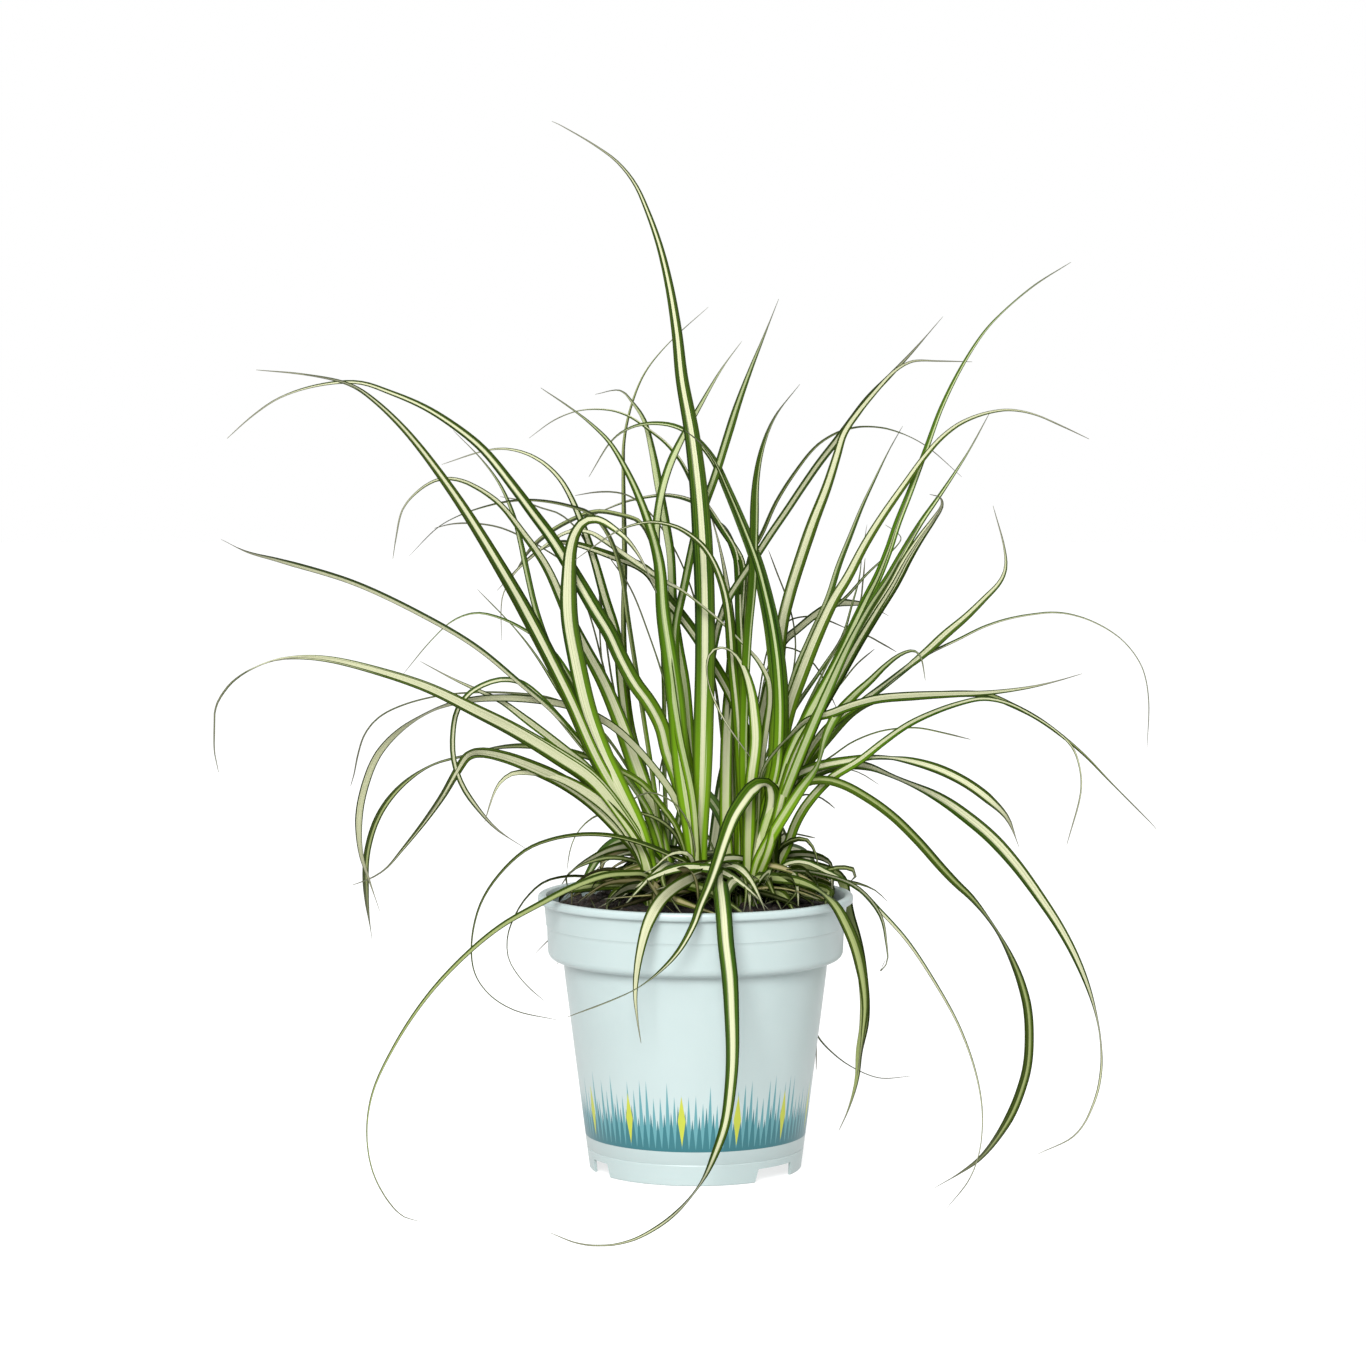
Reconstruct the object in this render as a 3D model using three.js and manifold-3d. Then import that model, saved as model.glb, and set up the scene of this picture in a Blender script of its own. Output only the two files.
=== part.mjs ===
// A variegated sedge in a 13 cm nursery pot: the pot, its soil and the tufts of strap leaves that grow in it.
// Millimetres, +Z up. The origin is on the pot's axis, on the surface that the pot stands on, and -Y is its
// front.
import * as THREE from "three";
import { mergeVertices } from "three/addons/utils/BufferGeometryUtils.js";
import Module from "manifold-3d";

const wasm = await Module();
wasm.setup();

// Pot: outside radii and heights.
const RIM_RADIUS = 65;
const RIM_TOP = 113.5;
const BEAD_HEIGHT = 3.4;
const BEAD_ROUND = 0.8;
const COLLAR_TOP_RADIUS = 62.4;
const COLLAR_LOW_RADIUS = 60.9;
const COLLAR_BOTTOM = 86.9;
const COLLAR_CORNER = 3.5;
const COLLAR_CORNER_STEPS = 2;
const COLLAR_LINE_DROP = 12.8;
const COLLAR_LINE_STEP = 0.3;
const BODY_TOP_RADIUS = 54.8;
const FOOT_RADIUS = 43.8;
const WALL = 1.3;
const FLOOR_RAISE = 6;
const NOTCH_HEIGHT = 5.6;
const NOTCHES = [
  { angle: 48, width: 20 },
  { angle: -62, width: 12 },
  { angle: 228, width: 20 },
  { angle: 118, width: 12 },
];
const NOTCH_SPLAY = 1.4;
const NOTCH_DEPTH = 10;
const DRAIN_RADIUS = 4;
const DRAIN_RING = 27;
const DRAINS = 6;
const DRAIN_SIDES = 12;
const POT_SIDES = 36;

// Soil: how far it stays under the rim, its mound and its lumps.
const GAP = 0.35;
const SOIL_UNDER_RIM = 6;
const SOIL_MOUND = 2.5;
const SOIL_LUMP = 0.7;
const SOIL_RINGS = 5;
const SOIL_SIDES = 20;

// Crowns: the swollen foot of each tuft, set in a plain round hole in the soil.
const CROWN_RADIUS = 7;
const CROWN_BOTTOM = 94;
const CROWN_TOP = 128;
const CROWN_SIDES = 10;
const CROWN_HOLE_DEPTH = 30;
const CROWN_HOLE_SIDES = 12;

// Leaves.
const LEAF_THICKNESS = 0.7;
const LEAF_TIP_WIDTH = 0.7;
const LEAF_ROOT_HEIGHT = 106;
const LEAF_LIFT_HEIGHT = 115;
const LEAF_CLEARANCE = 0.8;
const CLEARING_PASSES = 90;
const SETTLING_PASSES = 14;

// Leaf routes are given as they look from a station in front of the pot. A route point is
// [across, up, depth]: across and up are measured on the upright plane through the pot's axis,
// and depth is how far behind that plane (or, negative, in front of it) the leaf passes, along the
// sight line through that point.
const STATION = new THREE.Vector3(-5.16, -1600, 317);

// Each tuft: the place of its crown, and its leaves as [width, lean, route, taperStart, ...twists]. Width is
// the broadest part as seen from the station, and lean carries the tip that much further back along its sight
// line. The rest, shares of the leaf's length, are given where the taper starts at an unusual place and where
// the blade twists edge-on.
const TUFTS = {
  left: {
    crown: [-15, -9],
    leaves: [
      [7.2, -20, [[-22, 137, -9], [-31, 157, -11], [-38, 172, -12], [-44, 189, -13], [-49, 211, -14],
        [-51.8, 228, -14], [-51.9, 245, -14], [-51, 256.1, -15], [-48.9, 262.8, -16], [-45.3, 267, -17],
        [-39.9, 267.6, -18], [-33.6, 264, -19], [-27.1, 258.3, -20], [-21.9, 250.6, -21],
        [-15.9, 237.5, -22]], 0.62],
      [6.4, -62, [[-22, 135, -6], [-30, 150, -6], [-41, 170, -8], [-52, 195, -10], [-67, 224.9, -12],
        [-79.1, 246.4, -14], [-99, 278.2, -16], [-119.1, 304.5, -18], [-135.1, 319.2, -20],
        [-144, 323.7, -20], [-160, 326.9, -20], [-179.5, 328.7, -20]]],
      [2, -66, [[-24, 140, -4], [-38, 163, -5], [-49.9, 178.3, -7], [-58.4, 188.5, -9],
        [-72.1, 200.4, -10], [-89.9, 215.2, -10], [-109.7, 227.1, -10], [-139.8, 241.5, -10],
        [-169.8, 250.6, -10], [-183.7, 254.3, -10], [-194.5, 259.5, -10]], 0.85],
      [7, -12, [[-22, 131, -9], [-31.3, 146.5, -12], [-42.9, 160.6, -16], [-56.8, 170.3, -20],
        [-74.4, 180.9, -25], [-89.8, 188.8, -29], [-109.8, 198.5, -33], [-129.8, 205.2, -36],
        [-149.9, 210.1, -38], [-163, 211, -39], [-174.9, 209.3, -40], [-190.1, 201.1, -41],
        [-197.9, 189.1, -42], [-198.8, 178, -43], [-196.3, 163.6, -44]], 0.3, 0.8],
      [6, 20, [[-22, 128, -7], [-34, 143, -9], [-44, 152.5, -11], [-55, 160, -14], [-66.1, 165.3, -17],
        [-78, 169.8, -19], [-88, 171.8, -20], [-93.5, 170.6, -21], [-97.9, 164.4, -22], [-104, 154, -23],
        [-111.8, 143, -24], [-121, 131.5, -25], [-127.7, 123.7, -26], [-134.2, 119.6, -27],
        [-141.6, 116.9, -28]], 0.42],
      [5, -10, [[-21, 127, -11], [-29, 141, -14], [-37.7, 150.2, -18], [-48.2, 157.6, -22],
        [-58.8, 162.3, -26], [-70, 163.7, -29], [-76, 162.9, -30], [-80.4, 159.5, -31], [-83, 155, -32],
        [-86.9, 143, -33]], 0.5],
      [3.2, 12, [[-25, 141, -3], [-44, 165, -2], [-53.6, 173, -3], [-61.8, 179.4, -4], [-70.4, 185.9, -5],
        [-80.2, 193.1, -6], [-90.1, 197.7, -7], [-100.1, 202.4, -8], [-113.1, 209.4, -9]], 0.65],
      [2.1, 0, [[-24, 140, -7], [-40, 166, -9], [-48.8, 178, -10], [-58.2, 188.8, -11],
        [-65.1, 195.9, -12], [-71.9, 200.8, -13], [-79.1, 201.9, -14], [-86.3, 200.1, -15],
        [-93.3, 195.9, -16], [-98, 189, -17], [-99.8, 179, -18], [-99.3, 168, -19], [-95.9, 158.1, -20],
        [-89.9, 149, -20], [-81.9, 140.1, -21], [-69.6, 131.8, -22]], 0.85],
      [3, 45, [[-26, 146, -2], [-39, 168, -3], [-50, 186.8, -4], [-57.3, 198.7, -5], [-65.4, 211.6, -6],
        [-74.2, 223, -8], [-89.5, 239, -10]], 0.25],
      [2.2, 30, [[-25, 145, 2], [-36, 170, 4], [-45, 190, 5], [-52, 204, 5], [-60, 215, 4],
        [-70.2, 222.4, 2], [-80, 227.2, 0], [-90, 229.3, -1], [-99.3, 226.3, -2], [-108.8, 217.7, -2],
        [-119.9, 204.4, -3]]],
      [3.2, 0, [[-20, 121, -16], [-28, 121.8, -24], [-38, 120.8, -31], [-52, 115.5, -37],
        [-64.4, 109, -42], [-80.7, 99.6, -50], [-96, 86.8, -58], [-110.8, 70.7, -68], [-124.4, 50.3, -80],
        [-134, 29.4, -92], [-136.1, 10.6, -102], [-132.4, -6.4, -110], [-122.2, -20.9, -116],
        [-114.3, -23.6, -118]], 0.05],
      [3.2, 0, [[-21, 118, -20], [-29.7, 118.6, -23], [-37, 117.4, -26], [-43, 114, -30],
        [-48.7, 109.6, -33]]],
    ],
  },
  left_rear: {
    crown: [-9, 16],
    leaves: [
      [8, 10, [[-14, 133, 16], [-19.8, 152.4, 17], [-25.8, 169.6, 18], [-31.8, 186.3, 19], [-38, 201, 19],
        [-45.5, 215, 18], [-52.1, 227.9, 17], [-61.4, 248.5, 15], [-70.6, 261.9, 13], [-80.3, 274.1, 10],
        [-90.1, 281, 8], [-98, 284.1, 6], [-106.3, 283.7, 4], [-114.5, 278.5, 2], [-120.1, 271.6, 1],
        [-122.6, 261, 0], [-124.1, 251.5, 0]], 0.18],
      [3.9, 62, [[-15, 138, 20], [-24, 160, 22], [-28, 180, 24], [-30.5, 200, 25], [-32.5, 220, 25],
        [-37.3, 235.9, 24], [-41.8, 251.9, 22], [-46.5, 265.8, 20], [-51.6, 277.7, 17],
        [-55.7, 284.4, 15], [-62, 290.6, 12], [-70, 294.9, 9], [-79, 296.6, 6], [-87.9, 295.3, 3],
        [-103.9, 290.1, 0]], 0.55],
      [2.1, 78, [[-14, 140, 24], [-20.5, 163.6, 27], [-25.6, 180.5, 29], [-28.5, 203, 30],
        [-29.5, 225.9, 30], [-29, 247, 29], [-29.3, 270, 27], [-29.5, 285, 25], [-29.2, 300.1, 22],
        [-25.8, 315.6, 19], [-20.3, 328.2, 16], [-10.3, 340.3, 12], [5.2, 354.3, 8]], 0.55],
      [2.4, 52, [[-18, 145, 12], [-38, 175, 10], [-52, 200, 8], [-60, 215, 6], [-65.5, 230.4, 4],
        [-69.4, 247.1, 2], [-71.8, 258.5, 0], [-74.8, 269.8, -2], [-79.9, 281.6, -4], [-87.4, 292, -6],
        [-99.3, 304.2, -8]], 0.7],
      [1.8, 62, [[-16, 150, 14], [-22, 190, 12], [-27.4, 224.8, 10], [-30.9, 247.7, 8], [-36.1, 261.9, 6],
        [-42.8, 269.9, 4], [-51.6, 273.1, 2], [-60, 274.9, 0], [-69, 275.6, -2], [-78, 274.8, -3],
        [-88, 272.4, -4], [-96.9, 269.2, -5], [-105.8, 264.2, -5], [-117.3, 252.8, -5]], 0.55],
      [1.7, 60, [[-12.8, 160, 25], [-13.1, 200, 30], [-15, 240, 30], [-18, 258, 28], [-22.9, 266.6, 26],
        [-30.8, 269.5, 24], [-40.8, 270.9, 21], [-50.3, 267.7, 18], [-60, 262.2, 15], [-67.8, 255.3, 12],
        [-77, 241, 9]], 0.9],
      [1.8, 0, [[-22, 122, 14], [-34, 120, 12], [-45.1, 120.5, 10], [-53, 120.6, 9], [-62.4, 118.2, 8],
        [-69.5, 112, 6], [-74, 105.2, 4], [-77.5, 96, 1], [-77.3, 86.9, -2], [-73.7, 80, -5],
        [-68.5, 74, -7], [-62.3, 68.6, -9]], 0.05],
      [4.4, 0, [[-16, 127, 9], [-24.3, 133, 11], [-33.3, 132.3, 13], [-43.8, 127.6, 16],
        [-51.3, 122.3, 20], [-55.8, 116.3, 24]]],
      [2.4, 0, [[-17, 129, 14], [-23.3, 130.6, 17], [-31, 129.4, 20], [-37.7, 126.4, 22],
        [-42.5, 121, 24]]],
      [2.2, 0, [[-20, 124, 40], [-30, 118, 58], [-48, 109, 72], [-57, 98, 77], [-66, 88.7, 78]]],
      [5.4, 0, [[-12, 133, 32], [-13, 143, 50], [-16, 146, 72], [-20, 139, 92], [-25, 124, 107],
        [-31, 100, 118], [-35, 72, 124], [-37, 44, 124]]],
      [4.6, 0, [[-16, 131, 22], [-28, 136, 45], [-38, 131, 65], [-46, 118, 82], [-52, 100, 95],
        [-57, 84, 106]]],
    ],
  },
  middle: {
    crown: [2, 3],
    leaves: [
      [8.4, -30, [[1.6, 135, 0], [2.6, 158, -1], [3.3, 185, -2], [3.9, 213, -3], [3.4, 245.7, -4],
        [1.4, 277.7, -5], [-1.6, 303, -5], [-5.6, 324.9, -5], [-7.8, 344.9, -5], [-10.8, 363, -4],
        [-14.7, 379.1, -3], [-19.6, 393, -2], [-24.7, 404.2, -1], [-31.9, 413.1, 0], [-41.8, 420.3, 1],
        [-58.5, 429.9, 2]]],
      [7.6, -64, [[-2, 140, -3], [-5.8, 166.6, -5], [-8, 192, -7], [-10.3, 209, -8], [-13.3, 229, -9],
        [-14.7, 248.1, -10], [-17.4, 260.1, -10], [-22.4, 274.9, -10], [-28.3, 287.8, -9],
        [-35.2, 299.2, -8], [-43.2, 307.1, -6], [-51.8, 313.7, -4], [-63.3, 321.4, -2]], 0.38],
      [6.4, -54, [[-3.5, 145, 2], [-7.5, 160.7, 3], [-11.3, 171.9, 3], [-14, 182.8, 3], [-18.9, 192.1, 2],
        [-24.9, 200.3, 1.5], [-30.5, 210.5, 1], [-35.4, 221.2, 0], [-41.3, 230.8, -1], [-47, 240.6, -1],
        [-59.2, 260.4, -3], [-66.5, 270.2, -5], [-74, 280.3, -7], [-86.1, 295.4, -9], [-95.1, 303.3, -10],
        [-110.2, 313.2, -12], [-125, 319.6, -13], [-138, 323.7, -14], [-155.1, 322.3, -14],
        [-170.2, 317.3, -14], [-181.3, 309.9, -14], [-191.7, 300.7, -14]], 0.38],
      [3, 0, [[-3.4, 140, -2], [-6.8, 149.1, -1], [-10.2, 155.8, 0], [-17.3, 165.5, 1], [-25.6, 175, 2],
        [-32, 181, 1], [-38.6, 185.5, 0], [-47, 189.6, -1], [-60.1, 192.7, -3], [-75, 194.2, -5],
        [-90, 193.8, -8], [-103, 191.1, -11], [-112.8, 186.7, -14], [-122.8, 179.8, -18],
        [-130.7, 170.8, -22], [-135.8, 158.8, -26], [-138.6, 145, -29], [-137.9, 129.9, -31],
        [-134.5, 118.8, -33], [-130.2, 105.9, -35]], 0.85, 0.64],
      [2.5, 12, [[-4.6, 132.5, -2], [-8.8, 142.8, -2], [-13.1, 148.6, -2], [-21.6, 158.8, -1],
        [-31.3, 164.6, -1], [-40, 168.5, -2], [-54.5, 172.8, -4], [-70, 174.5, -6], [-81.9, 173.7, -8],
        [-93.8, 170.7, -10], [-108.8, 166.4, -12], [-121.9, 157.2, -14], [-130.6, 145.4, -15],
        [-135.4, 129.9, -16], [-135.7, 112.1, -17], [-133.5, 94.1, -17]], 0.9, 0.56, 0.64],
      [2.2, 0, [[-5, 131, 4], [-10, 140, 5], [-17.5, 145.2, 6], [-26, 147.3, 7], [-33, 147.6, 8],
        [-40.9, 145.6, 8], [-45.7, 142.2, 8], [-49.6, 137.1, 7], [-51.9, 130.5, 6],
        [-52.9, 123.5, 5]], 0.25],
      [2.2, 0, [[-3, 126, -8], [-10.8, 129.6, -13], [-21.5, 134, -18], [-34.3, 137.4, -20],
        [-47.2, 137.9, -21], [-60, 135.7, -22], [-70.4, 131.2, -23], [-82.1, 119.9, -25],
        [-89.2, 107.9, -28], [-92.5, 92, -31], [-91.1, 80, -34], [-84.9, 71.1, -37], [-74.7, 64.8, -40],
        [-57.7, 60.9, -44]], 0.15],
      [3.3, 66, [[0, 150, 4], [-4, 175, 2], [-7.5, 200, -1], [-8.3, 222, -4], [-4.7, 240.3, -9],
        [0.9, 265.4, -13], [8, 285.6, -13], [12.2, 299, -13], [17, 314.1, -12], [22.2, 328.3, -10],
        [27.4, 341.2, -8], [33.9, 357.6, -6]], 0.75],
      [3.2, 44, [[-1, 150, -6], [-7, 180, -9], [-11, 208, -12], [-13.9, 232, -14], [-15.6, 250, -15],
        [-16.2, 262, -15], [-14.4, 276.6, -15], [-10.8, 289.5, -14], [-5.5, 301, -13], [1.4, 313.4, -12],
        [10.4, 328.8, -10], [18.8, 340.3, -8]], 0.75],
      [3, 72, [[2.5, 150, 6], [4.5, 180, 9], [6, 205, 10], [9.5, 224, 9], [13.5, 235, 8],
        [18.3, 242.7, 8], [24.1, 251.3, 9], [30.5, 261.2, 10], [37.2, 271, 10], [43.8, 280.9, 9.5],
        [50.6, 290.7, 9], [57.9, 300.1, 8], [63.5, 307.6, 7], [71.2, 317.8, 6], [80, 326.9, 4],
        [89.9, 337.6, 2], [101, 350.5, 0]], 0.8],
      [3.4, 62, [[-0.5, 145, 6], [-2, 175, 9], [-4, 200, 11], [-7, 217, 12], [-9.2, 233, 12],
        [-10.2, 253, 12], [-12.6, 267.9, 11], [-15, 280.8, 10], [-17.7, 295.3, 9], [-21, 308, 8],
        [-25.8, 315.4, 7], [-30.9, 320.4, 5], [-41.1, 318.7, 3]], 0.75],
      [2.2, 0, [[-3, 129.5, -8], [-9.5, 129.9, -13], [-13.7, 127.2, -17], [-17.5, 123.7, -20],
        [-21.7, 121.9, -22]]],
      [5, 0, [[4, 121.5, -16], [-1.3, 120, -28], [-9.5, 115.3, -44], [-15.7, 108.8, -58],
        [-20.2, 99.7, -66.5], [-22.8, 89.8, -70], [-24.4, 80, -70.5], [-24.9, 70, -70], [-23.9, 60, -69],
        [-22.5, 51, -68]], 0.6],
      [3.6, 0, [[3, 120, -20], [-3, 118.6, -28], [-9, 117, -34], [-15, 115.4, -38], [-21, 113, -42]]],
      [2.4, 0, [[2, 115.5, -26], [-8, 113.8, -34], [-18, 112.8, -38], [-28, 112, -41],
        [-37.7, 111.1, -43]]],
    ],
  },
  rear: {
    crown: [17, 20],
    leaves: [
      [4.6, 44, [[20, 140, 18], [22.5, 160, 17], [21.5, 175, 16], [17.5, 189, 14], [12, 200.5, 12],
        [6, 210.5, 10], [0.5, 219.5, 8], [-6.5, 229, 6], [-13, 236.6, 6], [-18.4, 245.1, 8],
        [-23.9, 249, 9], [-32, 251.9, 10], [-42.1, 255.5, 11], [-50, 257.8, 13], [-58, 257.9, 19],
        [-65.7, 254, 22], [-72.5, 248, 23], [-81.4, 238.5, 24]], 0.6],
      [2.8, 72, [[17, 140, 18], [18, 165, 17], [18.3, 190, 16], [18.5, 208, 16], [17.6, 228, 16],
        [17.2, 243.2, 15], [15.8, 255.1, 14], [11.1, 263.3, 13], [5.4, 272.2, 12], [-0.7, 281.1, 11],
        [-5.7, 290.8, 10], [-12, 298.6, 9], [-19.3, 304.4, 8], [-26.1, 309.2, 6], [-33, 311.9, 5],
        [-41, 312.7, 4], [-49, 311.8, 3], [-58.1, 308.1, 2], [-68.1, 300.9, 1]]],
      [2.7, 62, [[15, 140, 18], [14.5, 170, 20], [16, 205, 22], [18.9, 235, 21], [19, 249.9, 20],
        [15.8, 256.2, 19], [11.6, 262.2, 19], [4.8, 271.5, 18], [-1.1, 275, 18], [-7, 276.9, 18],
        [-13, 277.6, 18], [-20, 276.8, 18], [-28, 275.1, 18], [-35.9, 272.1, 17], [-42.8, 268.8, 16],
        [-54.3, 261.8, 14]], 0.6],
      [2, 78, [[18, 140, 22], [18.5, 180, 24], [19.5, 215, 24], [20.5, 240, 22], [22.5, 253, 20],
        [27, 261.2, 18], [32.8, 274.3, 17], [40.9, 287.2, 16], [49.2, 297.5, 15], [57, 302.7, 14],
        [64, 305, 13], [70, 305.6, 12], [78, 304.8, 11], [86.1, 302.1, 10], [95.1, 297.1, 9],
        [109, 285, 8]]],
      [5, 70, [[12.5, 140, 14], [12.4, 160, 14], [13, 182, 14], [14.5, 205, 13], [15, 222, 12],
        [13, 240, 12], [10, 256, 12], [5, 274, 12]]],
      [2.9, 76, [[19.5, 160, 12], [20, 180, 12], [20.5, 200, 12], [20, 225, 12], [18.3, 245.1, 12],
        [13.2, 261.1, 12], [4.9, 269.9, 12]], 0.9],
      [3.2, 72, [[19, 140, 24], [24, 170, 25], [30, 200, 24], [35.6, 216.7, 22], [42.1, 222.7, 20],
        [49.9, 229.1, 17], [56.9, 233, 14], [64, 233.3, 12], [71.1, 232.4, 10], [79.2, 228.1, 8]], 0.8],
      [1.8, 70, [[24, 150, 28], [38, 185, 28], [51, 205, 26], [60, 219, 24], [64, 232, 22], [67, 243, 20],
        [68.2, 252.8, 19], [70.2, 265.5, 18]]],
      [1.8, 0, [[22, 124, 48], [30, 118, 66], [36, 105, 78], [42, 80, 83], [47, 62, 83], [51.1, 53.1, 82],
        [56.1, 47.6, 82], [62.2, 42.7, 82], [70.2, 38.4, 81], [77, 36.4, 80], [89.5, 37.4, 78]], 0.4],
      [6.6, 0, [[17, 138, 36], [18, 158, 54], [18, 172, 78], [15, 172, 104], [11, 156, 126],
        [7, 130, 142], [3, 98, 152], [-1, 64, 157], [-5, 46, 159], [-12, 34, 157], [-26, 31, 150]]],
      [5.2, 0, [[20, 136, 34], [28, 143, 60], [34, 140, 82], [39, 128, 98], [43, 108, 112],
        [45, 76, 128]]],
      [4.8, 0, [[14, 136, 38], [8, 150, 58], [1, 156, 80], [-5, 150, 100], [-9, 132, 116],
        [-11, 108, 126], [-11, 84, 131]]],
    ],
  },
  right: {
    crown: [21, -8],
    leaves: [
      [8, 34, [[25, 135, -7], [29, 150, -7], [33, 165, -8], [34.4, 186, -9], [33.7, 205, -9],
        [31.6, 222, -7], [28.5, 237, -4], [24.7, 251, -1], [18.3, 267.4, 2], [12.8, 280.3, 4],
        [7.9, 291, 5], [1.9, 298.9, 5], [-4.6, 304.2, 5], [-11, 306.5, 5], [-18, 307, 5], [-24, 306.1, 4],
        [-30, 303.5, 3], [-35.1, 299, 3], [-43.7, 285, 2]], 0.36],
      [7.2, 74, [[27, 135, -9], [35, 160, -11], [40.5, 174.9, -12], [46.3, 186.6, -12],
        [52.7, 198.4, -12], [59.8, 212.4, -12], [65.7, 225.6, -12], [70.8, 236.3, -11],
        [74.9, 244.5, -10], [79.1, 255.2, -9], [82.7, 266.1, -8], [87.8, 279.1, -7], [93.8, 295.1, -6],
        [100.4, 313.2, -6], [108.7, 330.1, -5], [117.4, 343.7, -5], [125, 352, -4], [138, 363, -4],
        [153, 372.5, -4]], 0.05],
      [4.7, 50, [[28, 130, -12], [36, 152, -14], [45, 175, -15], [54, 196, -15], [63, 216, -15],
        [71, 231, -15], [78.8, 243.1, -14], [85.2, 254.5, -13], [92.1, 266.1, -12], [99.3, 276.5, -11],
        [106.3, 287, -10], [112.2, 296.4, -9], [120.2, 311.2, -8]], 0.5],
      [4.6, -48, [[30, 131, -14], [40, 168, -17], [50, 187.5, -18], [59, 203.5, -18], [66.5, 217, -18],
        [74, 229.5, -18], [80.9, 240.6, -18], [86.4, 250.9, -18], [92.2, 260.1, -18], [97.8, 268, -18],
        [100.9, 273.1, -18], [100.2, 276.6, -18], [95.8, 277.9, -18]], 0.75],
      [3.5, -36, [[22, 135, -11], [20, 155, -14], [19.8, 175, -15], [20.3, 198, -15], [21.6, 222, -14],
        [23.3, 240.3, -13], [24, 261.7, -12], [24.7, 283, -10], [27.4, 297.4, -8], [32.4, 309.6, -5],
        [42.6, 322.9, 0]], 0.75],
      [5.2, 0, [[22, 140, -13], [22.7, 158, -15], [24.8, 176, -17], [24.3, 186, -18], [22.5, 198.5, -19],
        [18.5, 209.1, -20], [13.5, 214.3, -21], [9, 215, -22], [5.6, 212, -23], [4.6, 206.5, -23],
        [5.9, 198.4, -23], [9.5, 189.5, -23], [14.5, 181, -23], [22.5, 170, -23]], 0.45, 0.68, 0.78],
      [4, -44, [[20, 140, -8], [18.5, 165, -9], [16.8, 190, -10], [15, 208, -11], [14, 222.5, -12],
        [12.2, 236, -13], [8.5, 247.5, -15], [4.1, 255.4, -16], [-0.9, 260.3, -17], [-6.4, 263.9, -18],
        [-12, 265.8, -18], [-18, 266.6, -18], [-24, 265.8, -18], [-31.1, 263.4, -18], [-38.1, 259.1, -18],
        [-49.5, 251, -19]], 0.5],
      [2.5, 10, [[24, 140, -9], [26, 160, -10], [28.8, 181, -12], [30.3, 193, -12], [29.7, 201.6, -12],
        [26, 209, -12], [19, 217, -12], [11, 225, -12], [3, 231.8, -12], [-5, 238, -8], [-12.1, 241.8, 0],
        [-20.3, 247, 8], [-28.1, 252.3, 15], [-35.8, 257.8, 21], [-43.8, 262.5, 25], [-52, 262.7, 27],
        [-59.6, 258.4, 28], [-67.5, 251.9, 28], [-74.6, 245.2, 27], [-79.2, 236, 26],
        [-79.7, 218, 24]], 0.65, 0.44, 0.52],
      [4.6, -50, [[25.4, 126, -16], [28.6, 132.5, -17], [35.6, 144.3, -18], [43, 156, -18],
        [50, 166, -17], [53.5, 178, -15], [57.6, 186.6, -13], [65.2, 195.3, -11], [72.1, 201.7, -10],
        [77.5, 207.1, -10], [83.6, 211.9, -10], [89.2, 213.8, -10], [92.5, 211.1, -10],
        [94.4, 201.5, -10]], 0.55, 0.46],
      [3.6, -48, [[26, 145, -13], [27.5, 163.7, -17], [32.9, 172.3, -18], [39.3, 179, -18],
        [45.7, 184.9, -18], [55.3, 187.7, -18], [63.8, 190.9, -18], [74.8, 193.8, -17], [90, 195.1, -16],
        [105, 195.8, -15], [120, 196.4, -14], [136.8, 198.6, -13], [147.8, 201.1, -12],
        [158.8, 204.3, -11]], 0.65, 0.2, 0.28, 0.36],
      [7.2, 0, [[24.2, 121, -12], [25.5, 131, -12], [28.5, 139, -12], [31, 147, -13], [31.9, 153, -15],
        [31, 158, -17.5], [27.6, 159, -20], [23.5, 157, -22], [19.5, 152, -25], [15.3, 145.3, -29],
        [11.8, 136, -35], [9, 127, -43], [5.5, 117, -54], [1.8, 108.1, -63], [-1, 100.2, -70],
        [-6.9, 89.6, -74], [-14.1, 81.6, -76], [-24, 74, -77], [-34.1, 69.2, -77],
        [-53, 62, -74]], 0.28, 0.85],
      [6.6, 0, [[13, 122, -20], [10.5, 120.5, -32], [10.2, 117, -46], [10.9, 111.4, -60],
        [11.7, 104, -69.5], [12.5, 93, -73], [14.2, 78, -75], [15, 62, -77], [15.3, 47, -81],
        [14.5, 33, -87], [12.2, 17, -97], [7.3, 3, -109], [2.4, -7, -121], [-5.3, -17.1, -134],
        [-14.4, -25, -145], [-26.1, -31.4, -153], [-38, -33.8, -158], [-48.9, -32.8, -157],
        [-60.4, -28.3, -153]], 0.37, 0.735],
      [4.6, 0, [[24, 119.5, -14], [32.4, 119.8, -18], [43.1, 118.2, -23], [51.2, 114.2, -31],
        [57.3, 108.9, -40], [61.6, 101.8, -44], [65.9, 91.9, -46], [68.8, 80.2, -47], [70.2, 67, -47],
        [69.1, 53.9, -46], [67, 37.8, -45]], 0.65, 0.38],
      [2, 0, [[16, 124, -15], [6.2, 126, -18], [0.3, 125.9, -20], [-5.5, 126.2, -21],
        [-11.6, 125.6, -22]]],
      [1.6, 0, [[25.4, 115.4, -18], [31.3, 116, -21], [38, 115.2, -24], [45, 113.4, -28],
        [50.5, 111, -32]]],
    ],
  },
  right_rear: {
    crown: [33, 10],
    leaves: [
      [5, 72, [[31, 140, 12], [32, 165, 14], [33.5, 195, 15], [35.6, 224, 15], [38.7, 237.3, 15],
        [42.9, 250.9, 15], [48.2, 266.5, 14], [53.7, 280.8, 14], [57.8, 293.7, 14], [60.5, 302.4, 14],
        [65.7, 310.4, 14], [74.2, 320.7, 13], [81.4, 328.3, 12], [88.6, 332.2, 11], [99, 332.3, 10],
        [113, 332, 9]], 0.55],
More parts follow.
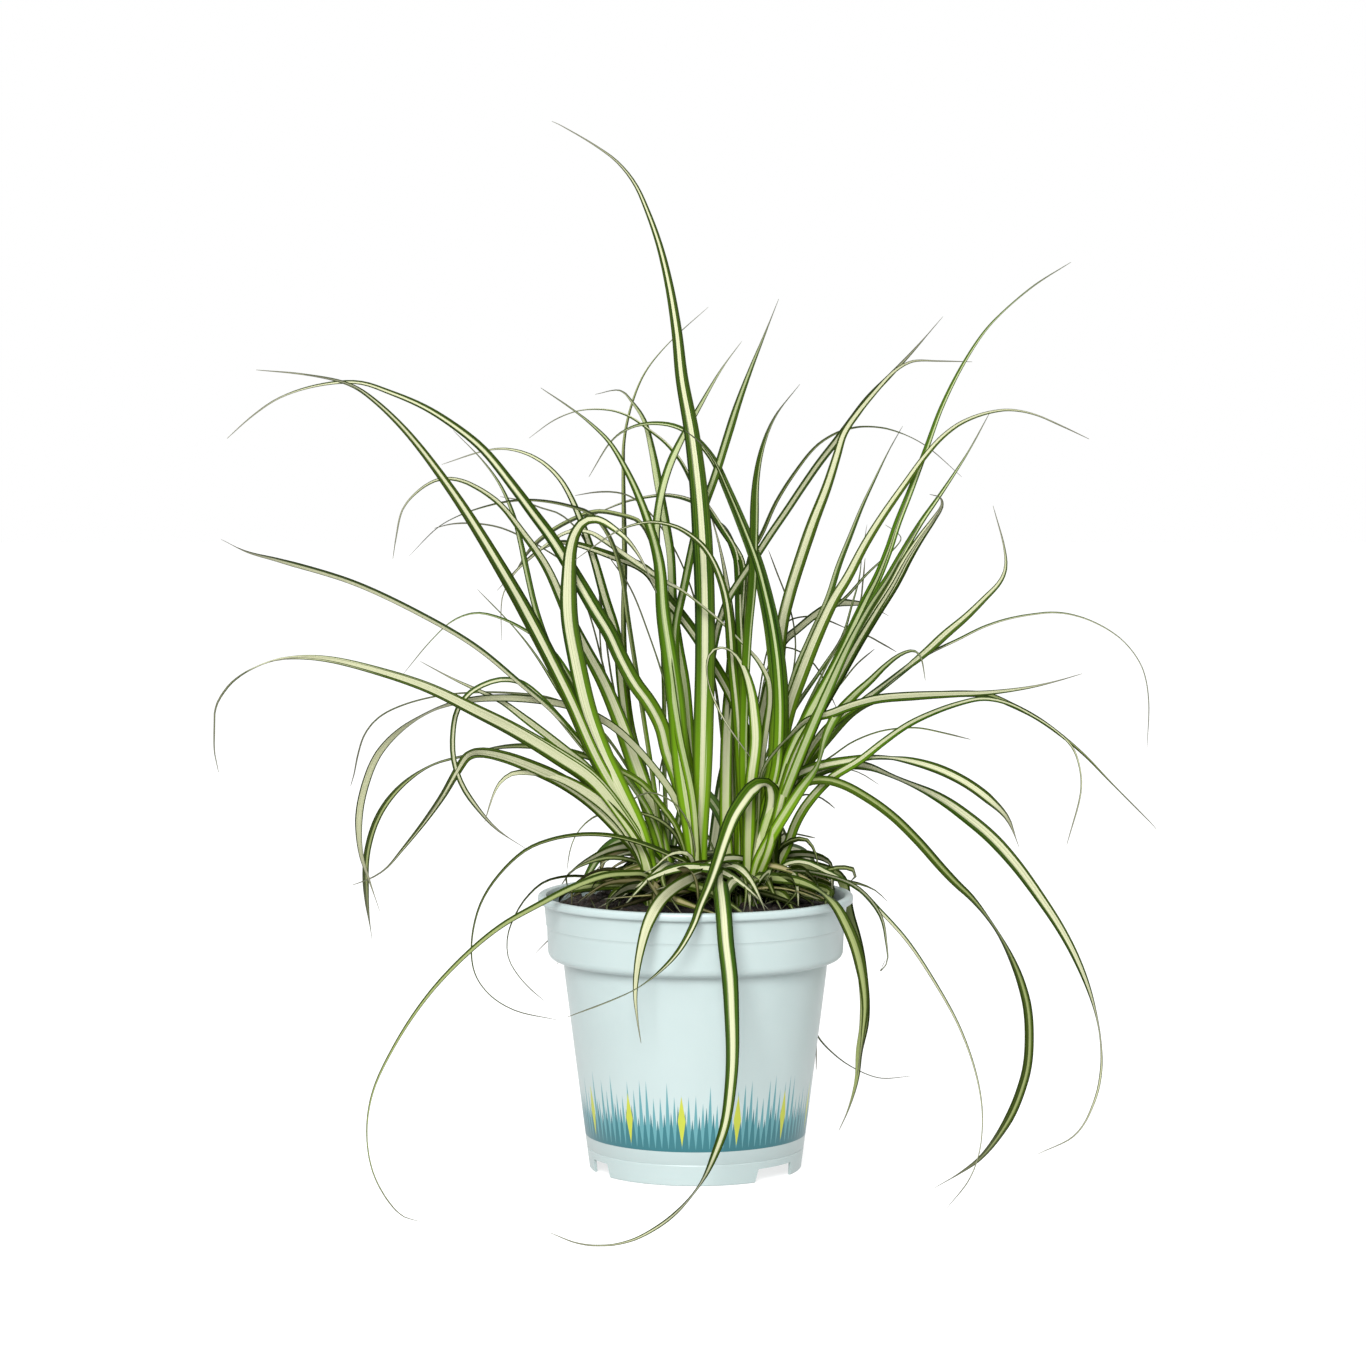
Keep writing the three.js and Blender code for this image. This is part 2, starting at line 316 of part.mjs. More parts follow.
      [5.3, 66, [[32, 143, 8], [34.5, 170, 9], [39.2, 191.1, 9], [43.8, 204.1, 8], [49.4, 218.4, 7],
        [57, 235, 6], [62.2, 243.5, 5], [69.3, 257.1, 4], [77, 269.6, 2], [85.9, 282.4, 0],
        [93.3, 292.8, -1], [100.7, 301.2, -2], [108.4, 307, -3], [118.1, 310.9, -4], [128, 312.4, -5],
        [138.1, 310.7, -6], [149.1, 306.1, -6], [161, 300.5, -6]], 0.35],
      [2.6, 86, [[31, 145, 12], [35, 175, 14], [40, 202, 15], [47, 219, 15], [54.2, 234.9, 14],
        [58.7, 248.9, 13], [63.2, 260.4, 12], [68, 272.5, 10], [72.9, 283.1, 8], [79.1, 295.9, 6],
        [84.7, 305.9, 4]], 0.6],
      [2.4, 60, [[32, 150, 16], [39, 185, 20], [46, 212, 20], [54, 228.5, 18], [62, 236, 15],
        [70, 245, 12], [77, 251.5, 9], [81.5, 255.7, 6], [84.2, 259.5, 4], [82.5, 262.3, 3],
        [77.6, 265.5, 2]]],
      [3.9, 46, [[34, 140, 4], [41, 158, 4], [47, 172, 3], [57, 184.3, 2], [68.5, 192.5, 1],
        [80.1, 201.4, 0], [94.2, 212.7, -1], [102.9, 220.7, -2], [111.2, 227.8, -3], [119.2, 235.8, -4],
        [124.6, 241.6, -5], [127.1, 247.6, -5], [126.6, 255.8, -5], [121.8, 273.3, -3]], 0.65, 0.53],
      [2.2, 72, [[34, 145, 9], [43, 165, 9], [56, 181, 9], [70.5, 194.4, 8], [82.4, 203.4, 7],
        [94.7, 212, 6], [107.8, 218.4, 5], [117.8, 223.4, 4], [127.9, 226.8, 3], [138, 228.7, 2],
        [148, 229.5, 1], [157.8, 227.7, 0], [167.5, 223.5, -1], [175.2, 218.1, -2], [181.3, 210.8, -3],
        [184.6, 203.5, -4], [186.3, 191.9, -5], [185.7, 173.6, -6]], 0.05],
      [3.4, 62, [[34, 142, 12], [43, 162, 12], [55, 178, 12], [65.3, 189, 11], [74.6, 193.9, 10],
        [85.2, 194.8, 9], [97, 195.4, 8], [109.9, 196, 7], [120.2, 195.4, 6], [129.9, 191.4, 5],
        [139.7, 186.4, 4], [149.7, 179.4, 3], [160.1, 170.6, 2], [170.2, 160.2, 1], [190.4, 139.9, -1]]],
      [4.9, -30, [[33.9, 123.9, 5], [38, 133.2, 4], [41.2, 142.2, 3], [45.8, 150.2, 2], [55.8, 161.1, 0],
        [67.3, 168.3, -2], [77.7, 176.5, -3], [87.6, 183.4, -4], [97.8, 188.3, -5], [107.9, 191.9, -6],
        [118, 194, -7], [128, 192.2, -8], [137.9, 187.4, -8], [147.9, 180.9, -8], [155, 174, -8],
        [158.1, 165.4, -8], [158.7, 156, -8], [153, 133.6, -7]], 0.05],
      [1.4, 30, [[35, 145, 14], [43, 160, 16], [49.9, 166.1, 17], [56.4, 170.5, 17], [64.1, 175.9, 17],
        [74.9, 180.3, 17], [84, 181.8, 17], [92, 181.9, 17], [102, 179.9, 17], [113.1, 177.2, 17]], 0.15],
      [4.2, 10, [[33, 148, 1], [38.6, 160.4, 0], [45.8, 164.6, -1], [53.8, 166.9, -2], [62, 168.3, -3],
        [72, 169.7, -4], [82, 169.3, -5], [92.1, 167.4, -6], [102.2, 164, -7], [112.2, 158.8, -8],
        [121.2, 152.1, -9], [128.4, 144.7, -10], [133.3, 132.7, -12]], 0.85, 0.58],
      [5.4, 10, [[34, 145, 7], [41, 157, 8], [50, 164, 8], [59, 166.8, 7], [66, 166.8, 6],
        [73.2, 165.3, 4], [80.4, 162.2, 2], [87.6, 159.2, 1], [95.8, 155.5, 0], [103.2, 151.3, -1],
        [111.4, 145.4, -3], [121.7, 136.8, -5], [131.7, 125.8, -8], [141.5, 112.6, -11], [151, 98.2, -14],
        [157.9, 85, -17], [163.6, 70.2, -19], [167.2, 54.8, -21], [167.9, 40.1, -22], [165.2, 26.8, -23],
        [157.6, 12.9, -24], [142.1, 4.8, -24]], 0.5, 0.33, 0.79],
      [3.6, 0, [[33, 140, -2], [39, 153, -3], [45, 159.2, -3.5], [52, 160.5, -4.5], [60, 158.8, -6],
        [70.6, 153.1, -8], [81.2, 145.4, -10], [91.7, 135.1, -13], [101.9, 123.5, -17],
        [107.8, 117.3, -19], [113.8, 111.6, -21], [122.1, 101, -26], [127.5, 92.3, -29],
        [132.5, 81.8, -32], [135.4, 73.4, -35], [137.3, 65, -37.5], [138, 53, -41], [137.2, 41.1, -45],
        [134.2, 30, -49], [130.1, 20.2, -52], [123.7, 9.8, -55], [117.5, 2.5, -57], [109.3, -3.5, -58.5],
        [99.1, -9.5, -61]], 0.85, 0.565],
      [2, 0, [[34, 150, 10], [41, 160.5, 11], [51.7, 165, 11], [61.3, 165.2, 11], [68, 163.2, 11],
        [75.5, 158.5, 11]]],
      [2.3, 0, [[34, 131, 4], [38, 134.5, 2], [42, 136, 1], [45.8, 135.6, 0], [48.9, 131.4, 0],
        [50.4, 125.5, 0], [50.1, 119, 0]], 0.55],
      [4, 0, [[33, 121, 8], [36.1, 126.4, 9], [40, 126.9, 10], [45.8, 125.7, 11], [53.6, 123.6, 13],
        [57.9, 121.8, 15], [60.9, 118.5, 17], [62.3, 112, 18], [63.9, 104, 17], [66.1, 96.5, 15],
        [68, 87.9, 9], [69.3, 77.9, 2], [70.1, 68, -4], [69.7, 58.1, -8], [67.8, 47.7, -11],
        [66.8, 35.9, -14], [63.3, 23.3, -17], [59.4, 14.5, -19]], 0.7],
      [2.2, 0, [[34, 123, -4], [39, 126.4, -7], [45.3, 126.5, -9], [54, 122.6, -10], [61.8, 118.5, -11],
        [68.1, 114.6, -13], [75.2, 107.3, -17], [86.9, 94.4, -24], [98.7, 76.8, -33], [108.9, 58.4, -42],
        [115.7, 39.9, -51], [118.6, 24.9, -58], [118.6, 12, -66], [116.8, 2.1, -74], [113.1, -6.7, -82],
        [104.1, -18.2, -96]], 0.1],
      [1.7, 0, [[36, 122, -8], [45, 122.5, -16], [56, 120.3, -18], [65.4, 116.6, -19], [72, 110.7, -20],
        [76.8, 103, -21], [78.7, 92.9, -22], [79.2, 84.8, -23], [76.2, 81, -24], [78.6, 86, -27]], 0.65],
      [1.8, 0, [[35, 117, 1], [43, 121, 2], [51.7, 122.2, 3], [57, 123.9, 4], [62, 124.1, 5],
        [65.6, 122.8, 6], [65.8, 120.2, 6], [63.4, 118, 6]], 0.9],
      [2, 0, [[40, 122, 20], [51.9, 120.6, 24], [61.8, 118.6, 26], [68.7, 117.1, 26], [74.6, 114.4, 26],
        [79.2, 110, 26]], 0.6],
      [5.2, 0, [[36, 130, 26], [42, 131, 50], [47, 126, 72], [50, 115, 90], [51, 98, 102], [50, 80, 108],
        [50, 40, 112]]],
    ],
  },
};

// Leaves behind and in front: each follows the route of a leaf of its tuft as seen from the station, cut
// short, and leans far away from it in depth, so that the plant is as full from its sides as from its front.
const FILL_SOURCES = {
  left: [1, 3, 4],
  left_rear: [0, 1, 2],
  middle: [0, 1, 9, 10],
  rear: [0, 1, 5, 3, 7],
  right: [0, 1, 2, 3],
  right_rear: [0, 1, 4, 9, 2],
};
const FILL_WIDTH = 4.4;
const FILL_SLIMMER = 0.8;
const FILL_CUT = [0.62, 0.9];
const FILL_BACK_LEAN = [55, 145];
const FILL_FRONT_LEAN = [50, 120];
const FILL_FRONT_TUFTS = ["left", "right"];
const FILL_START = 3;

// A leaf is measured out in samples this far apart. Its strap keeps only the samples that it needs: the
// middle line stays within the tolerance, no length is longer, and no twist in one length is more.
const SAMPLE_STEP = 3.5;
const STRAP_TOLERANCE = 2;
const STRAP_LONGEST = 90;
const STRAP_TURN = 1;

// A leaf that looks narrower than NARROW is that narrow, and others are broader than they look and turned
// aside. The blade narrows into its root and from its taper's start to its tip. A twist hides TWIST of its
// breadth over about TWIST_SPAN of its length. Its bend across its breadth stays under BEND_LIMIT of what
// would fold it.
const NARROW = 1.7;
const TURN_LEAST = 0.2;
const TAPER_START = 0.45;
const TAPER_POWER = 1.1;
const TWIST = 0.72;
const TWIST_SPAN = 0.06;
const ROOT_NECK = 0.7;
const ROOT_NECK_END = 0.2;
const BEND_LIMIT = 0.62;

// Clearing: a leaf is fixed up to ROOT_FIXED along it, and moves freely from ROOT_FREE.
const CONTACT_MARGIN = 2;
const ROOT_FIXED = 12;
const ROOT_FREE = 45;
const POT_CLEARANCE = 1.2;
const RIM_REACH = 7;
const GROUND_CLEARANCE = 0.3;

const repeatable = (key) => {
  const value = Math.sin(key * 12.9898) * 43758.5453;
  return value - Math.floor(value);
};

const mix = (from, to, share) => from + (to - from) * share;

// A closed geometry as a solid that can be joined and cut, and back.
function solidOf(geometry) {
  geometry.deleteAttribute("normal");
  geometry.deleteAttribute("uv");
  const merged = mergeVertices(geometry, 1e-4);
  const vertProperties = new Float32Array(merged.attributes.position.array);
  const triVerts = new Uint32Array(merged.index.array);
  return new wasm.Manifold(new wasm.Mesh({ numProp: 3, vertProperties, triVerts }));
}

function geometryOf(solid) {
  const mesh = solid.getMesh();
  const geometry = new THREE.BufferGeometry();
  geometry.setAttribute("position", new THREE.BufferAttribute(mesh.vertProperties, 3));
  geometry.setIndex(new THREE.BufferAttribute(mesh.triVerts, 1));
  geometry.computeVertexNormals();
  return geometry;
}

// The largest body of a joined solid: loose scraps go, and a hollow that the joining sealed is filled.
function largestBodyOf(solid) {
  return solid.decompose().reduce((best, body) => (body.volume() > best.volume() ? body : best));
}

function turned(profile, sides) {
  const geometry = new THREE.LatheGeometry(profile.map(([r, z]) => new THREE.Vector2(r, z)), sides);
  geometry.rotateX(Math.PI / 2);
  return geometry;
}

// ---- Pot ----

const bodyRadius = (z) => mix(FOOT_RADIUS, BODY_TOP_RADIUS, z / COLLAR_BOTTOM);

// A rounded corner of the collar, from its ledge up to its wall.
function collarCorner(radius) {
  const points = [];
  for (let step = 0; step <= COLLAR_CORNER_STEPS; step += 1) {
    const angle = (Math.PI / 2) * (step / COLLAR_CORNER_STEPS);
    points.push([
      COLLAR_LOW_RADIUS - COLLAR_CORNER + radius * Math.sin(angle),
      COLLAR_BOTTOM + COLLAR_CORNER - radius * Math.cos(angle),
    ]);
  }
  return points;
}

function potProfile() {
  const floorTop = FLOOR_RAISE + WALL;
  const lineHeight = RIM_TOP - COLLAR_LINE_DROP;
  const beadBottom = RIM_TOP - BEAD_HEIGHT;
  const lineRadius = COLLAR_LOW_RADIUS + (COLLAR_TOP_RADIUS - COLLAR_LOW_RADIUS) * 0.5;
  const outside = [
    [0, FLOOR_RAISE],
    [bodyRadius(FLOOR_RAISE) - WALL, FLOOR_RAISE],
    [FOOT_RADIUS - WALL, 0],
    [FOOT_RADIUS, 0],
    [BODY_TOP_RADIUS, COLLAR_BOTTOM],
    ...collarCorner(COLLAR_CORNER),
    [lineRadius - COLLAR_LINE_STEP, lineHeight],
    [lineRadius, lineHeight + COLLAR_LINE_STEP],
    [COLLAR_TOP_RADIUS, beadBottom],
  ];
  const bead = [
    [RIM_RADIUS - BEAD_ROUND, beadBottom],
    [RIM_RADIUS, beadBottom + BEAD_ROUND],
    [RIM_RADIUS, RIM_TOP - BEAD_ROUND],
    [RIM_RADIUS - BEAD_ROUND, RIM_TOP],
    [COLLAR_TOP_RADIUS, RIM_TOP],
  ];
  const inside = [
    [COLLAR_TOP_RADIUS - WALL, RIM_TOP - WALL],
    ...collarCorner(COLLAR_CORNER - WALL).reverse(),
    [BODY_TOP_RADIUS - WALL, COLLAR_BOTTOM + WALL],
    [bodyRadius(floorTop) - WALL, floorTop],
    [0, floorTop],
  ];
  return [...outside, ...bead, ...inside];
}

// A notch in the foot: a trapezium, wider at the ground, pushed out through the skirt at its angle.
function notch({ angle, width }) {
  const half = width / 2;
  const outline = new THREE.Shape([
    new THREE.Vector2(-half - NOTCH_SPLAY, -1),
    new THREE.Vector2(half + NOTCH_SPLAY, -1),
    new THREE.Vector2(half, NOTCH_HEIGHT),
    new THREE.Vector2(-half, NOTCH_HEIGHT),
  ]);
  const geometry = new THREE.ExtrudeGeometry(outline, { depth: NOTCH_DEPTH, bevelEnabled: false });
  geometry.rotateX(Math.PI / 2);
  geometry.translate(0, -FOOT_RADIUS + NOTCH_DEPTH * 0.7, 0);
  geometry.rotateZ(THREE.MathUtils.degToRad(angle));
  return solidOf(geometry);
}

function drain(index) {
  const angle = (index / DRAINS) * Math.PI * 2;
  const geometry = new THREE.CylinderGeometry(DRAIN_RADIUS, DRAIN_RADIUS, WALL * 4, DRAIN_SIDES);
  geometry.rotateX(Math.PI / 2);
  geometry.translate(DRAIN_RING * Math.cos(angle), DRAIN_RING * Math.sin(angle), FLOOR_RAISE + WALL / 2);
  return solidOf(geometry);
}

function potSolid() {
  let pot = solidOf(turned(potProfile(), POT_SIDES));
  for (const place of NOTCHES) pot = pot.subtract(notch(place));
  for (let index = 0; index < DRAINS; index += 1) pot = pot.subtract(drain(index));
  return pot;
}

// ---- Soil ----

// Lumps of the compost's surface.
const lump = (x, y) => SOIL_LUMP * (Math.sin(x * 0.43 + y * 0.17) + Math.cos(y * 0.51 - x * 0.23)) * 0.5;

function soilSolid() {
  const floorTop = FLOOR_RAISE + WALL;
  const edgeHeight = RIM_TOP - SOIL_UNDER_RIM;
  const edgeRadius = mix(COLLAR_LOW_RADIUS, COLLAR_TOP_RADIUS, 0.7) - WALL - GAP;
  const side = [
    [0, floorTop + GAP],
    [bodyRadius(floorTop) - WALL - GAP, floorTop + GAP],
    [BODY_TOP_RADIUS - WALL - GAP, COLLAR_BOTTOM + WALL + GAP],
    ...collarCorner(COLLAR_CORNER - WALL - GAP),
  ];
  const top = [];
  for (let ring = 0; ring <= SOIL_RINGS; ring += 1) {
    const share = 1 - ring / SOIL_RINGS;
    top.push([edgeRadius * share, edgeHeight + SOIL_MOUND * (1 - share * share)]);
  }
  const geometry = turned([...side, ...top], SOIL_SIDES);
  const place = geometry.attributes.position;
  for (let index = 0; index < place.count; index += 1) {
    const height = place.getZ(index);
    if (height >= edgeHeight - 0.01) place.setZ(index, height + lump(place.getX(index), place.getY(index)));
  }
  let soil = solidOf(geometry);
  for (const { crown } of Object.values(TUFTS)) soil = soil.subtract(crownHole(crown));
  return soil;
}

function crownHole([x, y]) {
  const radius = (CROWN_RADIUS + GAP) / Math.cos(Math.PI / CROWN_HOLE_SIDES);
  const geometry = new THREE.CylinderGeometry(radius, radius, CROWN_HOLE_DEPTH, CROWN_HOLE_SIDES);
  geometry.rotateX(Math.PI / 2);
  geometry.translate(x, y, CROWN_BOTTOM - GAP + CROWN_HOLE_DEPTH / 2);
  return solidOf(geometry);
}

// ---- Leaves ----

function crownSolid([x, y]) {
  const geometry = turned(
    [
      [0, CROWN_BOTTOM],
      [CROWN_RADIUS * 0.7, CROWN_BOTTOM],
      [CROWN_RADIUS, CROWN_BOTTOM + 4],
      [CROWN_RADIUS, CROWN_TOP - 18],
      [CROWN_RADIUS * 0.84, CROWN_TOP - 9],
      [CROWN_RADIUS * 0.5, CROWN_TOP - 1.5],
      [0, CROWN_TOP],
    ],
    CROWN_SIDES,
  );
  geometry.translate(x, y, 0);
  return solidOf(geometry);
}

// A route point's place on the part, and back: across and up on the plane at y = 0, then depth.
function onPart(across, up, depth) {
  const reach = (depth - STATION.y) / -STATION.y;
  return new THREE.Vector3(mix(STATION.x, across, reach), depth, mix(STATION.z, up, reach));
}

function seenFrom(point) {
  const reach = (point.y - STATION.y) / -STATION.y;
  return [STATION.x + (point.x - STATION.x) / reach, STATION.z + (point.z - STATION.z) / reach, point.y];
}

// The leaves of a tuft with their fillers, each as { width, route }: the route's points hold their own lean.
function leavesOf(name) {
  const { leaves } = TUFTS[name];
  const own = leaves.map(([width, lean, route, taperStart = TAPER_START, ...twists]) => {
    return { width, taperStart, twists, route: leant(route, lean, 0) };
  });
  const fill = FILL_SOURCES[name].map((source, index) => {
    const key = name.length * 31 + source * 7 + index;
    const [side, lean] = FILL_FRONT_TUFTS.includes(name)
      ? [-1, -mix(...FILL_FRONT_LEAN, repeatable(key))]
      : [1, mix(...FILL_BACK_LEAN, repeatable(key))];
    const [width, , route] = leaves[source];
    const count = Math.round(route.length * mix(...FILL_CUT, repeatable(key + 0.5)));
    const slimmer = Math.min(width * FILL_SLIMMER, FILL_WIDTH);
    const fillRoute = leant(route.slice(0, count), lean, side * FILL_START);
    return { width: slimmer, taperStart: TAPER_START, twists: [], route: fillRoute };
  });
  return [...own, ...fill];
}

// A route whose points move back in depth: by start at its foot, and by lean more at its tip.
function leant(route, lean, start) {
  const last = route.length - 1;
  return route.map(([across, up, depth], index) => {
    const share = index / last;
    return [across, up, depth + start + lean * share * share];
  });
}

// Evenly spaced samples along a leaf, from inside its crown to its tip.
function sampled({ route, ...shape }, [crownX, crownY], key) {
  const first = onPart(...route[0]);
  const heading = new THREE.Vector2(first.x - crownX, first.y - crownY);
  const spread = Math.min(heading.length(), mix(2, CROWN_RADIUS - 2.5, repeatable(key)));
  heading.setLength(spread);
  const root = new THREE.Vector3(crownX + heading.x, crownY + heading.y, LEAF_ROOT_HEIGHT);
  const lift = root.clone().setZ(LEAF_LIFT_HEIGHT);
  const points = [root, lift, ...route.map((point) => onPart(...point))];
  const curve = new THREE.CatmullRomCurve3(points, false, "centripetal");
  curve.arcLengthDivisions = points.length * 12;
  const length = curve.getLength();
  const steps = Math.round(length / SAMPLE_STEP);
  const path = curve.getSpacedPoints(steps).map((point) => {
    const [across, up, depth] = seenFrom(point);
    return { across, up, depth };
  });
  return { ...shape, length, path, key };
}

// The blade's breadth and its turn about its own length at each sample. A narrow-looking leaf is a broader
// one turned aside, and where a route bends tightly the blade turns edge-on, as a folding leaf does.
function shaped(leaf) {
  const { width, path, key, taperStart, twists } = leaf;
  const last = path.length - 1;
  const breadth = width < NARROW ? width : Math.max(width, 0.55 * width + 2.6);
  const turnBase = Math.max(TURN_LEAST, Math.acos(width / breadth));
  const hand = repeatable(key + 0.25) < 0.5 ? -1 : 1;
  const turns = path.map((here, index) => {
    const before = path[Math.max(0, index - 2)];
    const after = path[Math.min(last, index + 2)];
    const bend = bendAt(before, here, after);
    const share = index / last;
    const neck = mix(ROOT_NECK, 1, Math.min(1, share / ROOT_NECK_END));
    const taper = Math.min(1, ((1 - share) / (1 - taperStart)) ** TAPER_POWER);
    here.breadth = Math.max(LEAF_TIP_WIDTH, breadth * neck * taper);
    const twist = Math.max(0, ...twists.map((at) => TWIST * Math.exp(-(((share - at) / TWIST_SPAN) ** 2))));
    const seenMost = (2 * BEND_LIMIT) / Math.max(bend * here.breadth, 1e-6);
    return Math.acos(Math.min(Math.cos(turnBase) * (1 - twist), seenMost));
  });
  path.forEach((here, index) => {
    const near = turns.slice(Math.max(0, index - 3), index + 4);
    const turn = near.reduce((sum, value) => sum + value, 0) / near.length;
    here.turn = hand * Math.max(turn, turns[index]);
    here.halfSeen = (here.breadth / 2) * Math.cos(here.turn) + LEAF_THICKNESS / 2;
    here.halfDepth = (here.breadth / 2) * Math.abs(Math.sin(here.turn)) + LEAF_THICKNESS / 2;
    here.freedom = THREE.MathUtils.smoothstep((index / last) * leaf.length, ROOT_FIXED, ROOT_FREE);
  });
  return leaf;
}

// How sharply the route bends, as seen, in turns of a radian per millimetre.
function bendAt(before, here, after) {
  const one = Math.atan2(here.up - before.up, here.across - before.across);
  const two = Math.atan2(after.up - here.up, after.across - here.across);
  const turn = Math.abs(Math.atan2(Math.sin(two - one), Math.cos(two - one)));
  const length = Math.hypot(after.across - before.across, after.up - before.up);
  return length < 1e-6 ? 0 : turn / (length / 2);
}

// Pairs of samples of two leaves that lie over each other as seen. Each run of them has one side: which leaf
// passes in front.
function contactsBetween(one, other) {
  const runs = [];
  let run = null;
  one.path.forEach((here, index) => {
    other.path.forEach((there) => {
      const reach = here.halfSeen + there.halfSeen + CONTACT_MARGIN;
      const across = Math.abs(here.across - there.across);
      if (across > reach) return;
      const distance = Math.hypot(across, here.up - there.up);
      if (distance > reach) return;
      if (run === null || index - run.last > 3) {
        run = { lean: 0, contacts: [], last: index };
        runs.push(run);
      }
      run.last = index;
      run.lean += (there.depth - here.depth) * (reach - distance);
      run.contacts.push({ here, there, side: 1 });
    });
  });
  return runs.flatMap(({ lean, contacts }) => {
    const side = lean < 0 ? -1 : 1;
    return contacts.map((contact) => ({ ...contact, side }));
  });
}

// Leaves are bent along their sight lines, so that they look the same from the station, until they pass clear
// of the leaves of other tufts, of the pot's rim and wall, and of the ground.
function bendClear(tufts) {
  const leaves = tufts.flat();
  const contacts = tufts.flatMap((one, index) => {
    const others = tufts.slice(index + 1).flat();
    return one.flatMap((leaf) => others.flatMap((other) => contactsBetween(leaf, other)));
  });
  for (let pass = 0; pass < CLEARING_PASSES; pass += 1) {
    const settling = pass >= CLEARING_PASSES - SETTLING_PASSES;
    const clearance = LEAF_CLEARANCE * (settling ? 1 : 1.6);
    for (const contact of contacts) partContact(contact, clearance);
    for (const leaf of leaves) {
      if (!settling) smoothDepth(leaf.path);
      leaf.path.forEach(keepOffPot);
      leaf.path.forEach(keepOffGround);
    }
  }
}

function partContact({ here, there, side }, clearance) {
  const need = here.halfDepth + there.halfDepth + here.slack + there.slack + clearance;
  const lack = need - side * (there.depth - here.depth);
  const freedom = here.freedom + there.freedom;
  if (lack <= 0 || freedom < 1e-3) return;
  here.depth -= (side * lack * here.freedom) / freedom;
  there.depth += (side * lack * there.freedom) / freedom;
}

function smoothDepth(path) {
  const bends = path.map((here) => here.depth - here.ownDepth);
  path.forEach((here, index) => {
    const before = bends[Math.max(0, index - 1)];
    const after = bends[Math.min(path.length - 1, index + 1)];
    here.depth = here.ownDepth + mix(bends[index], (before + after) / 2, 0.5 * here.freedom);
  });
}

// Outside the pot, a leaf hangs clear of its wall; it comes forward, or goes back if it hangs behind.
function keepOffPot(here) {
  const place = onPart(here.across, here.up, here.depth);
  const away = Math.hypot(place.x, place.y);
  if (place.z - here.halfRise > RIM_TOP + POT_CLEARANCE || away < RIM_RADIUS - RIM_REACH) return;
  const wall = place.z > COLLAR_BOTTOM ? RIM_RADIUS : bodyRadius(place.z);
  const clear = wall + POT_CLEARANCE + here.halfDepth;
  if (away >= clear || Math.abs(place.x) >= clear) return;
  here.depth = (place.y < 0 ? -1 : 1) * Math.sqrt(clear * clear - place.x * place.x);
}

function keepOffGround(here) {
  const place = onPart(here.across, here.up, here.depth);
  const lack = here.halfRise + GROUND_CLEARANCE - place.z;
  if (lack > 0) here.depth -= (lack * (here.depth - STATION.y)) / (STATION.z - place.z);
}

// The frame of a leaf at each sample: its middle, the way its breadth lies, and the way it faces.
function framed(path) {
  const middles = path.map((here) => onPart(here.across, here.up, here.depth));
  return middles.map((middle, index) => {
    const before = middles[Math.max(0, index - 1)];
    const after = middles[Math.min(middles.length - 1, index + 1)];
    const along = after.clone().sub(before).normalize();
    const sight = middle.clone().sub(STATION).normalize();
    const seen = along.clone().cross(sight).normalize();
    const deep = along.clone().cross(seen);
    const { turn, breadth } = path[index];
    const broad = seen.multiplyScalar(Math.cos(turn)).addScaledVector(deep, Math.sin(turn));
    const facing = along.clone().cross(broad);
    return { middle, broad, facing, breadth };
  });
}

// The samples that a faceted strap needs: where its middle line or its breadth would leave the tolerance.
function stationsBetween(frames, first, last) {
  if (last - first < 2) return [];
  const chord = new THREE.Line3(frames[first].middle, frames[last].middle);
  const foot = new THREE.Vector3();
  let worst = 0;
  let split = Math.round((first + last) / 2);
  for (let index = first + 1; index < last; index += 1) {
    chord.closestPointToPoint(frames[index].middle, true, foot);
    const away = foot.distanceTo(frames[index].middle);
    if (away > worst) {
      worst = away;
      split = index;
    }
  }
  const twist = frames[first].broad.angleTo(frames[last].broad);
  if (worst < STRAP_TOLERANCE) {
    if (twist < STRAP_TURN && chord.distance() < STRAP_LONGEST) return [];
    split = Math.round((first + last) / 2);
  }
  return [...stationsBetween(frames, first, split), split, ...stationsBetween(frames, split, last)];
}

// A strap of rectangular section. Each of its four faces is split along diagonals that match across it.
function strapSolid(path) {
  const frames = framed(path);
  const stations = [0, ...stationsBetween(frames, 0, frames.length - 1), frames.length - 1];
  const corners = [[-1, 1], [1, 1], [1, -1], [-1, -1]];
  const places = stations.flatMap((station) => {
    const { middle, broad, facing, breadth } = frames[station];
    return corners.flatMap(([side, face]) => {
      const corner = middle.clone().addScaledVector(broad, (side * breadth) / 2);
      return corner.addScaledVector(facing, (face * LEAF_THICKNESS) / 2).toArray();
    });
  });
  const faces = [0, 1, 2, 0, 2, 3];
  const end = (stations.length - 1) * 4;
  faces.push(end, end + 2, end + 1, end, end + 3, end + 2);
  for (let ring = 0; ring < end; ring += 4) {
    corners.forEach((_, side) => {
      const here = ring + side;
      const next = ring + ((side + 1) % 4);
      if (side < 2) faces.push(here, here + 4, next + 4, here, next + 4, next);
      else faces.push(here, here + 4, next, here + 4, next + 4, next);
    });
  }
  const mesh = { numProp: 3, vertProperties: new Float32Array(places), triVerts: new Uint32Array(faces) };
  return new wasm.Manifold(new wasm.Mesh(mesh));
}

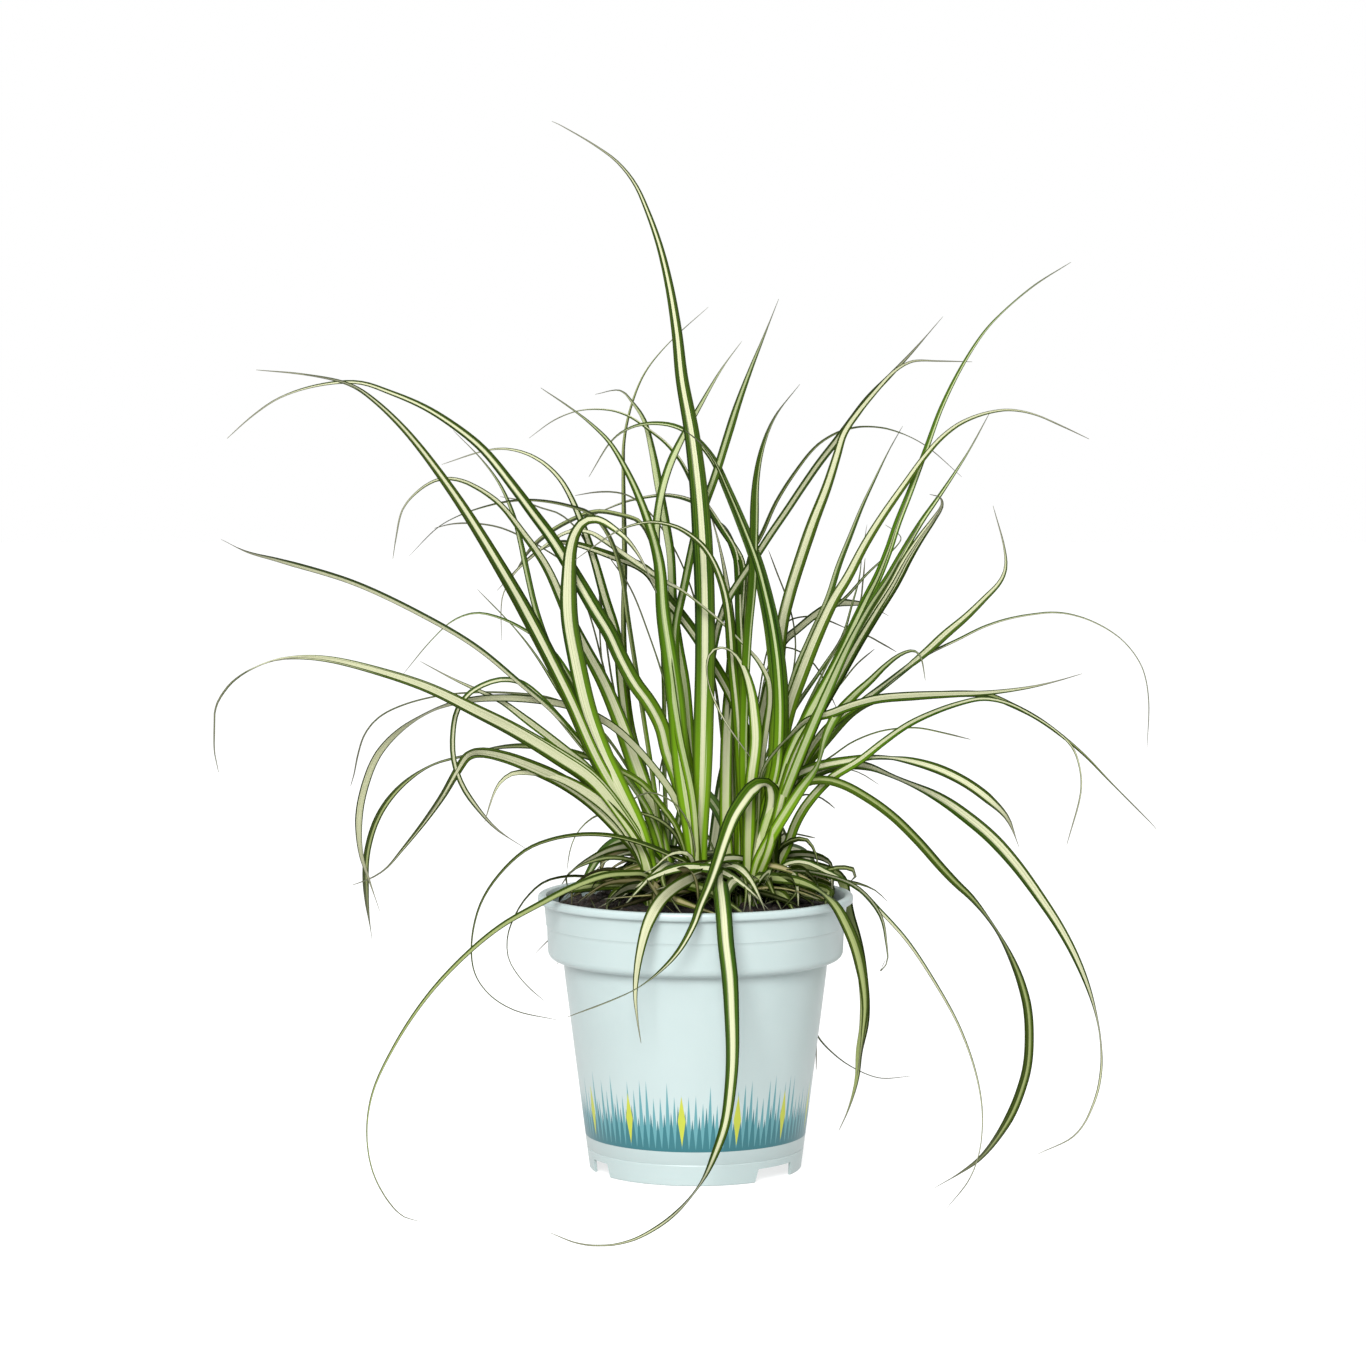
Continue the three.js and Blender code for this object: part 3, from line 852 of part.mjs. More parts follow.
// How far a leaf reaches up and down about its middle line, and how unsure its depth is between samples.
function measureReach(leaf) {
  const { path } = leaf;
  path.forEach((here, index) => {
    const before = path[Math.max(0, index - 1)];
    const after = path[Math.min(path.length - 1, index + 1)];
    const across = after.across - before.across;
    const up = after.up - before.up;
    const level = Math.abs(across) / Math.max(Math.hypot(across, up), 1e-6);
    here.halfRise = here.halfSeen * level + LEAF_THICKNESS / 2;
    here.slack = Math.abs(after.depth - before.depth) / 4;
    here.ownDepth = here.depth;
  });
}

function tuftLeaves() {
  return Object.entries(TUFTS).map(([name, { crown }], tuft) => {
    return leavesOf(name).map((leaf, index) => {
      const grown = shaped(sampled(leaf, crown, tuft * 100 + index));
      measureReach(grown);
      return grown;
    });
  });
}

// ---- The object ----

const PLASTIC = new THREE.MeshStandardMaterial({ color: 0xd5e6e5, roughness: 0.45, metalness: 0 });
const COMPOST = new THREE.MeshStandardMaterial({ color: 0x2d1f17, roughness: 0.95, metalness: 0 });
const LEAF = new THREE.MeshStandardMaterial({ color: 0x9cb456, roughness: 0.55, metalness: 0 });

function piece(name, solid, material) {
  const mesh = new THREE.Mesh(geometryOf(solid), material.clone());
  mesh.name = name;
  return mesh;
}

const sedge = new THREE.Group();
sedge.add(piece("pot", potSolid(), PLASTIC));
sedge.add(piece("soil", soilSolid(), COMPOST));

const grown = tuftLeaves();
bendClear(grown);
Object.entries(TUFTS).forEach(([name, { crown }], tuft) => {
  const straps = grown[tuft].map(({ path }) => strapSolid(path));
  const whole = wasm.Manifold.union([crownSolid(crown), ...straps]);
  sedge.add(piece(`tuft_${name}`, largestBodyOf(whole), LEAF));
});

export default sedge;
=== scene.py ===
# %% [markdown]
# # A variegated sedge in its nursery pot
# The real object is a small perennial: tufts of folded strap leaves, cream along the middle and green along
# the margins, that arch out of dark compost in a thin moulded pot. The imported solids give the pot, the
# compost and each tuft their real place and reach. Here each of them gets its true surface: a spun pot with
# a printed band, crumbly compost, and blades with a fold, a taper and stripes that run their whole length.

import math

import bpy
import numpy as np
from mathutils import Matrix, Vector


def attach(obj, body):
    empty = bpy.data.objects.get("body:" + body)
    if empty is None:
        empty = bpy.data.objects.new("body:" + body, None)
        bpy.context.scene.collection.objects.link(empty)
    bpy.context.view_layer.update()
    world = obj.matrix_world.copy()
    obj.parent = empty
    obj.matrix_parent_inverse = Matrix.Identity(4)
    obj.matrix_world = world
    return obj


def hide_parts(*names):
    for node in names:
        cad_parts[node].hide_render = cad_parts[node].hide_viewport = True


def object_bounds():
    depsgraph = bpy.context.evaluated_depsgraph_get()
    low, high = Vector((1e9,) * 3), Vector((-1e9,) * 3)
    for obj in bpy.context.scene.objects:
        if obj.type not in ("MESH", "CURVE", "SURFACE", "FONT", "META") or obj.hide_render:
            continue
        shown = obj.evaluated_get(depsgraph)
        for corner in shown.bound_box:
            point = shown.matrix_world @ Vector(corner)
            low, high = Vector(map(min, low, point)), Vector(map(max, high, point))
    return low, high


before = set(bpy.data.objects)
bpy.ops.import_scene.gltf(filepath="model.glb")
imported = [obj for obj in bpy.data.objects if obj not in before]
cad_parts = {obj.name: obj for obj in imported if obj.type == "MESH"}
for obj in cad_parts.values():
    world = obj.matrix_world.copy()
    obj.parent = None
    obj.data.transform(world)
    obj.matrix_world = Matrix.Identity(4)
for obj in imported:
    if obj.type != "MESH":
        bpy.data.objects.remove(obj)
cad_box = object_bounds()
MM = 0.001
print("nodes:", sorted(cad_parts))

# %% [markdown]
# ## Selecting, placing and finishing
# An operator acts on all that is selected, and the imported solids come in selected, so every step starts from
# a clean selection. A finished piece sits at the origin, unturned, with its place in its mesh, so that a
# pattern which reads the piece's own coordinates stays where it belongs.


# %% Helpers for selecting and finishing
def deselect_all():
    """Nothing stays selected, because an operator acts on all that is."""
    if bpy.context.object and bpy.context.object.mode != "OBJECT":
        bpy.ops.object.mode_set(mode="OBJECT")
    bpy.ops.object.select_all(action="DESELECT")


def select_only(thing):
    deselect_all()
    thing.select_set(True)
    bpy.context.view_layer.objects.active = thing


def apply_place(thing):
    """The object goes to the origin and its place goes into its mesh."""
    select_only(thing)
    bpy.ops.object.transform_apply(location=True, rotation=True, scale=True)


def apply_modifiers(thing):
    select_only(thing)
    for modifier in list(thing.modifiers):
        bpy.ops.object.modifier_apply(modifier=modifier.name)


def join_pieces(things, name):
    """Several meshes become one object, with the first one's place."""
    deselect_all()
    for thing in things:
        thing.select_set(True)
    bpy.context.view_layer.objects.active = things[0]
    bpy.ops.object.join()
    things[0].name = name
    return things[0]


def finish_piece(thing, name, material, smooth_degrees):
    """A last pass on a piece: its name, its material and its shading."""
    apply_place(thing)
    thing.name = name
    thing.data.name = name
    thing.data.materials.clear()
    thing.data.materials.append(material)
    select_only(thing)
    bpy.ops.object.shade_smooth_by_angle(angle=math.radians(smooth_degrees))
    print(f"{name}: {len(thing.data.polygons)} faces")


print("selecting and finishing helpers ready")

# %% [markdown]
# ## Small tools for materials
# A finish is a small network of nodes. Writing it as formulas keeps it readable: each helper adds one node
# and returns its output. Patterns read the Object coordinates, which lie still on the piece, or the blade's
# own map, which runs along every leaf.


# %% Node helpers
class Finish:
    """A material with its shader, and short ways to add nodes to it."""

    def __init__(self, name):
        self.material = bpy.data.materials.new(name)
        self.material.use_nodes = True
        self.tree = self.material.node_tree
        self.shader = self.tree.nodes["Principled BSDF"]

    def wire(self, source, socket):
        """A socket takes another node's output, or a plain value."""
        if isinstance(source, bpy.types.NodeSocket):
            self.tree.links.new(source, socket)
        else:
            socket.default_value = source

    def node(self, kind, sources, output=0, **settings):
        """A new node's output. The sources are what its sockets take, by their names or numbers."""
        node = self.tree.nodes.new(f"ShaderNode{kind}")
        for name, value in settings.items():
            setattr(node, name, value)
        for socket, source in sources.items():
            self.wire(source, node.inputs[socket])
        return node.outputs[output]

    def math(self, operation, *values):
        return self.node("Math", dict(enumerate(values)), operation=operation)

    def blend(self, share, first, second):
        """A colour between two, by share."""
        sources = {"Factor": share, "A": first, "B": second}
        return self.node("Mix", sources, "Result", data_type="RGBA")

    def ramp(self, value, low, high, to_low=0.0, to_high=1.0):
        """A value's smooth rise from one level to another."""
        sources = dict(enumerate((value, low, high, to_low, to_high)))
        return self.node("MapRange", sources, "Result", interpolation_type="SMOOTHSTEP")

    def noise(self, vector, scale, detail, roughness=0.5):
        sources = {"Vector": vector, "Scale": scale, "Detail": detail, "Roughness": roughness}
        return self.node("TexNoise", sources, "Fac", noise_dimensions="3D")

    def vector(self, x, y, z):
        return self.node("CombineXYZ", {0: x, 1: y, 2: z})

    def parts(self, vector):
        """A vector's three numbers."""
        return self.node("SeparateXYZ", {0: vector}).node.outputs

    def place(self):
        return self.node("TexCoord", {}, "Object")

    def attribute(self, name):
        return self.node("Attribute", {}, "Vector", attribute_name=name)

    def look(self, **values):
        """Values of the shader's sockets, as Base_Color=..., Roughness=..."""
        for name, value in values.items():
            self.wire(value, self.shader.inputs[name.replace("_", " ")])

    def bump(self, height, strength, distance):
        sources = {"Height": height, "Strength": strength, "Distance": distance}
        self.look(Normal=self.node("Bump", sources))


print("node helpers ready")

# %% Colours
STUDIO_GAIN = 2.2


def paint(red, green, blue):
    """A colour as seen under the studio's light, 0 to 255, in the linear values that shaders use."""
    seen = np.array([red, green, blue]) / 255
    linear = np.where(seen <= 0.04045, seen / 12.92, ((seen + 0.055) / 1.055) ** 2.4)
    return (*(linear / STUDIO_GAIN).tolist(), 1.0)


print("white paint:", round(paint(255, 255, 255)[0], 3))

# %% [markdown]
# ## The station, the floor and the light
# The leaves are described as they look from one station in front of the pot, so the camera stands there
# too. A long lens from 1.6 m keeps the pot's rim and foot almost parallel. The floor is a plain pale sheet,
# and broad soft lamps leave only a faint shadow under the pot, which lets the thin dark margins read.

# %% Camera
STATION = np.array([-5.16, -1600.0, 317.0])
PITCH = 0.0727
LENS = 102.9
SENSOR_WIDTH = 36.0
CLIP_END = 20.0

camera_data = bpy.data.cameras.new("camera")
camera_data.lens = LENS
camera_data.sensor_width = SENSOR_WIDTH
camera_data.clip_end = CLIP_END
camera = bpy.data.objects.new("camera", camera_data)
camera.location = STATION * MM
camera.rotation_euler = (math.pi / 2 - PITCH, 0, 0)
bpy.context.scene.collection.objects.link(camera)
bpy.context.scene.camera = camera
bpy.context.scene.view_settings.view_transform = "Standard"
print("camera at", [round(v, 3) for v in camera.location])

# %% Floor
FLOOR_SIZE = 14.0
FLOOR_GREY = (0.3, 0.3, 0.3, 1)
FLOOR_ROUGHNESS = 0.9
FLOOR_GLOW = 0.72
WHITE = (1, 1, 1, 1)

deselect_all()
bpy.ops.mesh.primitive_plane_add(size=FLOOR_SIZE, location=(0, 0, 0))
floor = bpy.context.object
floor.name = "floor"
pale_sheet = Finish("pale_floor")
pale_sheet.look(Base_Color=FLOOR_GREY, Roughness=FLOOR_ROUGHNESS)
pale_sheet.look(Emission_Color=WHITE, Emission_Strength=FLOOR_GLOW)
floor.data.materials.append(pale_sheet.material)
print("floor:", FLOOR_SIZE, "m square")

# %% Light
SKY_STRENGTH = 1.0
# Each lamp: its place, the point that it faces, its size in metres and its watts.
LAMPS = {
    "key": ((-0.3, -1.85, 1.1), (0, 0, 0.2), 0.9, 78),
    "fill": ((1.3, -1.3, 0.7), (0, 0, 0.2), 1.0, 2),
    "top": ((-0.1, 0.2, 1.9), (0, 0, 0.25), 0.9, 6),
}

world = bpy.data.worlds.new("studio")
bpy.context.scene.world = world
world.use_nodes = True
sky = world.node_tree.nodes["Background"]
sky.inputs["Color"].default_value = WHITE
sky.inputs["Strength"].default_value = SKY_STRENGTH


def soft_lamp(name, place, aim, size, watts):
    """A square lamp that faces a point of the plant."""
    lamp_data = bpy.data.lights.new(name, "AREA")
    lamp_data.shape = "SQUARE"
    lamp_data.size = size
    lamp_data.energy = watts
    lamp = bpy.data.objects.new(name, lamp_data)
    lamp.location = place
    direction = np.array(aim) - np.array(place)
    flat = math.hypot(direction[0], direction[1])
    lamp.rotation_euler = (math.atan2(flat, -direction[2]), 0, math.atan2(-direction[0], direction[1]))
    bpy.context.scene.collection.objects.link(lamp)


for name, settings in LAMPS.items():
    soft_lamp(name, *settings)
print("lamps:", sorted(LAMPS))

# %% [markdown]
# ## The pot
# A nursery pot is blown or moulded as one thin wall: a tapering body, a wider stacking collar with a faint
# step line, and a rolled bead at the rim. Its floor sits up inside a short skirt with notches that let water
# run away. A lathe shape like this is best drawn as half a section and spun round the axis. The notches and
# drain holes are then cut out of the spun wall.

# %% Pot: driving sizes
RIM_RADIUS = 65.0
RIM_TOP = 113.5
BEAD_HEIGHT = 3.4
BEAD_ROUND = 1.2
COLLAR_TOP_RADIUS = 62.4
COLLAR_LOW_RADIUS = 60.9
COLLAR_BOTTOM = 86.9
COLLAR_CORNER = 3.5
COLLAR_CENTRE = (COLLAR_LOW_RADIUS - COLLAR_CORNER, COLLAR_BOTTOM + COLLAR_CORNER)
COLLAR_LINE_DROP = 12.8
COLLAR_LINE_STEP = 0.3
BODY_TOP_RADIUS = 54.8
FOOT_RADIUS = 43.8
SKIRT_LINE = 8.7
GROOVE_DEPTH = 0.22
GROOVE_HALF = 0.35
WALL = 1.3
FLOOR_RAISE = 6.0
FLOOR_TOP = FLOOR_RAISE + WALL
POT_STEPS = 144


def mix(start, end, share):
    return start + (end - start) * share


def body_radius(height):
    return mix(FOOT_RADIUS, BODY_TOP_RADIUS, height / COLLAR_BOTTOM)


def arc(centre, radius, start, end, steps):
    """Points on a round corner of a section, from one angle to another in degrees."""
    angles = [math.radians(mix(start, end, step / steps)) for step in range(steps + 1)]
    return [(centre[0] + radius * math.cos(a), centre[1] + radius * math.sin(a)) for a in angles]


print("pot:", 2 * RIM_RADIUS, "mm across the rim,", RIM_TOP, "mm high")


# %% Pot: half a section
FLOOR_CORNER = 1
FOOT_ROUND_INSIDE = 0.3
FOOT_ROUND_OUTSIDE = 0.4
BODY_HEIGHTS = (20, 35, 50, 65, 80)
INNER_HEIGHTS = (70, 40, FLOOR_TOP)
# Points that ease a corner of the wall, each as (out, up) from that corner in mm.
LEDGE_EASE = [(-0.3, -1), (0.5, -0.1), (1.4, 0)]
LINE_EASE_BELOW = [(-0.1, -1.2), (0, -0.1)]
LINE_EASE_ABOVE = [(0, COLLAR_LINE_STEP), (0.05, 1.4)]
BEAD_EASE = [(-0.1, -1.2), (0.15, -0.2)]
MOUTH_EASE = [(0.2, 0), (-0.7, -0.35)]
MOUTH_EASE_INSIDE = [(0, -1.4), (-0.1, -5)]


def corner(radius, height, ease):
    """The points that ease a corner at this radius and height."""
    return [(radius + out, height + up) for out, up in ease]


def outside_of_wall():
    """(radius, height) from the axis under the floor to the bead's top."""
    floor_edge = body_radius(FLOOR_RAISE) - WALL - FLOOR_CORNER
    underside = [(0, FLOOR_RAISE), (floor_edge, FLOOR_RAISE)]
    underside += arc((floor_edge, FLOOR_RAISE - FLOOR_CORNER), FLOOR_CORNER, 90, 0, 3)[1:]
    foot = [(FOOT_RADIUS - WALL, FOOT_ROUND_INSIDE), (FOOT_RADIUS - WALL + FOOT_ROUND_INSIDE, 0)]
    foot += [(FOOT_RADIUS - FOOT_ROUND_OUTSIDE, 0), (FOOT_RADIUS, FOOT_ROUND_OUTSIDE)]
    foot += [(body_radius(SKIRT_LINE - GROOVE_HALF), SKIRT_LINE - GROOVE_HALF)]
    foot += [(body_radius(SKIRT_LINE) - GROOVE_DEPTH, SKIRT_LINE)]
    foot += [(body_radius(SKIRT_LINE + GROOVE_HALF), SKIRT_LINE + GROOVE_HALF)]
    body = [(body_radius(height), height) for height in BODY_HEIGHTS]
    body += corner(BODY_TOP_RADIUS, COLLAR_BOTTOM, LEDGE_EASE)
    collar = arc(COLLAR_CENTRE, COLLAR_CORNER, -90, 0, 8)
    line = RIM_TOP - COLLAR_LINE_DROP
    line_radius = mix(COLLAR_LOW_RADIUS, COLLAR_TOP_RADIUS, 0.5)
    collar += corner(line_radius - COLLAR_LINE_STEP, line, LINE_EASE_BELOW)
    collar += corner(line_radius, line, LINE_EASE_ABOVE)
    bead_low = RIM_TOP - BEAD_HEIGHT
    collar += corner(COLLAR_TOP_RADIUS, bead_low, BEAD_EASE)
    bead = arc((RIM_RADIUS - BEAD_ROUND, bead_low + BEAD_ROUND), BEAD_ROUND, -90, 0, 4)
    bead += arc((RIM_RADIUS - BEAD_ROUND, RIM_TOP - BEAD_ROUND), BEAD_ROUND, 0, 90, 4)
    return underside + foot + body + collar + bead


def inside_of_wall():
    """(radius, height) from the bead's top down to the middle of the floor."""
    top = corner(COLLAR_TOP_RADIUS, RIM_TOP, MOUTH_EASE)
    top += corner(COLLAR_TOP_RADIUS - WALL, RIM_TOP, MOUTH_EASE_INSIDE)
    collar = arc(COLLAR_CENTRE, COLLAR_CORNER - WALL, 0, -90, 6)
    body = [(BODY_TOP_RADIUS - WALL, COLLAR_BOTTOM + WALL - 0.4)]
    body += [(body_radius(height) - WALL, height) for height in INNER_HEIGHTS]
    return top + collar + body + [(0, FLOOR_TOP)]


section = outside_of_wall() + inside_of_wall()
print("pot section:", len(section), "points")

# %% A section becomes a turned piece
DOUBLES = 0.002


def turned_piece(name, outline, steps):
    """(radius, height) points in mm are drawn by extruding one vertex, and spun round the axis."""
    deselect_all()
    bpy.ops.mesh.primitive_plane_add(size=MM, location=(0, 0, 0))
    thing = bpy.context.object
    thing.name = name
    bpy.ops.object.mode_set(mode="EDIT")
    bpy.ops.mesh.merge(type="CENTER")
    bpy.ops.transform.translate(value=(outline[0][0] * MM, 0, outline[0][1] * MM))
    for (radius, height), (next_radius, next_height) in zip(outline, outline[1:]):
        step = ((next_radius - radius) * MM, 0, (next_height - height) * MM)
        bpy.ops.mesh.extrude_region_move(TRANSFORM_OT_translate={"value": step})
    bpy.ops.mesh.select_all(action="SELECT")
    bpy.ops.mesh.spin(steps=steps, angle=2 * math.pi, center=(0, 0, 0), axis=(0, 0, 1))
    bpy.ops.mesh.select_all(action="SELECT")
    bpy.ops.mesh.remove_doubles(threshold=DOUBLES * MM)
    bpy.ops.mesh.normals_make_consistent(inside=False)
    bpy.ops.object.mode_set(mode="OBJECT")
    print(f"{name}: {len(thing.data.vertices)} vertices spun")
    return thing


pot = turned_piece("pot_shell", section, POT_STEPS)

# %% Pot: notches and drain holes
# Each notch: its angle round the foot in degrees, and its width at the top.
NOTCHES = [(48, 20), (-62, 12), (228, 20), (118, 12)]
NOTCH_HEIGHT = 5.6
NOTCH_DEPTH = 10
NOTCH_SPLAY = 1.4
DRAINS = 6
DRAIN_RADIUS = 4.0
DRAIN_RING = 27.0
DRAIN_STEPS = 32


def notch_cutter(angle, width):
    """A box through the skirt, drawn wider at the ground, then turned to its place round the foot."""
    deselect_all()
    place = (0, -(FOOT_RADIUS - 2) * MM, (NOTCH_HEIGHT / 2 - 1) * MM)
    bpy.ops.mesh.primitive_cube_add(size=1, location=place)
    cutter = bpy.context.object
    cutter.scale = (width * MM, NOTCH_DEPTH * MM, (NOTCH_HEIGHT + 2) * MM)
    apply_place(cutter)
    for vertex in cutter.data.vertices:
        if vertex.co.z < 0:
            vertex.co.x += math.copysign(NOTCH_SPLAY * MM, vertex.co.x)
    cutter.rotation_euler = (0, 0, math.radians(angle))
    apply_place(cutter)
    return cutter


def drain_cutter(index):
    """A round bar through the floor, at its place in the ring."""
    deselect_all()
    angle = index / DRAINS * 2 * math.pi
    ring = DRAIN_RING * MM
    place = (ring * math.cos(angle), ring * math.sin(angle), (FLOOR_RAISE + WALL / 2) * MM)
    size = {"radius": DRAIN_RADIUS * MM, "depth": WALL * 4 * MM}
    bpy.ops.mesh.primitive_cylinder_add(vertices=DRAIN_STEPS, location=place, **size)
    cutter = bpy.context.object
    apply_place(cutter)
    return cutter


def cut_away(thing, cutters):
    """Each cutter is taken out of the piece and then deleted."""
    for cutter in cutters:
        modifier = thing.modifiers.new("cut", "BOOLEAN")
        modifier.operation = "DIFFERENCE"
        modifier.object = cutter
        modifier.solver = "EXACT"
        apply_modifiers(thing)
        bpy.data.objects.remove(cutter, do_unlink=True)


cut_away(pot, [notch_cutter(angle, width) for angle, width in NOTCHES])
cut_away(pot, [drain_cutter(index) for index in range(DRAINS)])
print("pot cut:", len(NOTCHES), "notches and", DRAINS, "drain holes")

# %% [markdown]
# ## The pot's finish
# The wall is a pale mint plastic with a soft gloss and the faintest ripple from the mould. Low on the body
# runs a printed band. Here it is a plain border of slender teal triangles in two staggered rows over a solid
# line, with a yellow-green lozenge now and then. Print like this is only colour, so it is worked out from
# the angle round the pot and the height above the ground, with hard edges.

# %% Pot: colours and the band's sizes
MINT = paint(207, 224, 223)
MINT_SHADE = paint(201, 219, 218)
INK_TEAL = paint(38, 122, 132)
INK_PALE = paint(98, 168, 176)
INK_LIME = paint(205, 214, 62)
BAND_LOW = 14.2
BAND_LINE = 1.3
BAND_RADIUS = 47
TEETH = 104
# A row of teeth: its height, its shift along the row, and the key of its chance heights.
TALL_ROW = (27.0, 0.5, 12.99)
SHORT_ROW = (17.5, 0.0, 7.13)
TOOTH_LEAST = 0.7
TOOTH_SPREAD = 0.42
TOOTH_BREADTH = 0.52
CHANCE_GAIN = 437.5
LOZENGES = 13
LOZENGE_MIDDLE = 27.0
LOZENGE_HALF = (1.6, 10.5)
# Noise on the wall: the faint mottle of its colour, and the ripple from the mould.
MOTTLE = {"scale": 60, "detail": 4}
RIPPLE = {"scale": 140, "detail": 2}
print("band from", BAND_LOW, "to about", BAND_LOW + TALL_ROW[0], "mm")


# %% Pot: finish
def pot_finish():
    finish = Finish("mint_plastic")
    x, y, z = finish.parts(finish.place())
    height = finish.math("MULTIPLY", z, 1 / MM)
    squares = finish.math("ADD", finish.math("MULTIPLY", x, x), finish.math("MULTIPLY", y, y))
    radius = finish.math("SQRT", squares)
    turn = finish.math("DIVIDE", finish.math("ARCTAN2", y, x), 2 * math.pi)
    outside = finish.math("GREATER_THAN", radius, (FOOT_RADIUS - 0.3) * MM)
    on_band = finish.math("MULTIPLY", finish.math("GREATER_THAN", height, BAND_LOW), outside)

    def teeth(tall, shift, key):
        """One row of triangles, each with a height of its own."""
        along = finish.math("ADD", finish.math("MULTIPLY", turn, TEETH), shift)
        number = finish.math("FLOOR", along)
        aside = finish.math("ABSOLUTE", finish.math("SUBTRACT", finish.math("FRACT", along), 0.5))
        wave = finish.math("SINE", finish.math("MULTIPLY", number, key))
        chance = finish.math("FRACT", finish.math("MULTIPLY", wave, CHANCE_GAIN))
        reach = finish.math("MULTIPLY_ADD", chance, tall * TOOTH_SPREAD, tall * TOOTH_LEAST)
        up = finish.math("DIVIDE", finish.math("SUBTRACT", height, BAND_LOW), reach)
        breadth = finish.math("MULTIPLY", finish.math("SUBTRACT", 1.0, up), TOOTH_BREADTH)
        return finish.math("MULTIPLY", finish.math("LESS_THAN", aside, breadth), on_band)

    line = finish.math("MULTIPLY", finish.math("LESS_THAN", height, BAND_LOW + BAND_LINE), on_band)
    spot = finish.math("SUBTRACT", finish.math("FRACT", finish.math("MULTIPLY", turn, LOZENGES)), 0.5)
    spacing = 2 * math.pi * BAND_RADIUS / LOZENGES
    sideways = finish.math("MULTIPLY", finish.math("ABSOLUTE", spot), spacing / LOZENGE_HALF[0])
    upright = finish.math("ABSOLUTE", finish.math("SUBTRACT", height, LOZENGE_MIDDLE))
    upright = finish.math("DIVIDE", upright, LOZENGE_HALF[1])
    lozenge = finish.math("LESS_THAN", finish.math("ADD", sideways, upright), 1.0)
    lozenge = finish.math("MULTIPLY", lozenge, outside)

    mottle = finish.noise(finish.place(), **MOTTLE)
    inked = finish.blend(teeth(*TALL_ROW), finish.blend(mottle, MINT, MINT_SHADE), INK_PALE)
    inked = finish.blend(finish.math("MAXIMUM", teeth(*SHORT_ROW), line), inked, INK_TEAL)
    inked = finish.blend(lozenge, inked, INK_LIME)
    finish.look(Base_Color=inked, Roughness=finish.math("MULTIPLY_ADD", mottle, 0.1, 0.34))
    finish.look(Subsurface_Weight=0.12, Subsurface_Radius=(0.6, 0.9, 0.9), Subsurface_Scale=0.004)
    finish.bump(finish.noise(finish.place(), **RIPPLE), strength=0.05, distance=0.0004)
    return finish.material


finish_piece(pot, "pot_shell", pot_finish(), smooth_degrees=32)
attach(pot, "root")
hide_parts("pot")

# %% [markdown]
# ## The compost
# Potting compost is dark peat with crumbs, clods and a few paler chips of bark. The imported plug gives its
# level and its low mound. This piece is spun in the same way with many fine rings on top, roughened by two
# displace modifiers, and then strewn with crumbs and clods that sit half in it.

# %% Compost: sizes
GAP = 0.35
SOIL_LEVEL = RIM_TOP - 6.0
SOIL_MOUND = 2.5
SOIL_EDGE = mix(COLLAR_LOW_RADIUS, COLLAR_TOP_RADIUS, 0.7) - WALL - GAP
SOIL_RINGS = 40
SOIL_STEPS = 112


def soil_height(x, y):
    """The level of the compost, before its roughness, in mm."""
    return SOIL_LEVEL + SOIL_MOUND * (1 - min(1.0, (x * x + y * y) / SOIL_EDGE ** 2))


def soil_section():
    """Up the inside of the pot's wall, a gap away from it, and then in over the mound."""
    side = [(0, FLOOR_TOP + GAP), (body_radius(FLOOR_TOP) - WALL - GAP, FLOOR_TOP + GAP)]
    side += [(BODY_TOP_RADIUS - WALL - GAP, COLLAR_BOTTOM + WALL + GAP)]
    side += arc(COLLAR_CENTRE, COLLAR_CORNER - WALL - GAP, -90, 0, 4)
    shares = [1 - ring / SOIL_RINGS for ring in range(SOIL_RINGS + 1)]
    return side + [(SOIL_EDGE * share, soil_height(SOIL_EDGE * share, 0)) for share in shares]


soil = turned_piece("compost", soil_section(), SOIL_STEPS)

# %% Compost: the rough top
# Each roughness: the size of its lumps, and how far it lifts and sinks the top, in mm.
ROUGHNESS = {"clods": (9.0, 3.0), "grains": (2.2, 1.4)}
TOP_INSET = 1.0
TOP_DROP = 0.2


def roughen(thing, name, size, strength, group):
    """Displace only the vertices of the group, by cloud noise of one size, in mm."""
    texture = bpy.data.textures.new(name, "CLOUDS")
    texture.noise_scale = size * MM
    modifier = thing.modifiers.new(name, "DISPLACE")
    modifier.texture = texture
    modifier.texture_coords = "LOCAL"
    modifier.direction = "Z"
    modifier.strength = strength * MM
    modifier.mid_level = 0.5
    modifier.vertex_group = group
    apply_modifiers(thing)


def on_top(place):
    """A place on the mound, a little in from the wall."""
    reach = (COLLAR_LOW_RADIUS - WALL - GAP - TOP_INSET) * MM
    return place.z > (SOIL_LEVEL - TOP_DROP) * MM and math.hypot(place.x, place.y) < reach


top_group = soil.vertex_groups.new(name="top")
top_vertices = [vertex.index for vertex in soil.data.vertices if on_top(vertex.co)]
top_group.add(top_vertices, 1.0, "REPLACE")
for name, (size, strength) in ROUGHNESS.items():
    roughen(soil, name, size, strength, "top")
print("compost top:", len(top_vertices), "vertices roughened")

# %% Compost: one crumb, and many
STREW_REACH = 57.5
STREW_TURN = 6.28
STREW_TIP = 0.8
SUNK = 0.25
# How many of each lie there, and their least and greatest size in mm.
CRUMBS = (900, 0.5, 1.5)
CLODS = (150, 1.4, 3.2)
rng = np.random.default_rng(11)


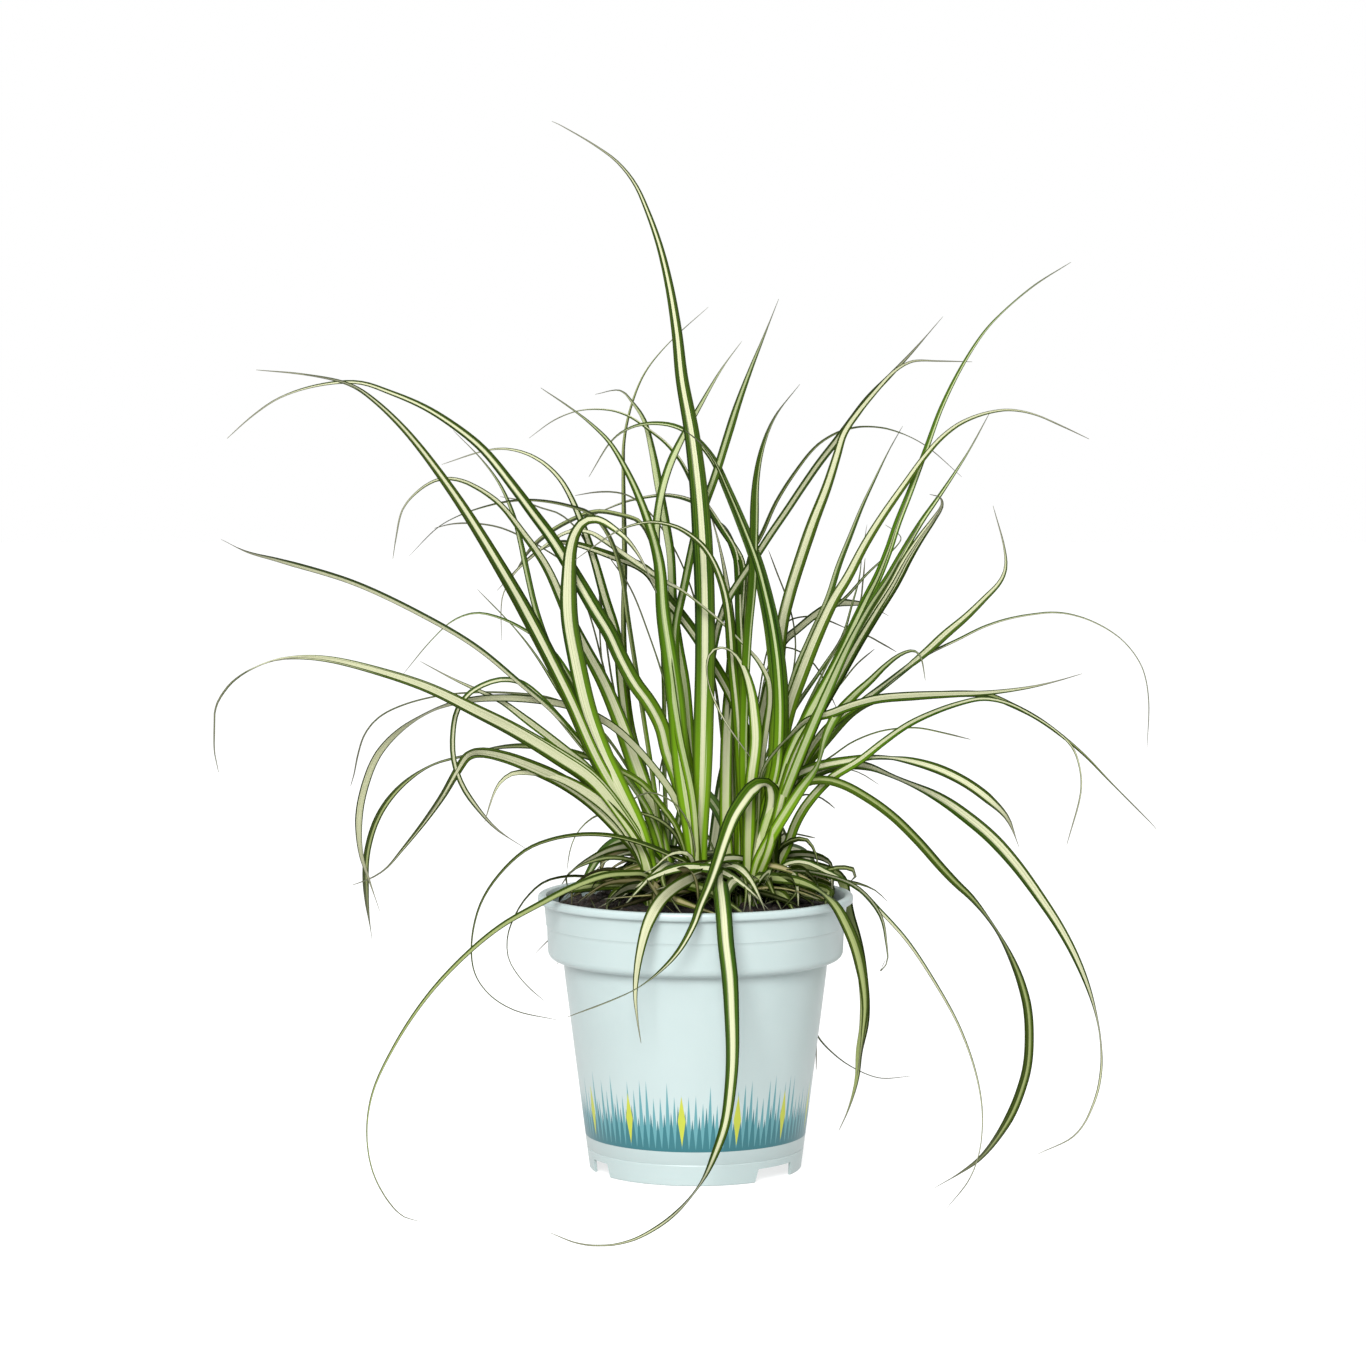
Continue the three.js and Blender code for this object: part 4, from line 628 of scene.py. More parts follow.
def crumb(detail, squash):
    """One crumb: a small ball, flattened and knocked about."""
    deselect_all()
    bpy.ops.mesh.primitive_ico_sphere_add(subdivisions=detail, radius=1.0, location=(0, 0, 0))
    thing = bpy.context.object
    bpy.ops.object.mode_set(mode="EDIT")
    bpy.ops.mesh.select_all(action="SELECT")
    bpy.ops.transform.resize(value=(1, 0.8, squash))
    bpy.ops.transform.vertex_random(offset=0.28, uniform=0.6, seed=detail + 3)
    bpy.ops.object.mode_set(mode="OBJECT")
    return thing


def strew_places(count, least, most):
    """Seeded places over the compost, even over its area, as (x, y, z, size, turn, tip)."""
    places = []
    for _ in range(count):
        radius = STREW_REACH * math.sqrt(rng.random())
        angle = rng.random() * 2 * math.pi
        x, y = radius * math.cos(angle), radius * math.sin(angle)
        size = mix(least, most, rng.random() ** 2)
        height = soil_height(x, y) + SUNK * size
        places.append((x, y, height, size, rng.random() * STREW_TURN, rng.random() * STREW_TIP))
    return places


def strewn(template, places, name):
    """Copies of a small piece at their places, each with its own vertices, as one mesh."""
    shape = np.array([v.co for v in template.data.vertices])
    faces = np.array([list(p.vertices) for p in template.data.polygons])
    points = []
    for x, y, z, size, turn, tip in places:
        cos_turn, sin_turn = math.cos(turn), math.sin(turn)
        cos_tip, sin_tip = math.cos(tip), math.sin(tip)
        spin = np.array([[cos_turn, -sin_turn, 0], [sin_turn, cos_turn, 0], [0, 0, 1]])
        lean = np.array([[1, 0, 0], [0, cos_tip, -sin_tip], [0, sin_tip, cos_tip]])
        points.append(shape @ (spin @ lean).T * size * MM + np.array([x, y, z]) * MM)
    all_faces = np.concatenate([faces + len(shape) * k for k in range(len(places))])
    mesh = bpy.data.meshes.new(name)
    mesh.from_pydata(np.concatenate(points).tolist(), [], all_faces.tolist())
    thing = bpy.data.objects.new(name, mesh)
    bpy.context.scene.collection.objects.link(thing)
    bpy.data.objects.remove(template, do_unlink=True)
    print(f"{name}: {len(places)} strewn")
    return thing


crumbs = strewn(crumb(detail=1, squash=0.75), strew_places(*CRUMBS), "crumbs")
clods = strewn(crumb(detail=2, squash=0.6), strew_places(*CLODS), "clods")
soil = join_pieces([soil, crumbs, clods], "compost")

# %% Compost: finish
PEAT_DARK = paint(24, 17, 13)
PEAT_LIGHT = paint(66, 48, 36)
BARK_CHIP = paint(96, 70, 48)
COARSE = {"scale": 420, "detail": 5, "roughness": 0.7}
FINE = {"scale": 1900, "detail": 3, "roughness": 0.6}
CHIPS = {"scale": 230, "detail": 2}


def soil_finish():
    finish = Finish("peat_compost")
    place = finish.place()
    coarse = finish.noise(place, **COARSE)
    fine = finish.noise(place, **FINE)
    peat = finish.blend(finish.ramp(coarse, 0.35, 0.7), PEAT_DARK, PEAT_LIGHT)
    chips = finish.ramp(finish.noise(place, **CHIPS), 0.63, 0.7)
    speckled = finish.blend(finish.math("MULTIPLY", chips, 0.5), peat, BARK_CHIP)
    finish.look(Base_Color=speckled, Roughness=0.93)
    finish.bump(finish.math("ADD", coarse, fine), strength=0.7, distance=0.0012)
    return finish.material


finish_piece(soil, "compost", soil_finish(), smooth_degrees=50)
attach(soil, "root")
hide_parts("soil")

# %% [markdown]
# ## Where every leaf goes
# A sedge's leaves each take their own line, so their routes are listed one by one, tuft by tuft, as they look
# from the station. A route point is (across, up, depth) in mm: across and up on the upright plane through
# the pot's axis, and depth how far behind that plane the leaf passes, along the sight line. Each row starts
# with the leaf's look, its breadth as seen, and its lean, which is how much further back its tip lies. Some
# rows end with the share of the length where the taper starts, and then those where the blade twists.

# %% A list of tufts
TUFTS = {}


def list_tuft(name, crown, *leaves):
    """A tuft's crown, as (x, y) in mm, and its rows are kept under its name."""
    TUFTS[name] = {"crown": crown, "leaves": leaves}
    print(f"{name} tuft: {len(leaves)} leaves")


print("the list of tufts is ready")

# %% [markdown]
# ### The left tuft
# It grows in front on the left. Its longest leaves arch out to the side and let their tips fall, pale broad
# ones lie low over the rim, and one hangs down past the pot to the ground.

# %% Leaves of the left tuft
list_tuft(
    "left", (-15, -9),
    ("even", 7.2, -20, [(-22, 137, -9), (-31, 157, -11), (-38, 172, -12), (-44, 189, -13),
        (-49, 211, -14), (-51.8, 228, -14), (-51.9, 245, -14), (-51, 256.1, -15), (-48.9, 262.8, -16),
        (-45.3, 267, -17), (-39.9, 267.6, -18), (-33.6, 264, -19), (-27.1, 258.3, -20),
        (-21.9, 250.6, -21), (-15.9, 237.5, -22)], 0.62),
    ("wide", 6.4, -62, [(-22, 135, -6), (-30, 150, -6), (-41, 170, -8), (-52, 195, -10),
        (-67, 224.9, -12), (-79.1, 246.4, -14), (-99, 278.2, -16), (-119.1, 304.5, -18),
        (-135.1, 319.2, -20), (-144, 323.7, -20), (-160, 326.9, -20), (-179.5, 328.7, -20)]),
    ("even", 2, -66, [(-24, 140, -4), (-38, 163, -5), (-49.9, 178.3, -7), (-58.4, 188.5, -9),
        (-72.1, 200.4, -10), (-89.9, 215.2, -10), (-109.7, 227.1, -10), (-139.8, 241.5, -10),
        (-169.8, 250.6, -10), (-183.7, 254.3, -10), (-194.5, 259.5, -10)], 0.85),
    ("cream", 7, -12, [(-22, 131, -9), (-31.3, 146.5, -12), (-42.9, 160.6, -16), (-56.8, 170.3, -20),
        (-74.4, 180.9, -25), (-89.8, 188.8, -29), (-109.8, 198.5, -33), (-129.8, 205.2, -36),
        (-149.9, 210.1, -38), (-163, 211, -39), (-174.9, 209.3, -40), (-190.1, 201.1, -41),
        (-197.9, 189.1, -42), (-198.8, 178, -43), (-196.3, 163.6, -44)], 0.3, 0.8),
    ("cream", 6, 20, [(-22, 128, -7), (-34, 143, -9), (-44, 152.5, -11), (-55, 160, -14),
        (-66.1, 165.3, -17), (-78, 169.8, -19), (-88, 171.8, -20), (-93.5, 170.6, -21),
        (-97.9, 164.4, -22), (-104, 154, -23), (-111.8, 143, -24), (-121, 131.5, -25),
        (-127.7, 123.7, -26), (-134.2, 119.6, -27), (-141.6, 116.9, -28)], 0.42),
    ("cream", 5, -10, [(-21, 127, -11), (-29, 141, -14), (-37.7, 150.2, -18), (-48.2, 157.6, -22),
        (-58.8, 162.3, -26), (-70, 163.7, -29), (-76, 162.9, -30), (-80.4, 159.5, -31), (-83, 155, -32),
        (-86.9, 143, -33)], 0.5),
    ("even", 3.2, 12, [(-25, 141, -3), (-44, 165, -2), (-53.6, 173, -3), (-61.8, 179.4, -4),
        (-70.4, 185.9, -5), (-80.2, 193.1, -6), (-90.1, 197.7, -7), (-100.1, 202.4, -8),
        (-113.1, 209.4, -9)], 0.65),
    ("even", 2.1, 0, [(-24, 140, -7), (-40, 166, -9), (-48.8, 178, -10), (-58.2, 188.8, -11),
        (-65.1, 195.9, -12), (-71.9, 200.8, -13), (-79.1, 201.9, -14), (-86.3, 200.1, -15),
        (-93.3, 195.9, -16), (-98, 189, -17), (-99.8, 179, -18), (-99.3, 168, -19), (-95.9, 158.1, -20),
        (-89.9, 149, -20), (-81.9, 140.1, -21), (-69.6, 131.8, -22)], 0.85),
    ("green", 3, 45, [(-26, 146, -2), (-39, 168, -3), (-50, 186.8, -4), (-57.3, 198.7, -5),
        (-65.4, 211.6, -6), (-74.2, 223, -8), (-89.5, 239, -10)], 0.25),
    ("green", 2.2, 30, [(-25, 145, 2), (-36, 170, 4), (-45, 190, 5), (-52, 204, 5), (-60, 215, 4),
        (-70.2, 222.4, 2), (-80, 227.2, 0), (-90, 229.3, -1), (-99.3, 226.3, -2), (-108.8, 217.7, -2),
        (-119.9, 204.4, -3)]),
    ("dark", 3.2, 0, [(-20, 121, -16), (-28, 121.8, -24), (-38, 120.8, -31), (-52, 115.5, -37),
        (-64.4, 109, -42), (-80.7, 99.6, -50), (-96, 86.8, -58), (-110.8, 70.7, -68), (-124.4, 50.3, -80),
        (-134, 29.4, -92), (-136.1, 10.6, -102), (-132.4, -6.4, -110), (-122.2, -20.9, -116),
        (-114.3, -23.6, -118)], 0.05),
    ("old", 3.2, 0, [(-21, 118, -20), (-29.7, 118.6, -23), (-37, 117.4, -26), (-43, 114, -30),
        (-48.7, 109.6, -33)]),
)

# %% [markdown]
# ### The tuft behind it
# Its leaves stand up first and nod to the left near their tips. A few short ones spill over the rim, and
# the last three lean away behind the pot.

# %% Leaves of the left rear tuft
list_tuft(
    "left_rear", (-9, 16),
    ("wide", 8, 10, [(-14, 133, 16), (-19.8, 152.4, 17), (-25.8, 169.6, 18), (-31.8, 186.3, 19),
        (-38, 201, 19), (-45.5, 215, 18), (-52.1, 227.9, 17), (-61.4, 248.5, 15), (-70.6, 261.9, 13),
        (-80.3, 274.1, 10), (-90.1, 281, 8), (-98, 284.1, 6), (-106.3, 283.7, 4), (-114.5, 278.5, 2),
        (-120.1, 271.6, 1), (-122.6, 261, 0), (-124.1, 251.5, 0)], 0.18),
    ("even", 3.9, 62, [(-15, 138, 20), (-24, 160, 22), (-28, 180, 24), (-30.5, 200, 25), (-32.5, 220, 25),
        (-37.3, 235.9, 24), (-41.8, 251.9, 22), (-46.5, 265.8, 20), (-51.6, 277.7, 17),
        (-55.7, 284.4, 15), (-62, 290.6, 12), (-70, 294.9, 9), (-79, 296.6, 6), (-87.9, 295.3, 3),
        (-103.9, 290.1, 0)], 0.55),
    ("dark", 2.1, 78, [(-14, 140, 24), (-20.5, 163.6, 27), (-25.6, 180.5, 29), (-28.5, 203, 30),
        (-29.5, 225.9, 30), (-29, 247, 29), (-29.3, 270, 27), (-29.5, 285, 25), (-29.2, 300.1, 22),
        (-25.8, 315.6, 19), (-20.3, 328.2, 16), (-10.3, 340.3, 12), (5.2, 354.3, 8)], 0.55),
    ("green", 2.4, 52, [(-18, 145, 12), (-38, 175, 10), (-52, 200, 8), (-60, 215, 6), (-65.5, 230.4, 4),
        (-69.4, 247.1, 2), (-71.8, 258.5, 0), (-74.8, 269.8, -2), (-79.9, 281.6, -4), (-87.4, 292, -6),
        (-99.3, 304.2, -8)], 0.7),
    ("dark", 1.8, 62, [(-16, 150, 14), (-22, 190, 12), (-27.4, 224.8, 10), (-30.9, 247.7, 8),
        (-36.1, 261.9, 6), (-42.8, 269.9, 4), (-51.6, 273.1, 2), (-60, 274.9, 0), (-69, 275.6, -2),
        (-78, 274.8, -3), (-88, 272.4, -4), (-96.9, 269.2, -5), (-105.8, 264.2, -5),
        (-117.3, 252.8, -5)], 0.55),
    ("dark", 1.7, 60, [(-12.8, 160, 25), (-13.1, 200, 30), (-15, 240, 30), (-18, 258, 28),
        (-22.9, 266.6, 26), (-30.8, 269.5, 24), (-40.8, 270.9, 21), (-50.3, 267.7, 18), (-60, 262.2, 15),
        (-67.8, 255.3, 12), (-77, 241, 9)], 0.9),
    ("dark", 1.8, 0, [(-22, 122, 14), (-34, 120, 12), (-45.1, 120.5, 10), (-53, 120.6, 9),
        (-62.4, 118.2, 8), (-69.5, 112, 6), (-74, 105.2, 4), (-77.5, 96, 1), (-77.3, 86.9, -2),
        (-73.7, 80, -5), (-68.5, 74, -7), (-62.3, 68.6, -9)], 0.05),
    ("even", 4.4, 0, [(-16, 127, 9), (-24.3, 133, 11), (-33.3, 132.3, 13), (-43.8, 127.6, 16),
        (-51.3, 122.3, 20), (-55.8, 116.3, 24)]),
    ("even", 2.4, 0, [(-17, 129, 14), (-23.3, 130.6, 17), (-31, 129.4, 20), (-37.7, 126.4, 22),
        (-42.5, 121, 24)]),
    ("old", 2.2, 0, [(-20, 124, 40), (-30, 118, 58), (-48, 109, 72), (-57, 98, 77), (-66, 88.7, 78)]),
    ("even", 5.4, 0, [(-12, 133, 32), (-13, 143, 50), (-16, 146, 72), (-20, 139, 92), (-25, 124, 107),
        (-31, 100, 118), (-35, 72, 124), (-37, 44, 124)]),
    ("green", 4.6, 0, [(-16, 131, 22), (-28, 136, 45), (-38, 131, 65), (-46, 118, 82), (-52, 100, 95),
        (-57, 84, 106)]),
)

# %% [markdown]
# ### The middle tuft
# Here rises the tallest leaf of the plant. Others sweep over in wide arcs to the left, and one pale leaf
# hangs in front of the pot's collar.

# %% Leaves of the middle tuft
list_tuft(
    "middle", (2, 3),
    ("wide", 8.4, -30, [(1.6, 135, 0), (2.6, 158, -1), (3.3, 185, -2), (3.9, 213, -3), (3.4, 245.7, -4),
        (1.4, 277.7, -5), (-1.6, 303, -5), (-5.6, 324.9, -5), (-7.8, 344.9, -5), (-10.8, 363, -4),
        (-14.7, 379.1, -3), (-19.6, 393, -2), (-24.7, 404.2, -1), (-31.9, 413.1, 0), (-41.8, 420.3, 1),
        (-58.5, 429.9, 2)]),
    ("green", 7.6, -64, [(-2, 140, -3), (-5.8, 166.6, -5), (-8, 192, -7), (-10.3, 209, -8),
        (-13.3, 229, -9), (-14.7, 248.1, -10), (-17.4, 260.1, -10), (-22.4, 274.9, -10),
        (-28.3, 287.8, -9), (-35.2, 299.2, -8), (-43.2, 307.1, -6), (-51.8, 313.7, -4),
        (-63.3, 321.4, -2)], 0.38),
    ("wide", 6.4, -54, [(-3.5, 145, 2), (-7.5, 160.7, 3), (-11.3, 171.9, 3), (-14, 182.8, 3),
        (-18.9, 192.1, 2), (-24.9, 200.3, 1.5), (-30.5, 210.5, 1), (-35.4, 221.2, 0), (-41.3, 230.8, -1),
        (-47, 240.6, -1), (-59.2, 260.4, -3), (-66.5, 270.2, -5), (-74, 280.3, -7), (-86.1, 295.4, -9),
        (-95.1, 303.3, -10), (-110.2, 313.2, -12), (-125, 319.6, -13), (-138, 323.7, -14),
        (-155.1, 322.3, -14), (-170.2, 317.3, -14), (-181.3, 309.9, -14), (-191.7, 300.7, -14)], 0.38),
    ("even", 3, 0, [(-3.4, 140, -2), (-6.8, 149.1, -1), (-10.2, 155.8, 0), (-17.3, 165.5, 1),
        (-25.6, 175, 2), (-32, 181, 1), (-38.6, 185.5, 0), (-47, 189.6, -1), (-60.1, 192.7, -3),
        (-75, 194.2, -5), (-90, 193.8, -8), (-103, 191.1, -11), (-112.8, 186.7, -14),
        (-122.8, 179.8, -18), (-130.7, 170.8, -22), (-135.8, 158.8, -26), (-138.6, 145, -29),
        (-137.9, 129.9, -31), (-134.5, 118.8, -33), (-130.2, 105.9, -35)], 0.85, 0.64),
    ("dark", 2.5, 12, [(-4.6, 132.5, -2), (-8.8, 142.8, -2), (-13.1, 148.6, -2), (-21.6, 158.8, -1),
        (-31.3, 164.6, -1), (-40, 168.5, -2), (-54.5, 172.8, -4), (-70, 174.5, -6), (-81.9, 173.7, -8),
        (-93.8, 170.7, -10), (-108.8, 166.4, -12), (-121.9, 157.2, -14), (-130.6, 145.4, -15),
        (-135.4, 129.9, -16), (-135.7, 112.1, -17), (-133.5, 94.1, -17)], 0.9, 0.56, 0.64),
    ("dark", 2.2, 0, [(-5, 131, 4), (-10, 140, 5), (-17.5, 145.2, 6), (-26, 147.3, 7), (-33, 147.6, 8),
        (-40.9, 145.6, 8), (-45.7, 142.2, 8), (-49.6, 137.1, 7), (-51.9, 130.5, 6),
        (-52.9, 123.5, 5)], 0.25),
    ("dark", 2.2, 0, [(-3, 126, -8), (-10.8, 129.6, -13), (-21.5, 134, -18), (-34.3, 137.4, -20),
        (-47.2, 137.9, -21), (-60, 135.7, -22), (-70.4, 131.2, -23), (-82.1, 119.9, -25),
        (-89.2, 107.9, -28), (-92.5, 92, -31), (-91.1, 80, -34), (-84.9, 71.1, -37), (-74.7, 64.8, -40),
        (-57.7, 60.9, -44)], 0.15),
    ("green", 3.3, 66, [(0, 150, 4), (-4, 175, 2), (-7.5, 200, -1), (-8.3, 222, -4), (-4.7, 240.3, -9),
        (0.9, 265.4, -13), (8, 285.6, -13), (12.2, 299, -13), (17, 314.1, -12), (22.2, 328.3, -10),
        (27.4, 341.2, -8), (33.9, 357.6, -6)], 0.75),
    ("green", 3.2, 44, [(-1, 150, -6), (-7, 180, -9), (-11, 208, -12), (-13.9, 232, -14),
        (-15.6, 250, -15), (-16.2, 262, -15), (-14.4, 276.6, -15), (-10.8, 289.5, -14), (-5.5, 301, -13),
        (1.4, 313.4, -12), (10.4, 328.8, -10), (18.8, 340.3, -8)], 0.75),
    ("even", 3, 72, [(2.5, 150, 6), (4.5, 180, 9), (6, 205, 10), (9.5, 224, 9), (13.5, 235, 8),
        (18.3, 242.7, 8), (24.1, 251.3, 9), (30.5, 261.2, 10), (37.2, 271, 10), (43.8, 280.9, 9.5),
        (50.6, 290.7, 9), (57.9, 300.1, 8), (63.5, 307.6, 7), (71.2, 317.8, 6), (80, 326.9, 4),
        (89.9, 337.6, 2), (101, 350.5, 0)], 0.8),
    ("green", 3.4, 62, [(-0.5, 145, 6), (-2, 175, 9), (-4, 200, 11), (-7, 217, 12), (-9.2, 233, 12),
        (-10.2, 253, 12), (-12.6, 267.9, 11), (-15, 280.8, 10), (-17.7, 295.3, 9), (-21, 308, 8),
        (-25.8, 315.4, 7), (-30.9, 320.4, 5), (-41.1, 318.7, 3)], 0.75),
    ("cream", 2.2, 0, [(-3, 129.5, -8), (-9.5, 129.9, -13), (-13.7, 127.2, -17), (-17.5, 123.7, -20),
        (-21.7, 121.9, -22)]),
    ("cream", 5, 0, [(4, 121.5, -16), (-1.3, 120, -28), (-9.5, 115.3, -44), (-15.7, 108.8, -58),
        (-20.2, 99.7, -66.5), (-22.8, 89.8, -70), (-24.4, 80, -70.5), (-24.9, 70, -70), (-23.9, 60, -69),
        (-22.5, 51, -68)], 0.6),
    ("cream", 3.6, 0, [(3, 120, -20), (-3, 118.6, -28), (-9, 117, -34), (-15, 115.4, -38),
        (-21, 113, -42)]),
    ("old", 2.4, 0, [(2, 115.5, -26), (-8, 113.8, -34), (-18, 112.8, -38), (-28, 112, -41),
        (-37.7, 111.1, -43)]),
)

# %% [markdown]
# ### The rear tuft
# Slender upright leaves fill the plant's heart. At the back three broad ones arch over the rim and hang
# down behind the pot.

# %% Leaves of the rear tuft
list_tuft(
    "rear", (17, 20),
    ("even", 4.6, 44, [(20, 140, 18), (22.5, 160, 17), (21.5, 175, 16), (17.5, 189, 14), (12, 200.5, 12),
        (6, 210.5, 10), (0.5, 219.5, 8), (-6.5, 229, 6), (-13, 236.6, 6), (-18.4, 245.1, 8),
        (-23.9, 249, 9), (-32, 251.9, 10), (-42.1, 255.5, 11), (-50, 257.8, 13), (-58, 257.9, 19),
        (-65.7, 254, 22), (-72.5, 248, 23), (-81.4, 238.5, 24)], 0.6),
    ("even", 2.8, 72, [(17, 140, 18), (18, 165, 17), (18.3, 190, 16), (18.5, 208, 16), (17.6, 228, 16),
        (17.2, 243.2, 15), (15.8, 255.1, 14), (11.1, 263.3, 13), (5.4, 272.2, 12), (-0.7, 281.1, 11),
        (-5.7, 290.8, 10), (-12, 298.6, 9), (-19.3, 304.4, 8), (-26.1, 309.2, 6), (-33, 311.9, 5),
        (-41, 312.7, 4), (-49, 311.8, 3), (-58.1, 308.1, 2), (-68.1, 300.9, 1)]),
    ("even", 2.7, 62, [(15, 140, 18), (14.5, 170, 20), (16, 205, 22), (18.9, 235, 21), (19, 249.9, 20),
        (15.8, 256.2, 19), (11.6, 262.2, 19), (4.8, 271.5, 18), (-1.1, 275, 18), (-7, 276.9, 18),
        (-13, 277.6, 18), (-20, 276.8, 18), (-28, 275.1, 18), (-35.9, 272.1, 17), (-42.8, 268.8, 16),
        (-54.3, 261.8, 14)], 0.6),
    ("dark", 2, 78, [(18, 140, 22), (18.5, 180, 24), (19.5, 215, 24), (20.5, 240, 22), (22.5, 253, 20),
        (27, 261.2, 18), (32.8, 274.3, 17), (40.9, 287.2, 16), (49.2, 297.5, 15), (57, 302.7, 14),
        (64, 305, 13), (70, 305.6, 12), (78, 304.8, 11), (86.1, 302.1, 10), (95.1, 297.1, 9),
        (109, 285, 8)]),
    ("even", 5, 70, [(12.5, 140, 14), (12.4, 160, 14), (13, 182, 14), (14.5, 205, 13), (15, 222, 12),
        (13, 240, 12), (10, 256, 12), (5, 274, 12)]),
    ("green", 2.9, 76, [(19.5, 160, 12), (20, 180, 12), (20.5, 200, 12), (20, 225, 12), (18.3, 245.1, 12),
        (13.2, 261.1, 12), (4.9, 269.9, 12)], 0.9),
    ("even", 3.2, 72, [(19, 140, 24), (24, 170, 25), (30, 200, 24), (35.6, 216.7, 22), (42.1, 222.7, 20),
        (49.9, 229.1, 17), (56.9, 233, 14), (64, 233.3, 12), (71.1, 232.4, 10), (79.2, 228.1, 8)], 0.8),
    ("green", 1.8, 70, [(24, 150, 28), (38, 185, 28), (51, 205, 26), (60, 219, 24), (64, 232, 22),
        (67, 243, 20), (68.2, 252.8, 19), (70.2, 265.5, 18)]),
    ("dark", 1.8, 0, [(22, 124, 48), (30, 118, 66), (36, 105, 78), (42, 80, 83), (47, 62, 83),
        (51.1, 53.1, 82), (56.1, 47.6, 82), (62.2, 42.7, 82), (70.2, 38.4, 81), (77, 36.4, 80),
        (89.5, 37.4, 78)], 0.4),
    ("even", 6.6, 0, [(17, 138, 36), (18, 158, 54), (18, 172, 78), (15, 172, 104), (11, 156, 126),
        (7, 130, 142), (3, 98, 152), (-1, 64, 157), (-5, 46, 159), (-12, 34, 157), (-26, 31, 150)]),
    ("cream", 5.2, 0, [(20, 136, 34), (28, 143, 60), (34, 140, 82), (39, 128, 98), (43, 108, 112),
        (45, 76, 128)]),
    ("green", 4.8, 0, [(14, 136, 38), (8, 150, 58), (1, 156, 80), (-5, 150, 100), (-9, 132, 116),
        (-11, 108, 126), (-11, 84, 131)]),
)

# %% [markdown]
# ### The right tuft
# It grows in front on the right, with the deepest green leaves and a long one that reaches high to the
# right. Two broad leaves fold over in front of the pot, and one of them hangs almost to the ground.

